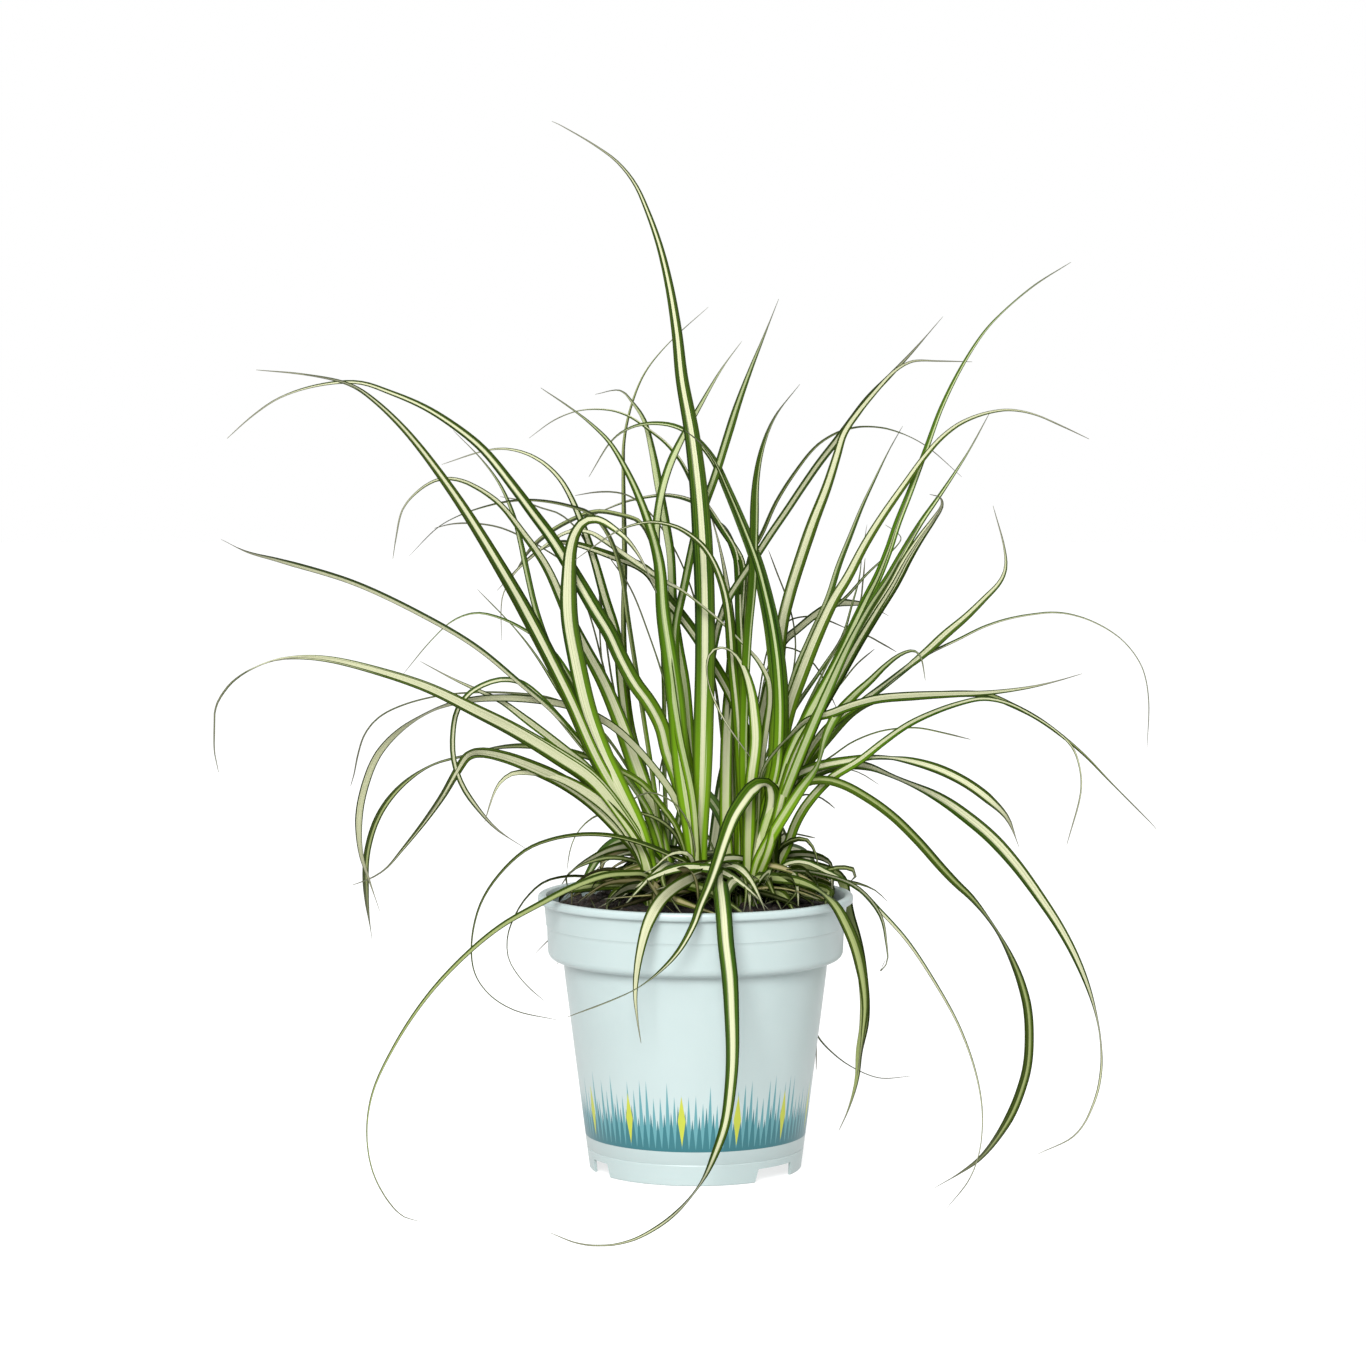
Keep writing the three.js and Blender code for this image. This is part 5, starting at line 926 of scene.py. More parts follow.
# %% Leaves of the right tuft
list_tuft(
    "right", (21, -8),
    ("deep", 8, 34, [(25, 135, -7), (29, 150, -7), (33, 165, -8), (34.4, 186, -9), (33.7, 205, -9),
        (31.6, 222, -7), (28.5, 237, -4), (24.7, 251, -1), (18.3, 267.4, 2), (12.8, 280.3, 4),
        (7.9, 291, 5), (1.9, 298.9, 5), (-4.6, 304.2, 5), (-11, 306.5, 5), (-18, 307, 5), (-24, 306.1, 4),
        (-30, 303.5, 3), (-35.1, 299, 3), (-43.7, 285, 2)], 0.36),
    ("green", 7.2, 74, [(27, 135, -9), (35, 160, -11), (40.5, 174.9, -12), (46.3, 186.6, -12),
        (52.7, 198.4, -12), (59.8, 212.4, -12), (65.7, 225.6, -12), (70.8, 236.3, -11),
        (74.9, 244.5, -10), (79.1, 255.2, -9), (82.7, 266.1, -8), (87.8, 279.1, -7), (93.8, 295.1, -6),
        (100.4, 313.2, -6), (108.7, 330.1, -5), (117.4, 343.7, -5), (125, 352, -4), (138, 363, -4),
        (153, 372.5, -4)], 0.05),
    ("green", 4.7, 50, [(28, 130, -12), (36, 152, -14), (45, 175, -15), (54, 196, -15), (63, 216, -15),
        (71, 231, -15), (78.8, 243.1, -14), (85.2, 254.5, -13), (92.1, 266.1, -12), (99.3, 276.5, -11),
        (106.3, 287, -10), (112.2, 296.4, -9), (120.2, 311.2, -8)], 0.5),
    ("even", 4.6, -48, [(30, 131, -14), (40, 168, -17), (50, 187.5, -18), (59, 203.5, -18),
        (66.5, 217, -18), (74, 229.5, -18), (80.9, 240.6, -18), (86.4, 250.9, -18), (92.2, 260.1, -18),
        (97.8, 268, -18), (100.9, 273.1, -18), (100.2, 276.6, -18), (95.8, 277.9, -18)], 0.75),
    ("green", 3.5, -36, [(22, 135, -11), (20, 155, -14), (19.8, 175, -15), (20.3, 198, -15),
        (21.6, 222, -14), (23.3, 240.3, -13), (24, 261.7, -12), (24.7, 283, -10), (27.4, 297.4, -8),
        (32.4, 309.6, -5), (42.6, 322.9, 0)], 0.75),
    ("even", 5.2, 0, [(22, 140, -13), (22.7, 158, -15), (24.8, 176, -17), (24.3, 186, -18),
        (22.5, 198.5, -19), (18.5, 209.1, -20), (13.5, 214.3, -21), (9, 215, -22), (5.6, 212, -23),
        (4.6, 206.5, -23), (5.9, 198.4, -23), (9.5, 189.5, -23), (14.5, 181, -23),
        (22.5, 170, -23)], 0.45, 0.68, 0.78),
    ("even", 4, -44, [(20, 140, -8), (18.5, 165, -9), (16.8, 190, -10), (15, 208, -11), (14, 222.5, -12),
        (12.2, 236, -13), (8.5, 247.5, -15), (4.1, 255.4, -16), (-0.9, 260.3, -17), (-6.4, 263.9, -18),
        (-12, 265.8, -18), (-18, 266.6, -18), (-24, 265.8, -18), (-31.1, 263.4, -18), (-38.1, 259.1, -18),
        (-49.5, 251, -19)], 0.5),
    ("even", 2.5, 10, [(24, 140, -9), (26, 160, -10), (28.8, 181, -12), (30.3, 193, -12),
        (29.7, 201.6, -12), (26, 209, -12), (19, 217, -12), (11, 225, -12), (3, 231.8, -12),
        (-5, 238, -8), (-12.1, 241.8, 0), (-20.3, 247, 8), (-28.1, 252.3, 15), (-35.8, 257.8, 21),
        (-43.8, 262.5, 25), (-52, 262.7, 27), (-59.6, 258.4, 28), (-67.5, 251.9, 28), (-74.6, 245.2, 27),
        (-79.2, 236, 26), (-79.7, 218, 24)], 0.65, 0.44, 0.52),
    ("green", 4.6, -50, [(25.4, 126, -16), (28.6, 132.5, -17), (35.6, 144.3, -18), (43, 156, -18),
        (50, 166, -17), (53.5, 178, -15), (57.6, 186.6, -13), (65.2, 195.3, -11), (72.1, 201.7, -10),
        (77.5, 207.1, -10), (83.6, 211.9, -10), (89.2, 213.8, -10), (92.5, 211.1, -10),
        (94.4, 201.5, -10)], 0.55, 0.46),
    ("even", 3.6, -48, [(26, 145, -13), (27.5, 163.7, -17), (32.9, 172.3, -18), (39.3, 179, -18),
        (45.7, 184.9, -18), (55.3, 187.7, -18), (63.8, 190.9, -18), (74.8, 193.8, -17), (90, 195.1, -16),
        (105, 195.8, -15), (120, 196.4, -14), (136.8, 198.6, -13), (147.8, 201.1, -12),
        (158.8, 204.3, -11)], 0.65, 0.2, 0.28, 0.36),
    ("wide", 7.2, 0, [(24.2, 121, -12), (25.5, 131, -12), (28.5, 139, -12), (31, 147, -13),
        (31.9, 153, -15), (31, 158, -17.5), (27.6, 159, -20), (23.5, 157, -22), (19.5, 152, -25),
        (15.3, 145.3, -29), (11.8, 136, -35), (9, 127, -43), (5.5, 117, -54), (1.8, 108.1, -63),
        (-1, 100.2, -70), (-6.9, 89.6, -74), (-14.1, 81.6, -76), (-24, 74, -77), (-34.1, 69.2, -77),
        (-53, 62, -74)], 0.28, 0.85),
    ("wide", 6.6, 0, [(13, 122, -20), (10.5, 120.5, -32), (10.2, 117, -46), (10.9, 111.4, -60),
        (11.7, 104, -69.5), (12.5, 93, -73), (14.2, 78, -75), (15, 62, -77), (15.3, 47, -81),
        (14.5, 33, -87), (12.2, 17, -97), (7.3, 3, -109), (2.4, -7, -121), (-5.3, -17.1, -134),
        (-14.4, -25, -145), (-26.1, -31.4, -153), (-38, -33.8, -158), (-48.9, -32.8, -157),
        (-60.4, -28.3, -153)], 0.37, 0.735),
    ("dark", 4.6, 0, [(24, 119.5, -14), (32.4, 119.8, -18), (43.1, 118.2, -23), (51.2, 114.2, -31),
        (57.3, 108.9, -40), (61.6, 101.8, -44), (65.9, 91.9, -46), (68.8, 80.2, -47), (70.2, 67, -47),
        (69.1, 53.9, -46), (67, 37.8, -45)], 0.65, 0.38),
    ("cream", 2, 0, [(16, 124, -15), (6.2, 126, -18), (0.3, 125.9, -20), (-5.5, 126.2, -21),
        (-11.6, 125.6, -22)]),
    ("old", 1.6, 0, [(25.4, 115.4, -18), (31.3, 116, -21), (38, 115.2, -24), (45, 113.4, -28),
        (50.5, 111, -32)]),
)

# %% [markdown]
# ### The tuft at the far right
# Its leaves arch far out to the right, some high and some low, and the heaviest ones hang beside the pot
# with their tips turned back in.

# %% Leaves of the right rear tuft
list_tuft(
    "right_rear", (33, 10),
    ("cream", 5, 72, [(31, 140, 12), (32, 165, 14), (33.5, 195, 15), (35.6, 224, 15), (38.7, 237.3, 15),
        (42.9, 250.9, 15), (48.2, 266.5, 14), (53.7, 280.8, 14), (57.8, 293.7, 14), (60.5, 302.4, 14),
        (65.7, 310.4, 14), (74.2, 320.7, 13), (81.4, 328.3, 12), (88.6, 332.2, 11), (99, 332.3, 10),
        (113, 332, 9)], 0.55),
    ("cream", 5.3, 66, [(32, 143, 8), (34.5, 170, 9), (39.2, 191.1, 9), (43.8, 204.1, 8),
        (49.4, 218.4, 7), (57, 235, 6), (62.2, 243.5, 5), (69.3, 257.1, 4), (77, 269.6, 2),
        (85.9, 282.4, 0), (93.3, 292.8, -1), (100.7, 301.2, -2), (108.4, 307, -3), (118.1, 310.9, -4),
        (128, 312.4, -5), (138.1, 310.7, -6), (149.1, 306.1, -6), (161, 300.5, -6)], 0.35),
    ("green", 2.6, 86, [(31, 145, 12), (35, 175, 14), (40, 202, 15), (47, 219, 15), (54.2, 234.9, 14),
        (58.7, 248.9, 13), (63.2, 260.4, 12), (68, 272.5, 10), (72.9, 283.1, 8), (79.1, 295.9, 6),
        (84.7, 305.9, 4)], 0.6),
    ("green", 2.4, 60, [(32, 150, 16), (39, 185, 20), (46, 212, 20), (54, 228.5, 18), (62, 236, 15),
        (70, 245, 12), (77, 251.5, 9), (81.5, 255.7, 6), (84.2, 259.5, 4), (82.5, 262.3, 3),
        (77.6, 265.5, 2)]),
    ("even", 3.9, 46, [(34, 140, 4), (41, 158, 4), (47, 172, 3), (57, 184.3, 2), (68.5, 192.5, 1),
        (80.1, 201.4, 0), (94.2, 212.7, -1), (102.9, 220.7, -2), (111.2, 227.8, -3), (119.2, 235.8, -4),
        (124.6, 241.6, -5), (127.1, 247.6, -5), (126.6, 255.8, -5), (121.8, 273.3, -3)], 0.65, 0.53),
    ("even", 2.2, 72, [(34, 145, 9), (43, 165, 9), (56, 181, 9), (70.5, 194.4, 8), (82.4, 203.4, 7),
        (94.7, 212, 6), (107.8, 218.4, 5), (117.8, 223.4, 4), (127.9, 226.8, 3), (138, 228.7, 2),
        (148, 229.5, 1), (157.8, 227.7, 0), (167.5, 223.5, -1), (175.2, 218.1, -2), (181.3, 210.8, -3),
        (184.6, 203.5, -4), (186.3, 191.9, -5), (185.7, 173.6, -6)], 0.05),
    ("dark", 3.4, 62, [(34, 142, 12), (43, 162, 12), (55, 178, 12), (65.3, 189, 11), (74.6, 193.9, 10),
        (85.2, 194.8, 9), (97, 195.4, 8), (109.9, 196, 7), (120.2, 195.4, 6), (129.9, 191.4, 5),
        (139.7, 186.4, 4), (149.7, 179.4, 3), (160.1, 170.6, 2), (170.2, 160.2, 1), (190.4, 139.9, -1)]),
    ("even", 4.9, -30, [(33.9, 123.9, 5), (38, 133.2, 4), (41.2, 142.2, 3), (45.8, 150.2, 2),
        (55.8, 161.1, 0), (67.3, 168.3, -2), (77.7, 176.5, -3), (87.6, 183.4, -4), (97.8, 188.3, -5),
        (107.9, 191.9, -6), (118, 194, -7), (128, 192.2, -8), (137.9, 187.4, -8), (147.9, 180.9, -8),
        (155, 174, -8), (158.1, 165.4, -8), (158.7, 156, -8), (153, 133.6, -7)], 0.05),
    ("dark", 1.4, 30, [(35, 145, 14), (43, 160, 16), (49.9, 166.1, 17), (56.4, 170.5, 17),
        (64.1, 175.9, 17), (74.9, 180.3, 17), (84, 181.8, 17), (92, 181.9, 17), (102, 179.9, 17),
        (113.1, 177.2, 17)], 0.15),
    ("even", 4.2, 10, [(33, 148, 1), (38.6, 160.4, 0), (45.8, 164.6, -1), (53.8, 166.9, -2),
        (62, 168.3, -3), (72, 169.7, -4), (82, 169.3, -5), (92.1, 167.4, -6), (102.2, 164, -7),
        (112.2, 158.8, -8), (121.2, 152.1, -9), (128.4, 144.7, -10), (133.3, 132.7, -12)], 0.85, 0.58),
    ("wide", 5.4, 10, [(34, 145, 7), (41, 157, 8), (50, 164, 8), (59, 166.8, 7), (66, 166.8, 6),
        (73.2, 165.3, 4), (80.4, 162.2, 2), (87.6, 159.2, 1), (95.8, 155.5, 0), (103.2, 151.3, -1),
        (111.4, 145.4, -3), (121.7, 136.8, -5), (131.7, 125.8, -8), (141.5, 112.6, -11), (151, 98.2, -14),
        (157.9, 85, -17), (163.6, 70.2, -19), (167.2, 54.8, -21), (167.9, 40.1, -22), (165.2, 26.8, -23),
        (157.6, 12.9, -24), (142.1, 4.8, -24)], 0.5, 0.33, 0.79),
    ("dark", 3.6, 0, [(33, 140, -2), (39, 153, -3), (45, 159.2, -3.5), (52, 160.5, -4.5), (60, 158.8, -6),
        (70.6, 153.1, -8), (81.2, 145.4, -10), (91.7, 135.1, -13), (101.9, 123.5, -17),
        (107.8, 117.3, -19), (113.8, 111.6, -21), (122.1, 101, -26), (127.5, 92.3, -29),
        (132.5, 81.8, -32), (135.4, 73.4, -35), (137.3, 65, -37.5), (138, 53, -41), (137.2, 41.1, -45),
        (134.2, 30, -49), (130.1, 20.2, -52), (123.7, 9.8, -55), (117.5, 2.5, -57), (109.3, -3.5, -58.5),
        (99.1, -9.5, -61)], 0.85, 0.565),
    ("dark", 2, 0, [(34, 150, 10), (41, 160.5, 11), (51.7, 165, 11), (61.3, 165.2, 11), (68, 163.2, 11),
        (75.5, 158.5, 11)]),
    ("dark", 2.3, 0, [(34, 131, 4), (38, 134.5, 2), (42, 136, 1), (45.8, 135.6, 0), (48.9, 131.4, 0),
        (50.4, 125.5, 0), (50.1, 119, 0)], 0.55),
    ("dark", 4, 0, [(33, 121, 8), (36.1, 126.4, 9), (40, 126.9, 10), (45.8, 125.7, 11), (53.6, 123.6, 13),
        (57.9, 121.8, 15), (60.9, 118.5, 17), (62.3, 112, 18), (63.9, 104, 17), (66.1, 96.5, 15),
        (68, 87.9, 9), (69.3, 77.9, 2), (70.1, 68, -4), (69.7, 58.1, -8), (67.8, 47.7, -11),
        (66.8, 35.9, -14), (63.3, 23.3, -17), (59.4, 14.5, -19)], 0.7),
    ("wide", 2.2, 0, [(34, 123, -4), (39, 126.4, -7), (45.3, 126.5, -9), (54, 122.6, -10),
        (61.8, 118.5, -11), (68.1, 114.6, -13), (75.2, 107.3, -17), (86.9, 94.4, -24), (98.7, 76.8, -33),
        (108.9, 58.4, -42), (115.7, 39.9, -51), (118.6, 24.9, -58), (118.6, 12, -66), (116.8, 2.1, -74),
        (113.1, -6.7, -82), (104.1, -18.2, -96)], 0.1),
    ("even", 1.7, 0, [(36, 122, -8), (45, 122.5, -16), (56, 120.3, -18), (65.4, 116.6, -19),
        (72, 110.7, -20), (76.8, 103, -21), (78.7, 92.9, -22), (79.2, 84.8, -23), (76.2, 81, -24),
        (78.6, 86, -27)], 0.65),
    ("dark", 1.8, 0, [(35, 117, 1), (43, 121, 2), (51.7, 122.2, 3), (57, 123.9, 4), (62, 124.1, 5),
        (65.6, 122.8, 6), (65.8, 120.2, 6), (63.4, 118, 6)], 0.9),
    ("dark", 2, 0, [(40, 122, 20), (51.9, 120.6, 24), (61.8, 118.6, 26), (68.7, 117.1, 26),
        (74.6, 114.4, 26), (79.2, 110, 26)], 0.6),
    ("even", 5.2, 0, [(36, 130, 26), (42, 131, 50), (47, 126, 72), (50, 115, 90), (51, 98, 102),
        (50, 80, 108), (50, 40, 112)]),
)

# %% [markdown]
# ## Leaves that lean away
# Seen from the front a plant looks flat, so some routes are used twice: a second, slimmer leaf follows the
# same line of sight but leans far to the back or to the front. It hides behind its model from the station,
# and fills the plant's sides and back.

# %% Leaning leaves
FILL_SOURCES = {
    "left": [1, 3, 4], "left_rear": [0, 1, 2], "middle": [0, 1, 9, 10],
    "rear": [0, 1, 5, 3, 7], "right": [0, 1, 2, 3], "right_rear": [0, 1, 4, 9, 2],
}
FILL_WIDTH = 4.4
FILL_SLIMMER = 0.8
FILL_CUT = (0.62, 0.9)
FILL_BACK_LEAN = (55, 145)
FILL_FRONT_LEAN = (50, 120)
FILL_FRONT_TUFTS = ["left", "right"]
FILL_START = 3
CHANCE_STEP = 12.9898
CHANCE_SPREAD = 43758.5453


def repeatable(key):
    """A number from 0 to 1 that only depends on the key."""
    value = math.sin(key * CHANCE_STEP) * CHANCE_SPREAD
    return value - math.floor(value)


def between(key, low, high):
    """A number from low to high that only depends on the key."""
    return mix(low, high, repeatable(key))


def leant(route, lean, start):
    """The route, moved back in depth by start at its foot and by lean more at its tip."""
    last = len(route) - 1
    return [(a, u, d + start + lean * (k / last) ** 2) for k, (a, u, d) in enumerate(route)]


def leaning_leaf(name, index, source):
    """A slimmer and shorter leaf on the same line of sight as its source."""
    key = len(name) * 31 + source * 7 + index
    side = -1 if name in FILL_FRONT_TUFTS else 1
    lean = side * between(key, *(FILL_FRONT_LEAN if side < 0 else FILL_BACK_LEAN))
    look, width, _, route, *_ = TUFTS[name]["leaves"][source]
    count = math.floor(len(route) * between(key + 0.5, *FILL_CUT) + 0.5)
    slim = min(width * FILL_SLIMMER, FILL_WIDTH)
    return look, slim, leant(route[:count], lean, side * FILL_START), []


def leaves_of(name):
    """A tuft's leaves as (look, breadth as seen, route, more), the leaning ones after its own."""
    own = [(look, width, leant(route, lean, 0), more)
           for look, width, lean, route, *more in TUFTS[name]["leaves"]]
    return own + [leaning_leaf(name, index, source) for index, source in enumerate(FILL_SOURCES[name])]


print({name: len(leaves_of(name)) for name in TUFTS})

# %% [markdown]
# ## From a route to a leaf's middle line
# Three steps turn a row into a line in space. The sight lines carry its points to their depth. A smooth
# curve passes through them, from inside the crown to the tip, and is measured out in even samples. At each
# sample the blade gets its breadth and a turn about its own length: narrow-looking leaves are broader ones
# turned aside, and where the line bends tightly the blade turns its edge, as a folding leaf does.


# %% Sight lines
def on_part(seen):
    """(across, up, depth) rows as places on the plant."""
    seen = np.asarray(seen, float)
    reach = (seen[:, 2] - STATION[1]) / -STATION[1]
    x = mix(STATION[0], seen[:, 0], reach)
    z = mix(STATION[2], seen[:, 1], reach)
    return np.stack([x, seen[:, 2], z], axis=1)


def seen_from(places):
    """Places as (across, up, depth) rows."""
    reach = (places[:, 1] - STATION[1]) / -STATION[1]
    across = STATION[0] + (places[:, 0] - STATION[0]) / reach
    up = STATION[2] + (places[:, 2] - STATION[2]) / reach
    return np.stack([across, up, places[:, 1]], axis=1)


print("100 across and 100 deep is at", on_part([(100, 0, 100)])[0].round(1).tolist())

# %% Smooth curves
SAMPLE_STEP = 3.5
ROUGH_STEPS = 12


def curve_places(points, shares):
    """Places on a centripetal Catmull-Rom curve through the points, at shares of its parameter."""
    count = len(points)
    padded = np.concatenate([[2 * points[0] - points[1]], points, [2 * points[-1] - points[-2]]])
    position = np.clip(shares * (count - 1), 0, count - 1)
    piece = np.minimum(position.astype(int), count - 2)
    t = (position - piece)[:, None]
    p0, p1, p2, p3 = (padded[piece + k] for k in range(4))
    spans = ((p0, p1), (p1, p2), (p2, p3))
    d0, d1, d2 = (np.sqrt(np.linalg.norm(b - a, axis=1))[:, None] for a, b in spans)
    m1 = ((p1 - p0) / d0 - (p2 - p0) / (d0 + d1) + (p2 - p1) / d1) * d1
    m2 = ((p2 - p1) / d1 - (p3 - p1) / (d1 + d2) + (p3 - p2) / d2) * d1
    c2 = -3 * p1 + 3 * p2 - 2 * m1 - m2
    c3 = 2 * p1 - 2 * p2 + m1 + m2
    return p1 + m1 * t + c2 * t * t + c3 * t * t * t


def even_samples(points):
    """The curve's length and its places a sample step apart."""
    shares = np.linspace(0, 1, len(points) * ROUGH_STEPS + 1)
    rough = curve_places(points, shares)
    lengths = np.concatenate([[0], np.cumsum(np.linalg.norm(np.diff(rough, axis=0), axis=1))])
    steps = math.floor(lengths[-1] / SAMPLE_STEP + 0.5)
    wanted = np.interp(np.linspace(0, lengths[-1], steps + 1), lengths, shares)
    return lengths[-1], curve_places(points, wanted)


print("a straight 70 mm has", len(even_samples(np.array([(0, 0, 0), (70, 0, 0)]))[1]), "samples")

# %% A leaf's middle line, and how it bends
LEAF_ROOT_HEIGHT = 106.0
LEAF_LIFT_HEIGHT = 115.0
ROOT_RING = (2, 4.5)
BEND_REACH = 2


def middle_line(route, crown, key):
    """The length and the samples of a leaf, as seen, from its root inside the crown."""
    places = on_part(route)
    heading = places[0, :2] - np.array(crown)
    reach = np.linalg.norm(heading)
    heading *= min(reach, between(key, *ROOT_RING)) / reach
    foot = np.array(crown) + heading
    root = [[*foot, LEAF_ROOT_HEIGHT], [*foot, LEAF_LIFT_HEIGHT]]
    length, samples = even_samples(np.concatenate([root, places]))
    return length, seen_from(samples)


def bends(seen):
    """How sharply the line turns at each sample, as seen, in radians to the mm."""
    index = np.arange(len(seen))
    before = seen[np.maximum(index - BEND_REACH, 0)]
    after = seen[np.minimum(index + BEND_REACH, len(seen) - 1)]
    first = np.arctan2(seen[:, 1] - before[:, 1], seen[:, 0] - before[:, 0])
    second = np.arctan2(after[:, 1] - seen[:, 1], after[:, 0] - seen[:, 0])
    change = np.arctan2(np.sin(second - first), np.cos(second - first))
    span = np.hypot(*(after - before)[:, :2].T)
    return np.where(span < 1e-6, 0, np.abs(change) / np.maximum(span, 1e-9) * 2)


length, _ = middle_line(TUFTS["middle"]["leaves"][0][3], TUFTS["middle"]["crown"], 0)
print("the tallest leaf is", round(length), "mm long")

# %% A leaf's breadth and turn
NARROW = 1.7
FULL_SHARE = 0.55
FULL_EXTRA = 2.6
LEAF_TIP_WIDTH = 0.7
ROOT_NECK = 0.7
ROOT_NECK_END = 0.2
TAPER_POWER = 1.1
TURN_LEAST = 0.2
TURN_REACH = 3
TWIST = 0.72
TWIST_SPAN = 0.06
BEND_LIMIT = 0.62


def full_breadth(width):
    """The breadth of a blade that looks this wide: all but the thinnest are turned a little aside."""
    return width if width < NARROW else max(width, FULL_SHARE * width + FULL_EXTRA)


def breadths(full, share, taper_start):
    """The blade's breadth along its length, with a neck at its foot and a taper to its tip."""
    neck = mix(ROOT_NECK, 1, np.minimum(1, share / ROOT_NECK_END))
    taper = np.minimum(1, ((1 - share) / (1 - taper_start)) ** TAPER_POWER)
    return np.maximum(LEAF_TIP_WIDTH, full * neck * taper)


def turns(width, full, share, twists, tightness, key):
    """How far the blade is turned about its length: evenly, more at a twist, and most in a tight bend."""
    at_twists = [TWIST * np.exp(-(((share - at) / TWIST_SPAN) ** 2)) for at in twists]
    twist = np.max([0 * share] + at_twists, axis=0)
    plain = math.cos(max(TURN_LEAST, math.acos(width / full))) * (1 - twist)
    turned = np.arccos(np.minimum(plain, 2 * BEND_LIMIT / np.maximum(tightness, 1e-6)))
    near = [turned[max(0, k - TURN_REACH):k + TURN_REACH + 1].mean() for k in range(len(turned))]
    hand = -1 if repeatable(key + 0.25) < 0.5 else 1
    return hand * np.maximum(near, turned)


print("breadths behind 2, 4 and 8 mm:", [round(full_breadth(width), 2) for width in (2, 4, 8)])

# %% A leaf grows
LEAF_THICKNESS = 0.7
TAPER_START = 0.45
ROOT_FIXED = 12
ROOT_FREE = 45
# Painted light: a leaf whose top reaches above this gets a foot painted brighter, partly its own yellow-green.
YOUNG_AND_LIT_FROM = 150
YOUNG_AND_LIT_SPAN = 60
KEYS_PER_TUFT = 100


def grown_leaf(look, width, route, more, crown, key):
    """Everything about a leaf at its samples: its line, breadth, turn and how freely it may move."""
    taper_start, *twists = more or [TAPER_START]
    length, seen = middle_line(route, crown, key)
    last = len(seen) - 1
    index = np.arange(last + 1)
    share = index / last
    full = full_breadth(width)
    breadth = breadths(full, share, taper_start)
    turn = turns(width, full, share, twists, bends(seen) * breadth, key)
    travelled = np.clip((share * length - ROOT_FIXED) / (ROOT_FREE - ROOT_FIXED), 0, 1)
    step = np.abs(seen[np.minimum(index + 1, last)] - seen[np.maximum(index - 1, 0)])
    level = step[:, 0] / np.maximum(np.hypot(step[:, 0], step[:, 1]), 1e-6)
    half_seen = breadth / 2 * np.cos(turn) + LEAF_THICKNESS / 2
    return {
        "look": look, "key": key, "length": length, "seen": seen, "breadth": breadth, "turn": turn,
        "fresh": min(1, max(0, (seen[:, 1].max() - YOUNG_AND_LIT_FROM) / YOUNG_AND_LIT_SPAN)),
        "half_seen": half_seen,
        "half_depth": breadth / 2 * np.abs(np.sin(turn)) + LEAF_THICKNESS / 2,
        "half_rise": half_seen * level + LEAF_THICKNESS / 2,
        "slack": step[:, 2] / 4,
        "freedom": travelled * travelled * (3 - 2 * travelled),
    }


grown = {}
for tuft_index, name in enumerate(TUFTS):
    crown = TUFTS[name]["crown"]
    first_key = tuft_index * KEYS_PER_TUFT
    grown[name] = [grown_leaf(*row, crown, first_key + index) for index, row in enumerate(leaves_of(name))]
print("samples:", sum(len(leaf["seen"]) for leaves in grown.values() for leaf in leaves))

# %% [markdown]
# ## Leaves pass, and don't cross
# Where two leaves of different tufts cross as seen, one goes behind the other. Their depths are pushed apart
# until there is room for both, a little at a time and shared by how free each is, while every leaf's own
# line is kept smooth. Leaves also hang clear of the pot and the ground.

# %% Crossings
CONTACT_MARGIN = 2
RUN_GAP = 3


def contacts_between(one, other):
    """Pairs of samples that lie over each other, with the side on which the second one passes."""
    away = one["seen"][:, None, :2] - other["seen"][None, :, :2]
    reach = one["half_seen"][:, None] + other["half_seen"][None] + CONTACT_MARGIN
    distance = np.hypot(away[..., 0], away[..., 1])
    here, there = np.nonzero(distance <= reach)
    if len(here) == 0:
        return []
    lean = (other["seen"][there, 2] - one["seen"][here, 2]) * (reach - distance)[here, there]
    run = np.concatenate([[0], np.cumsum(np.diff(here) > RUN_GAP)])
    side = np.where(np.bincount(run, lean) < 0, -1, 1)[run]
    return list(zip((here + one["first"]).tolist(), (there + other["first"]).tolist(), side.tolist()))


every_leaf = [leaf for leaves in grown.values() for leaf in leaves]
first = 0
for leaf in every_leaf:
    leaf["first"] = first
    first += len(leaf["seen"])
contacts = []
tufts = list(grown.values())
for index, own in enumerate(tufts):
    others = [leaf for tuft in tufts[index + 1:] for leaf in tuft]
    contacts += [pair for one in own for other in others for pair in contacts_between(one, other)]
print("places where leaves pass:", len(contacts))

# %% Keeping a leaf smooth, and off the pot and the ground
SMOOTHING = 0.5
POT_CLEARANCE = 1.2
RIM_REACH = 7
GROUND_CLEARANCE = 0.3


def smooth_depth(leaf, depth):
    bend = depth - leaf["seen"][:, 2]
    near = (np.concatenate([bend[:1], bend[:-1]]) + np.concatenate([bend[1:], bend[-1:]])) / 2
    return leaf["seen"][:, 2] + mix(bend, near, SMOOTHING * leaf["freedom"])


def keep_off_pot(leaf, depth):
    """A sample beside the pot's wall is moved to the front or back of it."""
    place = on_part(np.column_stack([leaf["seen"][:, :2], depth]))
    away = np.hypot(place[:, 0], place[:, 1])
    low = (place[:, 2] - leaf["half_rise"] <= RIM_TOP + POT_CLEARANCE) & (away >= RIM_RADIUS - RIM_REACH)
    wall = np.where(place[:, 2] > COLLAR_BOTTOM, RIM_RADIUS, body_radius(place[:, 2]))
    clear = wall + POT_CLEARANCE + leaf["half_depth"]
    moved = low & (away < clear) & (np.abs(place[:, 0]) < clear)
    out = np.sqrt(np.maximum(clear ** 2 - place[:, 0] ** 2, 0)) * np.where(place[:, 1] < 0, -1, 1)
    return np.where(moved, out, depth)


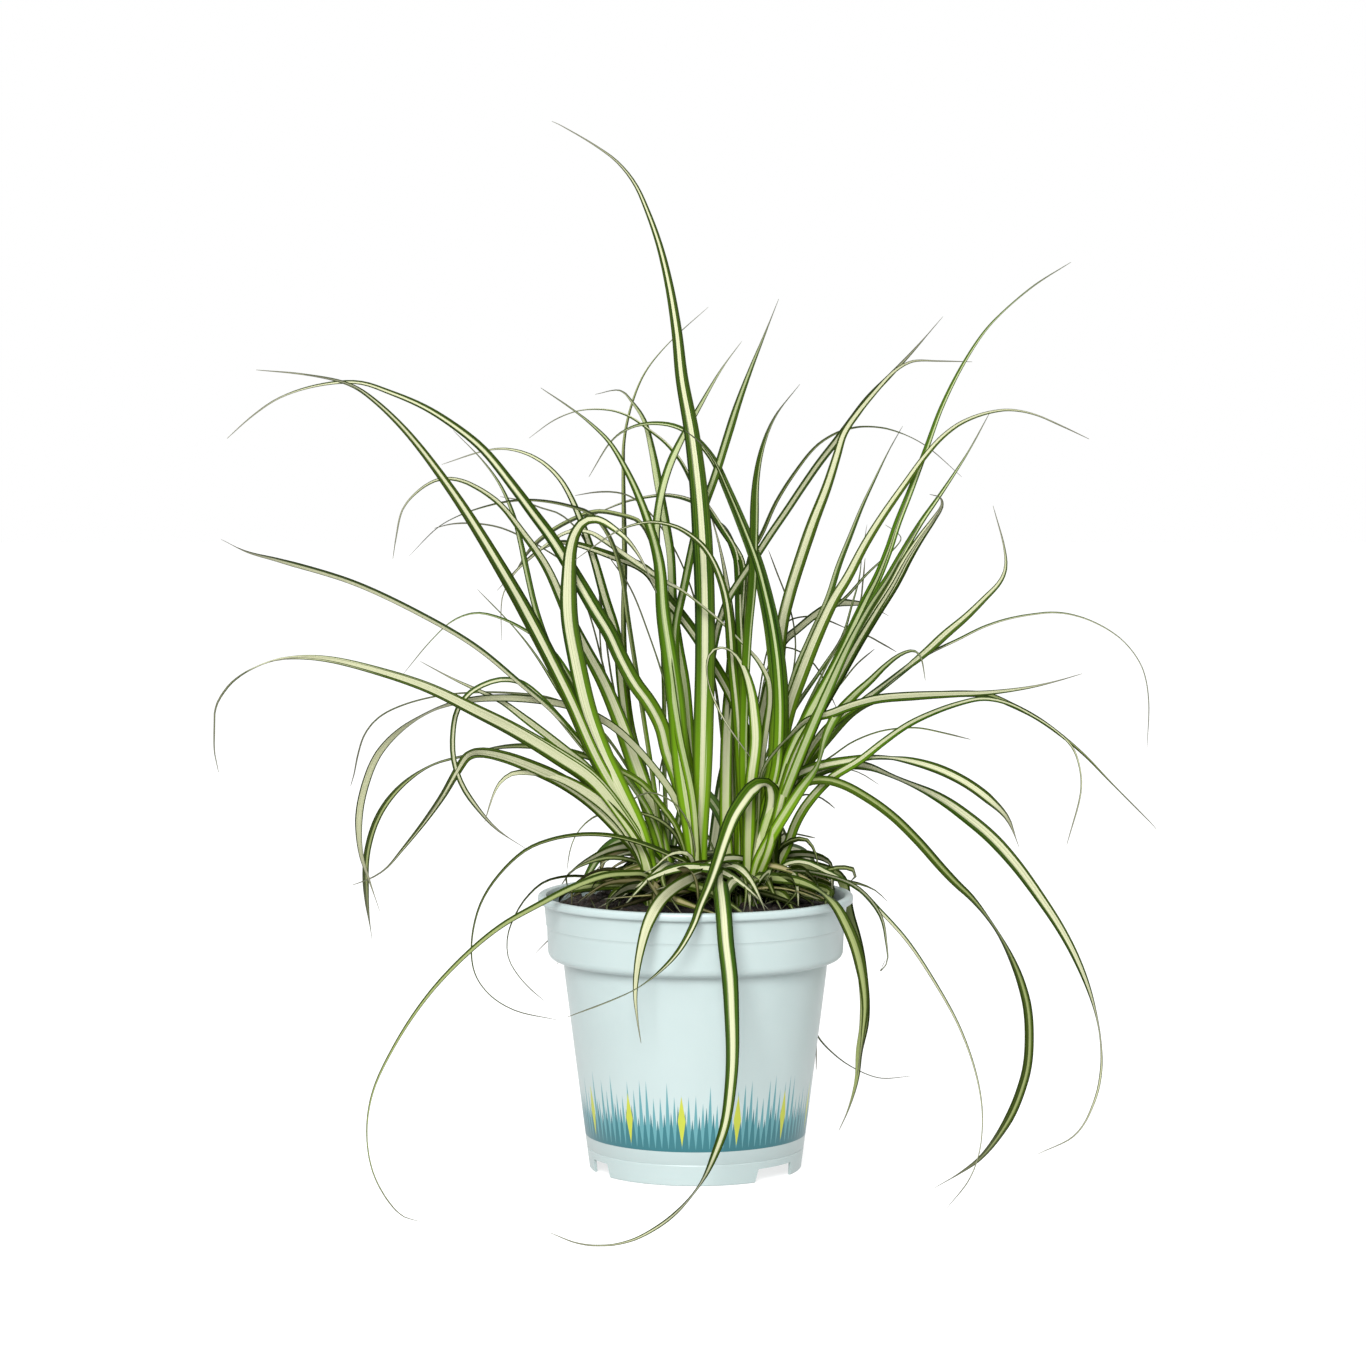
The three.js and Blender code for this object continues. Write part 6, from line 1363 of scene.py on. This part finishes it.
def keep_off_ground(leaf, depth):
    """A sample below the ground comes nearer on its sight line until it hangs above it."""
    height = on_part(np.column_stack([leaf["seen"][:, :2], depth]))[:, 2]
    lack = np.maximum(leaf["half_rise"] + GROUND_CLEARANCE - height, 0)
    return depth - lack * (depth - STATION[1]) / (STATION[2] - height)


print("leaves keep", POT_CLEARANCE, "mm off the pot and", GROUND_CLEARANCE, "mm off the ground")

# %% Parting the leaves
LEAF_CLEARANCE = 0.8
CLEARING_GAIN = 1.6
CLEARING_PASSES = 90
SETTLING_PASSES = 14
FREE_LEAST = 1e-3


def joined(key):
    """One measure of all the leaves' samples, as one list."""
    return np.concatenate([leaf[key] for leaf in every_leaf])


def part_leaves():
    """The depth of every sample, once no two tufts cross."""
    depths = joined("seen")[:, 2].tolist()
    thick = (joined("half_depth") + joined("slack")).tolist()
    free = joined("freedom").tolist()
    pairs = [(a, b, side, thick[a] + thick[b], free[a] / (free[a] + free[b]))
             for a, b, side in contacts if free[a] + free[b] >= FREE_LEAST]
    for step in range(CLEARING_PASSES):
        settling = step >= CLEARING_PASSES - SETTLING_PASSES
        clearance = LEAF_CLEARANCE * (1 if settling else CLEARING_GAIN)
        for a, b, side, need, share in pairs:
            lack = need + clearance - side * (depths[b] - depths[a])
            if lack > 0:
                depths[a] -= side * lack * share
                depths[b] += side * lack * (1 - share)
        for leaf in every_leaf:
            where = slice(leaf["first"], leaf["first"] + len(leaf["seen"]))
            depth = np.array(depths[where])
            if not settling:
                depth = smooth_depth(leaf, depth)
            depths[where] = keep_off_ground(leaf, keep_off_pot(leaf, depth)).tolist()
    return depths


parted = part_leaves()
for leaf in every_leaf:
    own_depth = parted[leaf["first"]:leaf["first"] + len(leaf["seen"])]
    leaf["seen"] = np.column_stack([leaf["seen"][:, :2], own_depth])
print("leaves parted, deepest", round(max(parted)), "nearest", round(min(parted)))

# %% [markdown]
# ## Fine leaves
# Between the broad leaves stand a few as thin as a hair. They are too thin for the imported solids, and only
# grow here, in the tufts that they rise from. Their rows hold a breadth, a lean and a route.

# %% Hair-thin leaves
HAIRS = {
    "left_rear": [
        (1.3, 20, [(-20, 150, 30), (-38, 180, 32), (-50, 190, 32), (-60, 194.3, 31), (-75, 196.3, 30),
            (-90, 196.6, 29), (-105, 195.3, 28), (-120, 191.5, 27), (-130, 186.5, 26), (-136, 179.5, 25),
            (-139, 170.5, 25), (-140.5, 163, 25), (-142, 158, 25)]),
        (1.2, 20, [(-20, 150, 22), (-30, 175, 22), (-36, 195, 22), (-38.5, 210, 22),
            (-39.5, 228, 22), (-39, 245, 22)]),
        (1, 20, [(-22, 150, 34), (-34, 200, 36), (-40, 240, 38), (-46, 260, 38), (-55, 269.5, 38),
            (-63, 272.3, 38), (-72, 275.5, 38), (-80, 277, 38)]),
        (1, 20, [(-22, 150, 38), (-36, 200, 40), (-44, 230, 42), (-52, 248, 42), (-62, 255.5, 42),
            (-70, 260, 42), (-80, 264.3, 42), (-90, 266, 42), (-100, 265.8, 42), (-107, 264, 42)]),
    ],
    "middle": [
        (1.4, 10, [(-4, 150, 10), (-8, 180, 12), (-12.5, 200, 14), (-19, 220, 14), (-27, 240, 14),
            (-36, 253, 14)]),
        (1, 0, [(-2, 140, -6), (-6, 148, -6), (-9.5, 151.5, -6), (-14, 154, -6), (-19, 155.3, -6),
            (-24, 153.6, -6), (-28.5, 150.3, -6)]),
    ],
    "rear": [
        (1.2, 30, [(13, 150, 26), (8, 200, 30), (-2, 240, 30), (-10, 258, 29), (-17.7, 269.2, 28),
            (-21.6, 273.2, 27), (-26.7, 277.1, 26), (-33, 278.8, 25), (-41, 278.8, 24), (-49.4, 277.4, 23)]),
        (1.2, 30, [(22, 150, 26), (32, 178, 26), (38.5, 198, 25), (41, 213, 24), (40.2, 225, 23),
            (37, 236.5, 22), (33.5, 245.5, 21), (29.9, 255, 20)]),
        (1, 30, [(20, 150, 30), (26, 190, 30), (31, 210, 29), (36.6, 215, 28), (42, 213.8, 27),
            (47, 210, 26), (51, 205, 25), (58, 190, 25)]),
        (1, 30, [(21, 150, 32), (26, 195, 34), (31, 218, 34), (37.7, 225.8, 33),
            (44.6, 227.8, 32), (52, 227, 31), (63, 222.5, 30)]),
        (1, 20, [(4, 140, 22), (-4, 165, 22), (-9, 178, 22), (-11.5, 180, 22), (-13, 172, 22),
            (-14.8, 163, 22), (-14.8, 155.6, 22)]),
    ],
    "right_rear": [
        (1, 30, [(34, 160, 18), (48, 195, 20), (58, 214, 20), (65, 219.5, 20), (70, 220, 20),
            (76, 217, 20), (82.5, 213.3, 20)]),
        (1, 30, [(34, 155, 20), (44, 178, 22), (53, 192, 22), (60, 200.5, 22), (66, 208, 22),
            (73.5, 214.5, 22)]),
        (1, 0, [(35, 147, 13), (41, 153, 14), (47, 154.5, 14), (52.5, 152.6, 14), (57.5, 148.6, 14)]),
        (1, 0, [(33, 135, 12), (37, 138.4, 14), (42, 138, 16), (49.5, 136.4, 18)]),
        (1.2, 30, [(38, 170, 24), (56, 212, 24), (67, 232, 22), (68.6, 242, 22), (69.5, 252, 22)]),
    ],
}
FIRST_HAIR_KEY = 60

for tuft_index, name in enumerate(TUFTS):
    for index, (width, lean, route) in enumerate(HAIRS.get(name, [])):
        key = tuft_index * KEYS_PER_TUFT + FIRST_HAIR_KEY + index
        fine = grown_leaf("hair", width, leant(route, lean, 0), [], TUFTS[name]["crown"], key)
        grown[name].append(fine)
print("all leaves:", {name: len(leaves) for name, leaves in grown.items()})

# %% [markdown]
# ## The stripe on each leaf
# The pale stripe is seldom central. For most leaves it is given here as (half its breadth, how far it lies
# to the left of the keel), both in shares of the blade's half breadth and as seen going up the leaf. A third
# number is the share of the length from which a twisted leaf shows its back, with painted shade: there its
# margins are painted dark and its stripe thin. Leaves that aren't listed take their stripe from their look
# and from chance.

# %% Stripes
STRIPES = {
    "left": {0: (0.44, 0.15), 1: (0.32, 0.11), 2: (0.52, 0.28), 3: (0.7, -0.04, 0.8), 4: (0.29, 0.21, 0.64),
        5: (0.66, 0.12), 6: (0.57, -0.05), 7: (0.4, 0.2), 9: (0.32, 0.49), 10: (0.53, 0.27)},
    "left_rear": {0: (0.43, -0.17), 1: (0.44, 0.1), 2: (0.46, 0.35), 3: (0.36, 0.25), 4: (0.4, 0.4),
        5: (0.42, -0.38), 6: (0.26, 0.5), 11: (0.34, 0.16)},
    "middle": {0: (0.28, 0), 1: (0.28, -0.05), 2: (0.34, 0.12), 3: (0.75, 0), 4: (0.3, 0.3),
        6: (0.17, 0.5), 7: (0.34, 0.18), 8: (0.55, -0.25), 9: (0.41, 0.13), 10: (0.52, 0.28),
        12: (0.62, 0)},
    "rear": {0: (0.31, 0.25), 1: (0.28, -0.5), 2: (0.25, -0.37), 3: (0.16, -0.5), 6: (0.6, 0),
        8: (0.18, 0.5)},
    "right": {0: (0.22, 0.27), 1: (0.26, -0.3), 2: (0.3, -0.2), 3: (0.5, 0.1), 4: (0.16, -0.5),
        5: (0.5, 0.1), 6: (0.25, -0.05), 7: (0.64, -0.16), 8: (0.34, 0.16), 9: (0.5, 0.2),
        10: (0.34, 0.22), 11: (0.36, 0), 12: (0.42, -0.1), 16: (0.46, 0), 17: (0.52, 0.1), 18: (0.46, 0)},
    "right_rear": {0: (0.49, 0.1), 1: (0.47, 0.26), 2: (0.34, 0.47), 4: (0.44, 0.18), 5: (0.29, -0.5),
        6: (0.35, 0.4), 7: (0.36, 0.2), 8: (0.33, -0.47), 9: (0.42, -0.06), 10: (0.5, 0.12),
        11: (0.28, 0.1), 13: (0.22, 0.16), 14: (0.75, -0.15), 15: (0.53, -0.27), 16: (0.37, 0.28),
        19: (0.36, 0.09)},
}

for name, leaves in STRIPES.items():
    for index, stripe in leaves.items():
        grown[name][index]["stripe"] = stripe
print("stripes listed:", sum(len(leaves) for leaves in STRIPES.values()))

# %% [markdown]
# ## The colours along a leaf
# A new leaf is yellow-green at its foot and deeper green further out, and its margins darken towards the
# tip. The foot is also painted brighter than its own yellow-green, as painted light that makes up for the
# shade between the leaves. These colours are worked out for every point of a blade and kept as attributes of
# its mesh, so that one material serves all the leaves and each still has its own colours.


# %% Looks
def light(red, green, blue):
    """A paint as three numbers, ready to be mixed along a leaf."""
    return np.array(paint(red, green, blue)[:3])


CREAM = light(230, 232, 190)
PALE_GREEN = light(204, 216, 160)
# Each look: the middle stripe's share of the half breadth, its softness, the stripe's colour, the margin's.
LOOKS = {
    "cream": (0.70, 0.06, CREAM, light(72, 100, 14)),
    "even": (0.50, 0.07, CREAM, light(52, 92, 0)),
    "wide": (0.42, 0.07, CREAM, light(40, 76, 0)),
    "green": (0.28, 0.10, PALE_GREEN, light(70, 118, 0)),
    "deep": (0.24, 0.07, PALE_GREEN, light(42, 90, 0)),
    "bright": (0.34, 0.10, PALE_GREEN, light(106, 154, 8)),
    "dark": (0.32, 0.10, light(168, 180, 116), light(38, 60, 0)),
    "hair": (0.30, 0.20, light(132, 134, 108), light(84, 90, 62)),
    "old": (0.45, 0.20, light(186, 176, 128), light(100, 96, 44)),
}
print("looks:", ", ".join(LOOKS))

# %% The blade's own map
# Painted light: the margin at a leaf's foot, brighter than its own yellow-green to make up for shade between
# leaves.
MARGIN_FOOT_YOUNG_AND_LIT = light(128, 176, 22)
MARGIN_FAR = light(48, 56, 14)
# Painted shade: the dark margin colour of a twisted leaf's turned back.
SHADED_BACK_MARGIN = light(44, 52, 24)
STRIPE_FOOT_YOUNG_AND_LIT = light(214, 224, 156)
# Ranges of chance, then where a fade begins and ends: a share of the length, or mm from the foot.
STRIPE_CHANCE = (0.85, 1.15)
SHIFT_CHANCE = 0.34
MARGIN_CHANCE = (0.85, 1.2)
FAR_FADE = (0.3, 0.85)
FAR_MOST = 0.65
YOUNG_AND_LIT_MARGIN = (25, 130)
YOUNG_AND_LIT_STRIPE = (20, 70)
YOUNG_AND_LIT_STRIPE_MOST = 0.8
# Painted shade on a turned back: how fast it comes in, and how thin the stripe gets there.
SHADED_BACK_FADE = 0.03
SHADED_BACK_STRIPE = 0.1


def eased(value, low, high):
    """0 below low, 1 above high, and a smooth rise between."""
    share = np.clip((value - low) / (high - low), 0, 1)
    return share * share * (3 - 2 * share)


def map_blade(mesh, leaf, across, share):
    """Where each point is on the blade, and the leaf's colours there, for the material to read."""
    key = leaf["key"]
    stripe, soft, stripe_colour, margin_colour = LOOKS[leaf["look"]]
    by_chance = (stripe * between(key + 0.7, *STRIPE_CHANCE), SHIFT_CHANCE * (repeatable(key + 0.9) - 0.5))
    stripe, shift, *turned = leaf.get("stripe", by_chance)
    # Painted shade: past its twist the blade's back gets dark margins and a thin stripe.
    back = eased(share, turned[0], turned[0] + SHADED_BACK_FADE) if turned else 0 * share
    travelled = (share * leaf["length"])[:, None]
    fresh = leaf.get("fresh", 0)
    far = FAR_MOST * eased(share, *FAR_FADE)[:, None]
    margin = mix(margin_colour * between(key + 0.3, *MARGIN_CHANCE), MARGIN_FAR, far)
    # Painted light, partly the leaf's own yellow-green: a tall leaf's margins and stripe brighten towards its
    # foot.
    margin = mix(MARGIN_FOOT_YOUNG_AND_LIT, margin, 1 - fresh * (1 - eased(travelled, *YOUNG_AND_LIT_MARGIN)))
    lit_young_stripe = YOUNG_AND_LIT_STRIPE_MOST * fresh * (1 - eased(travelled, *YOUNG_AND_LIT_STRIPE))
    every = np.ones(len(share))
    side = leaf.get("side", 1)
    values = {
        "blade": np.column_stack([across, share, every * (leaf["length"] / 100)]),
        "stripe": np.column_stack([mix(stripe, SHADED_BACK_STRIPE, back), every * soft, every * (shift * side)]),
        "stripe_colour": mix(STRIPE_FOOT_YOUNG_AND_LIT, stripe_colour, 1 - lit_young_stripe),
        "margin_colour": mix(margin, SHADED_BACK_MARGIN, back[:, None]),
    }
    for name, rows in values.items():
        attribute = mesh.attributes.new(name, "FLOAT_VECTOR", "POINT")
        attribute.data.foreach_set("vector", rows.astype(np.float32).ravel())


print("margins fade from", FAR_FADE[0], "to", FAR_FADE[1], "of a leaf's length")

# %% [markdown]
# ## One blade, laid along every line
# A sedge's leaf is a long strap, folded along its keel, thick in the middle and thin at its margins, with a
# waxy sheen. It is modelled once, flat: a grid whose columns run from margin to margin, folded by moving
# columns in edit mode, and then closed by a solidify modifier. Each leaf is a copy with its own mesh, whose
# rows are laid on the leaf's middle line, one row at a time.

# %% The flat blade
BLADE_ROWS = 110
SHEATH_ROWS = 20
BLADE_COLUMNS = 8
FOLD = 0.22
FOLD_POWER = 1.25
THICK = 0.055


def flat_blade(rows):
    """A folded blade 2 across (-1 to 1) and 1 long (0 to 1 along y): its vertices and its faces."""
    deselect_all()
    grid = {"x_subdivisions": BLADE_COLUMNS, "y_subdivisions": rows}
    bpy.ops.mesh.primitive_grid_add(**grid, size=1, location=(0, 0, 0))
    blade = bpy.context.object
    bpy.ops.object.mode_set(mode="EDIT")
    bpy.ops.mesh.select_all(action="SELECT")
    bpy.ops.transform.translate(value=(0, 0.5, 0))
    bpy.ops.transform.resize(value=(2, 1, 1))
    for column in range(BLADE_COLUMNS + 1):
        across = column / BLADE_COLUMNS * 2 - 1
        bpy.ops.object.mode_set(mode="OBJECT")
        for vertex in blade.data.vertices:
            vertex.select = abs(vertex.co.x - across) < 1e-4
        bpy.ops.object.mode_set(mode="EDIT")
        bpy.ops.transform.translate(value=(0, 0, FOLD * 2 * (abs(across) ** FOLD_POWER - 0.5)))
    bpy.ops.object.mode_set(mode="OBJECT")
    solid = blade.modifiers.new("leaf_thickness", "SOLIDIFY")
    solid.thickness = THICK * 2
    solid.offset = 0
    apply_modifiers(blade)
    shape = np.array([v.co for v in blade.data.vertices])
    faces = [list(polygon.vertices) for polygon in blade.data.polygons]
    bpy.data.objects.remove(blade, do_unlink=True)
    return shape, faces


LONG_BLADE = flat_blade(BLADE_ROWS)
SHORT_BLADE = flat_blade(SHEATH_ROWS)
print("blade:", len(LONG_BLADE[0]), "vertices; sheath:", len(SHORT_BLADE[0]))

# %% Which way a blade faces along its line
BOX_INSET = 0.8
BOX_LOW, BOX_HIGH = (np.array(corner) / MM for corner in cad_box)
FOOT_WEIGHT = 0.2


def unit(rows):
    return rows / np.maximum(np.linalg.norm(rows, axis=1, keepdims=True), 1e-12)


def frames_of(leaf):
    """At each sample: the middle, kept inside the solids' box, and the ways it is broad and it faces."""
    middle = np.clip(on_part(leaf["seen"]), BOX_LOW + BOX_INSET, BOX_HIGH - BOX_INSET)
    index = np.arange(len(middle))
    along = unit(middle[np.minimum(index + 1, len(middle) - 1)] - middle[np.maximum(index - 1, 0)])
    seen = unit(np.cross(along, unit(middle - STATION)))
    deep = np.cross(along, seen)
    turn = leaf["turn"][:, None]
    broad = seen * np.cos(turn) + deep * np.sin(turn)
    facing = np.cross(along, broad)
    weight = np.linspace(FOOT_WEIGHT, 1, len(facing))
    leaf["side"] = 1 if (facing[:, 2] * weight).sum() > 0 else -1
    return middle, broad * leaf["side"], facing * leaf["side"]


frames = {name: [frames_of(leaf) for leaf in leaves] for name, leaves in grown.items()}
print("lines ready:", sum(len(lines) for lines in frames.values()))

# %% Laying a blade on its line
TIP_SHARE = 0.06
TIP_LEAST = 0.25
TIP_POWER = 0.7


def laid_blade(leaf, lines, template, name):
    """A copy of the blade whose rows follow the leaf, with its map kept as attributes."""
    middle, broad, facing = lines
    shape, faces = template
    share = shape[:, 1]
    at = share * (len(middle) - 1)
    low = np.minimum(at.astype(int), len(middle) - 2)

    def along(rows):
        """Values at the leaf's samples, as values at the blade's rows."""
        part = at - low
        part = part[:, None] if rows.ndim > 1 else part
        return mix(rows[low], rows[low + 1], part)

    tip = np.clip((1 - share) / TIP_SHARE, 0, 1) ** TIP_POWER
    half = along(leaf["breadth"]) / 2 * mix(TIP_LEAST, 1, tip)
    places = along(middle) + along(broad) * (half * shape[:, 0])[:, None]
    places = places + along(facing) * (half * shape[:, 2])[:, None]
    mesh = bpy.data.meshes.new(name)
    mesh.from_pydata((places * MM).tolist(), [], faces)
    thing = bpy.data.objects.new(name, mesh)
    bpy.context.scene.collection.objects.link(thing)
    map_blade(mesh, leaf, shape[:, 0], share)
    return thing


print("a blade narrows over its last", TIP_SHARE)

# %% [markdown]
# ## The leaf's finish
# Every blade carries a small map: how far a point lies across it and along it, and the leaf's colours, with
# painted light at its foot and painted shade on a turned back among them. So one material serves all: a pale
# stripe over the keel with ragged edges, deeper margins, thin parallel veins, bright yellow-green at the foot,
# part of it painted light, and a dry grey-brown tip.

# %% Leaf finish
LEAF_LIGHT = paint(122, 152, 40)
LEAF_EDGE = paint(12, 20, 0)
LEAF_TIP = paint(114, 114, 98)
LEAF_TO_LEAF = 37.0
# Noise drawn out along the blade: its scale across, its scale along, and its detail.
STREAKS = (7.0, 1.1, 2)
VEINS = (24.0, 0.5, 1)
RAGS = (1.0, 2.0, 2)
# Smooth rises: from, to, and the shares that they go between.
DARK_RIM = (0.6, 0.97, 0, 0.75)
DARK_VEINS = (0.52, 0.62, 0, 0.45)
LIGHT_VEINS = (0.48, 0.38, 0, 0.4)
DRY_TIP = (0.84, 0.99, 0, 0.8)


def leaf_finish():
    finish = Finish("sedge_leaf")
    across, share, length = finish.parts(finish.attribute("blade"))
    stripe, soft, shift = finish.parts(finish.attribute("stripe"))
    travelled = finish.math("MULTIPLY", share, length)
    offset = finish.math("MULTIPLY", length, LEAF_TO_LEAF)

    def lines(across_scale, along_scale, detail):
        """Fine parallel lines that differ from leaf to leaf."""
        sideways = finish.math("MULTIPLY_ADD", across, across_scale, offset)
        onward = finish.math("MULTIPLY", travelled, along_scale)
        return finish.noise(finish.vector(sideways, onward, offset), 1.0, detail=detail)

    streaks = lines(*STREAKS)
    veins = lines(*VEINS)
    ragged = finish.math("SUBTRACT", lines(*RAGS), 0.5)
    middle = finish.math("MULTIPLY_ADD", ragged, 0.2, shift)
    side = finish.math("ABSOLUTE", finish.math("SUBTRACT", across, middle))
    edge = finish.math("MULTIPLY_ADD", finish.math("SUBTRACT", streaks, 0.5), 0.4, stripe)
    margin = finish.ramp(side, finish.math("SUBTRACT", edge, soft), finish.math("ADD", edge, soft))

    rim = finish.ramp(finish.math("ABSOLUTE", across), *DARK_RIM)
    green = finish.blend(rim, finish.attribute("margin_colour"), LEAF_EDGE)
    pale = finish.blend(finish.ramp(veins, *DARK_VEINS), finish.attribute("stripe_colour"), green)
    green = finish.blend(finish.ramp(veins, *LIGHT_VEINS), green, LEAF_LIGHT)
    colour = finish.blend(margin, pale, green)
    colour = finish.blend(finish.ramp(share, *DRY_TIP), colour, LEAF_TIP)
    finish.look(Base_Color=colour, Roughness=finish.math("MULTIPLY_ADD", streaks, 0.16, 0.42))
    finish.look(Specular_IOR_Level=0.06)
    finish.bump(finish.math("ADD", veins, streaks), strength=0.25, distance=0.0003)
    return finish.material


leaf_material = leaf_finish()
print("leaf finish:", len(leaf_material.node_tree.nodes), "nodes")

# %% [markdown]
# ## The crowns
# At its foot each tuft is a tight cluster of old sheaths round a core that stands in the compost, and spent
# leaves of earlier years lie round it in loose arcs. The core is a spun spindle. Sheaths and spent leaves
# are blades too: the sheaths short and pressed close, the spent ones long, thin and bent down to the ground.

# %% Crown core
CORE_SECTION = [(0, 94), (3.6, 94), (5.0, 98), (5.0, 108), (4.2, 114), (2.4, 119), (0, 120.5)]
CORE_STEPS = 24
CORE_LENGTH = 300.0


def crown_core(crown, name):
    """The spindle that all of a tuft's leaves rise from, coloured as an old leaf."""
    core = turned_piece(f"{name}_core", CORE_SECTION, CORE_STEPS)
    core.location = (crown[0] * MM, crown[1] * MM, 0)
    apply_place(core)
    points = np.array([v.co for v in core.data.vertices]) / MM
    leaf = {"look": "old", "key": crown[0], "length": CORE_LENGTH}
    map_blade(core.data, leaf, points[:, 0] % 1, np.full(len(points), 0.5))
    return core


cores = {name: crown_core(tuft["crown"], name) for name, tuft in TUFTS.items()}
print("cores:", sorted(cores))


# %% Short blades
def short_blade(name, look, key, length, breadth, middle, facing, fresh):
    """A short blade on its own line, facing a given way."""
    along = unit(np.gradient(middle, axis=0))
    broad = unit(np.cross(facing, along))
    leaf = {"look": look, "key": key, "length": length, "breadth": breadth, "fresh": fresh}
    return laid_blade(leaf, (middle, broad, np.cross(along, broad)), SHORT_BLADE, name)


def picked(key, looks):
    """One of the looks, which only depends on the key."""
    return looks[int(repeatable(key) * len(looks))]


print("a short blade has", SHEATH_ROWS, "rows")

# %% Sheaths
SHEATHS = 14
SHEATH_STEPS = 9
SHEATH_SINK = 2
SHEATH_FOOT = (3.6, 4.4)
SHEATH_HEIGHT = (8, 24)
SHEATH_FLARE = (0.5, 4.0)
SHEATH_SWING = (-0.25, 0.25)
SHEATH_BREADTH = (3.2, 2.4)
SHEATH_TAPER = 0.85
# Painted light: the sheaths get the brighter painted foot too.
SHEATH_YOUNG_AND_LIT = 0.7
SHEATH_LOOKS = ["bright", "green", "old", "old"]


def sheath(crown, name, index):
    """A blade that hugs the core and opens at its tip."""
    key = len(name) * 17 + index * 3.1 + crown[0]
    steps = np.linspace(0, 1, SHEATH_STEPS)
    height = between(key + 0.1, *SHEATH_HEIGHT)
    flare = between(key + 0.2, *SHEATH_FLARE)
    out = SHEATH_FOOT[index % 2] + np.minimum(1, steps * 4) + flare * steps ** 2
    angle = index / SHEATHS * 2 * math.pi + repeatable(key) * 0.5
    swing = angle + between(key + 0.4, *SHEATH_SWING) * steps
    outward = np.column_stack([np.cos(swing), np.sin(swing), np.zeros(len(steps))])
    middle = outward * out[:, None] + [crown[0], crown[1], LEAF_ROOT_HEIGHT - SHEATH_SINK]
    middle[:, 2] += height * steps
    breadth = between(key + 0.5, *SHEATH_BREADTH) * (1 - SHEATH_TAPER * steps ** 2)
    look = picked(key + 0.6, SHEATH_LOOKS)
    return short_blade(f"{name}_sheath", look, key, height * 4, breadth, middle, -outward, SHEATH_YOUNG_AND_LIT)


print("sheaths to a tuft:", SHEATHS)

# %% Spent leaves
SPENT = 30
SPENT_STEPS = 17
SPENT_START = 3
SPENT_LIMIT = 56.5
SPENT_REACH = (22, 58)
SPENT_SWING = (-0.9, 0.9)
SPENT_ARCH = (0.07, 0.3)
SPENT_LIFT = 1.9
SPENT_FOOT_LIFT = 3
SPENT_BREADTH = (2.8, 6.0)
SPENT_TILT = (0.4, 1.2)
SPENT_LENGTH = 150.0
SPENT_LOOKS = ["dark", "wide", "old", "dark", "dark"]


def spent_leaf(crown, name, index):
    """A thin old leaf that rises a little from the crown, curls aside and lies down on the compost."""
    key = len(name) * 23 + index * 5.7 + crown[1]
    steps = np.linspace(0, 1, SPENT_STEPS)
    reach = between(key + 0.1, *SPENT_REACH)
    angle = index / SPENT * 2 * math.pi + repeatable(key) * 0.8
    swing = angle + between(key + 0.2, *SPENT_SWING) * steps ** 1.5
    outward = np.column_stack([np.cos(swing), np.sin(swing)])
    ground = outward * (SPENT_START + reach * steps)[:, None] + crown
    far = np.hypot(ground[:, 0], ground[:, 1])
    ground *= (np.minimum(far, SPENT_LIMIT) / np.maximum(far, 1e-6))[:, None]
    level = np.array([soil_height(x, y) for x, y in ground])
    arch = reach * between(key + 0.3, *SPENT_ARCH)
    rise = SPENT_LIFT + arch * 4 * steps * (1 - steps) + SPENT_FOOT_LIFT * (1 - steps)
    middle = np.column_stack([ground, level + rise])
    breadth = between(key + 0.4, *SPENT_BREADTH) * np.minimum(1, (1.02 - steps) * 2.2)
    look = picked(key + 0.6, SPENT_LOOKS)
    tilt = between(key + 0.8, *SPENT_TILT) * (1 if index % 2 else -1)
    aside = np.column_stack([-outward[:, 1], outward[:, 0]])
    facing = np.column_stack([aside * math.sin(tilt), np.full(len(steps), math.cos(tilt))])
    return short_blade(f"{name}_spent", look, key, SPENT_LENGTH, breadth, middle, facing, 0)


print("spent leaves to a tuft:", SPENT)

# %% The tufts
for name, leaves in grown.items():
    crown = TUFTS[name]["crown"]
    pieces = [cores[name]]
    pieces += [laid_blade(*pair, LONG_BLADE, f"{name}_leaf") for pair in zip(leaves, frames[name])]
    pieces += [sheath(crown, name, index) for index in range(SHEATHS)]
    pieces += [spent_leaf(crown, name, index) for index in range(SPENT)]
    tuft = join_pieces(pieces, f"blades_{name}")
    finish_piece(tuft, f"blades_{name}", leaf_material, smooth_degrees=60)
    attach(tuft, "root")
    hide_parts(f"tuft_{name}")
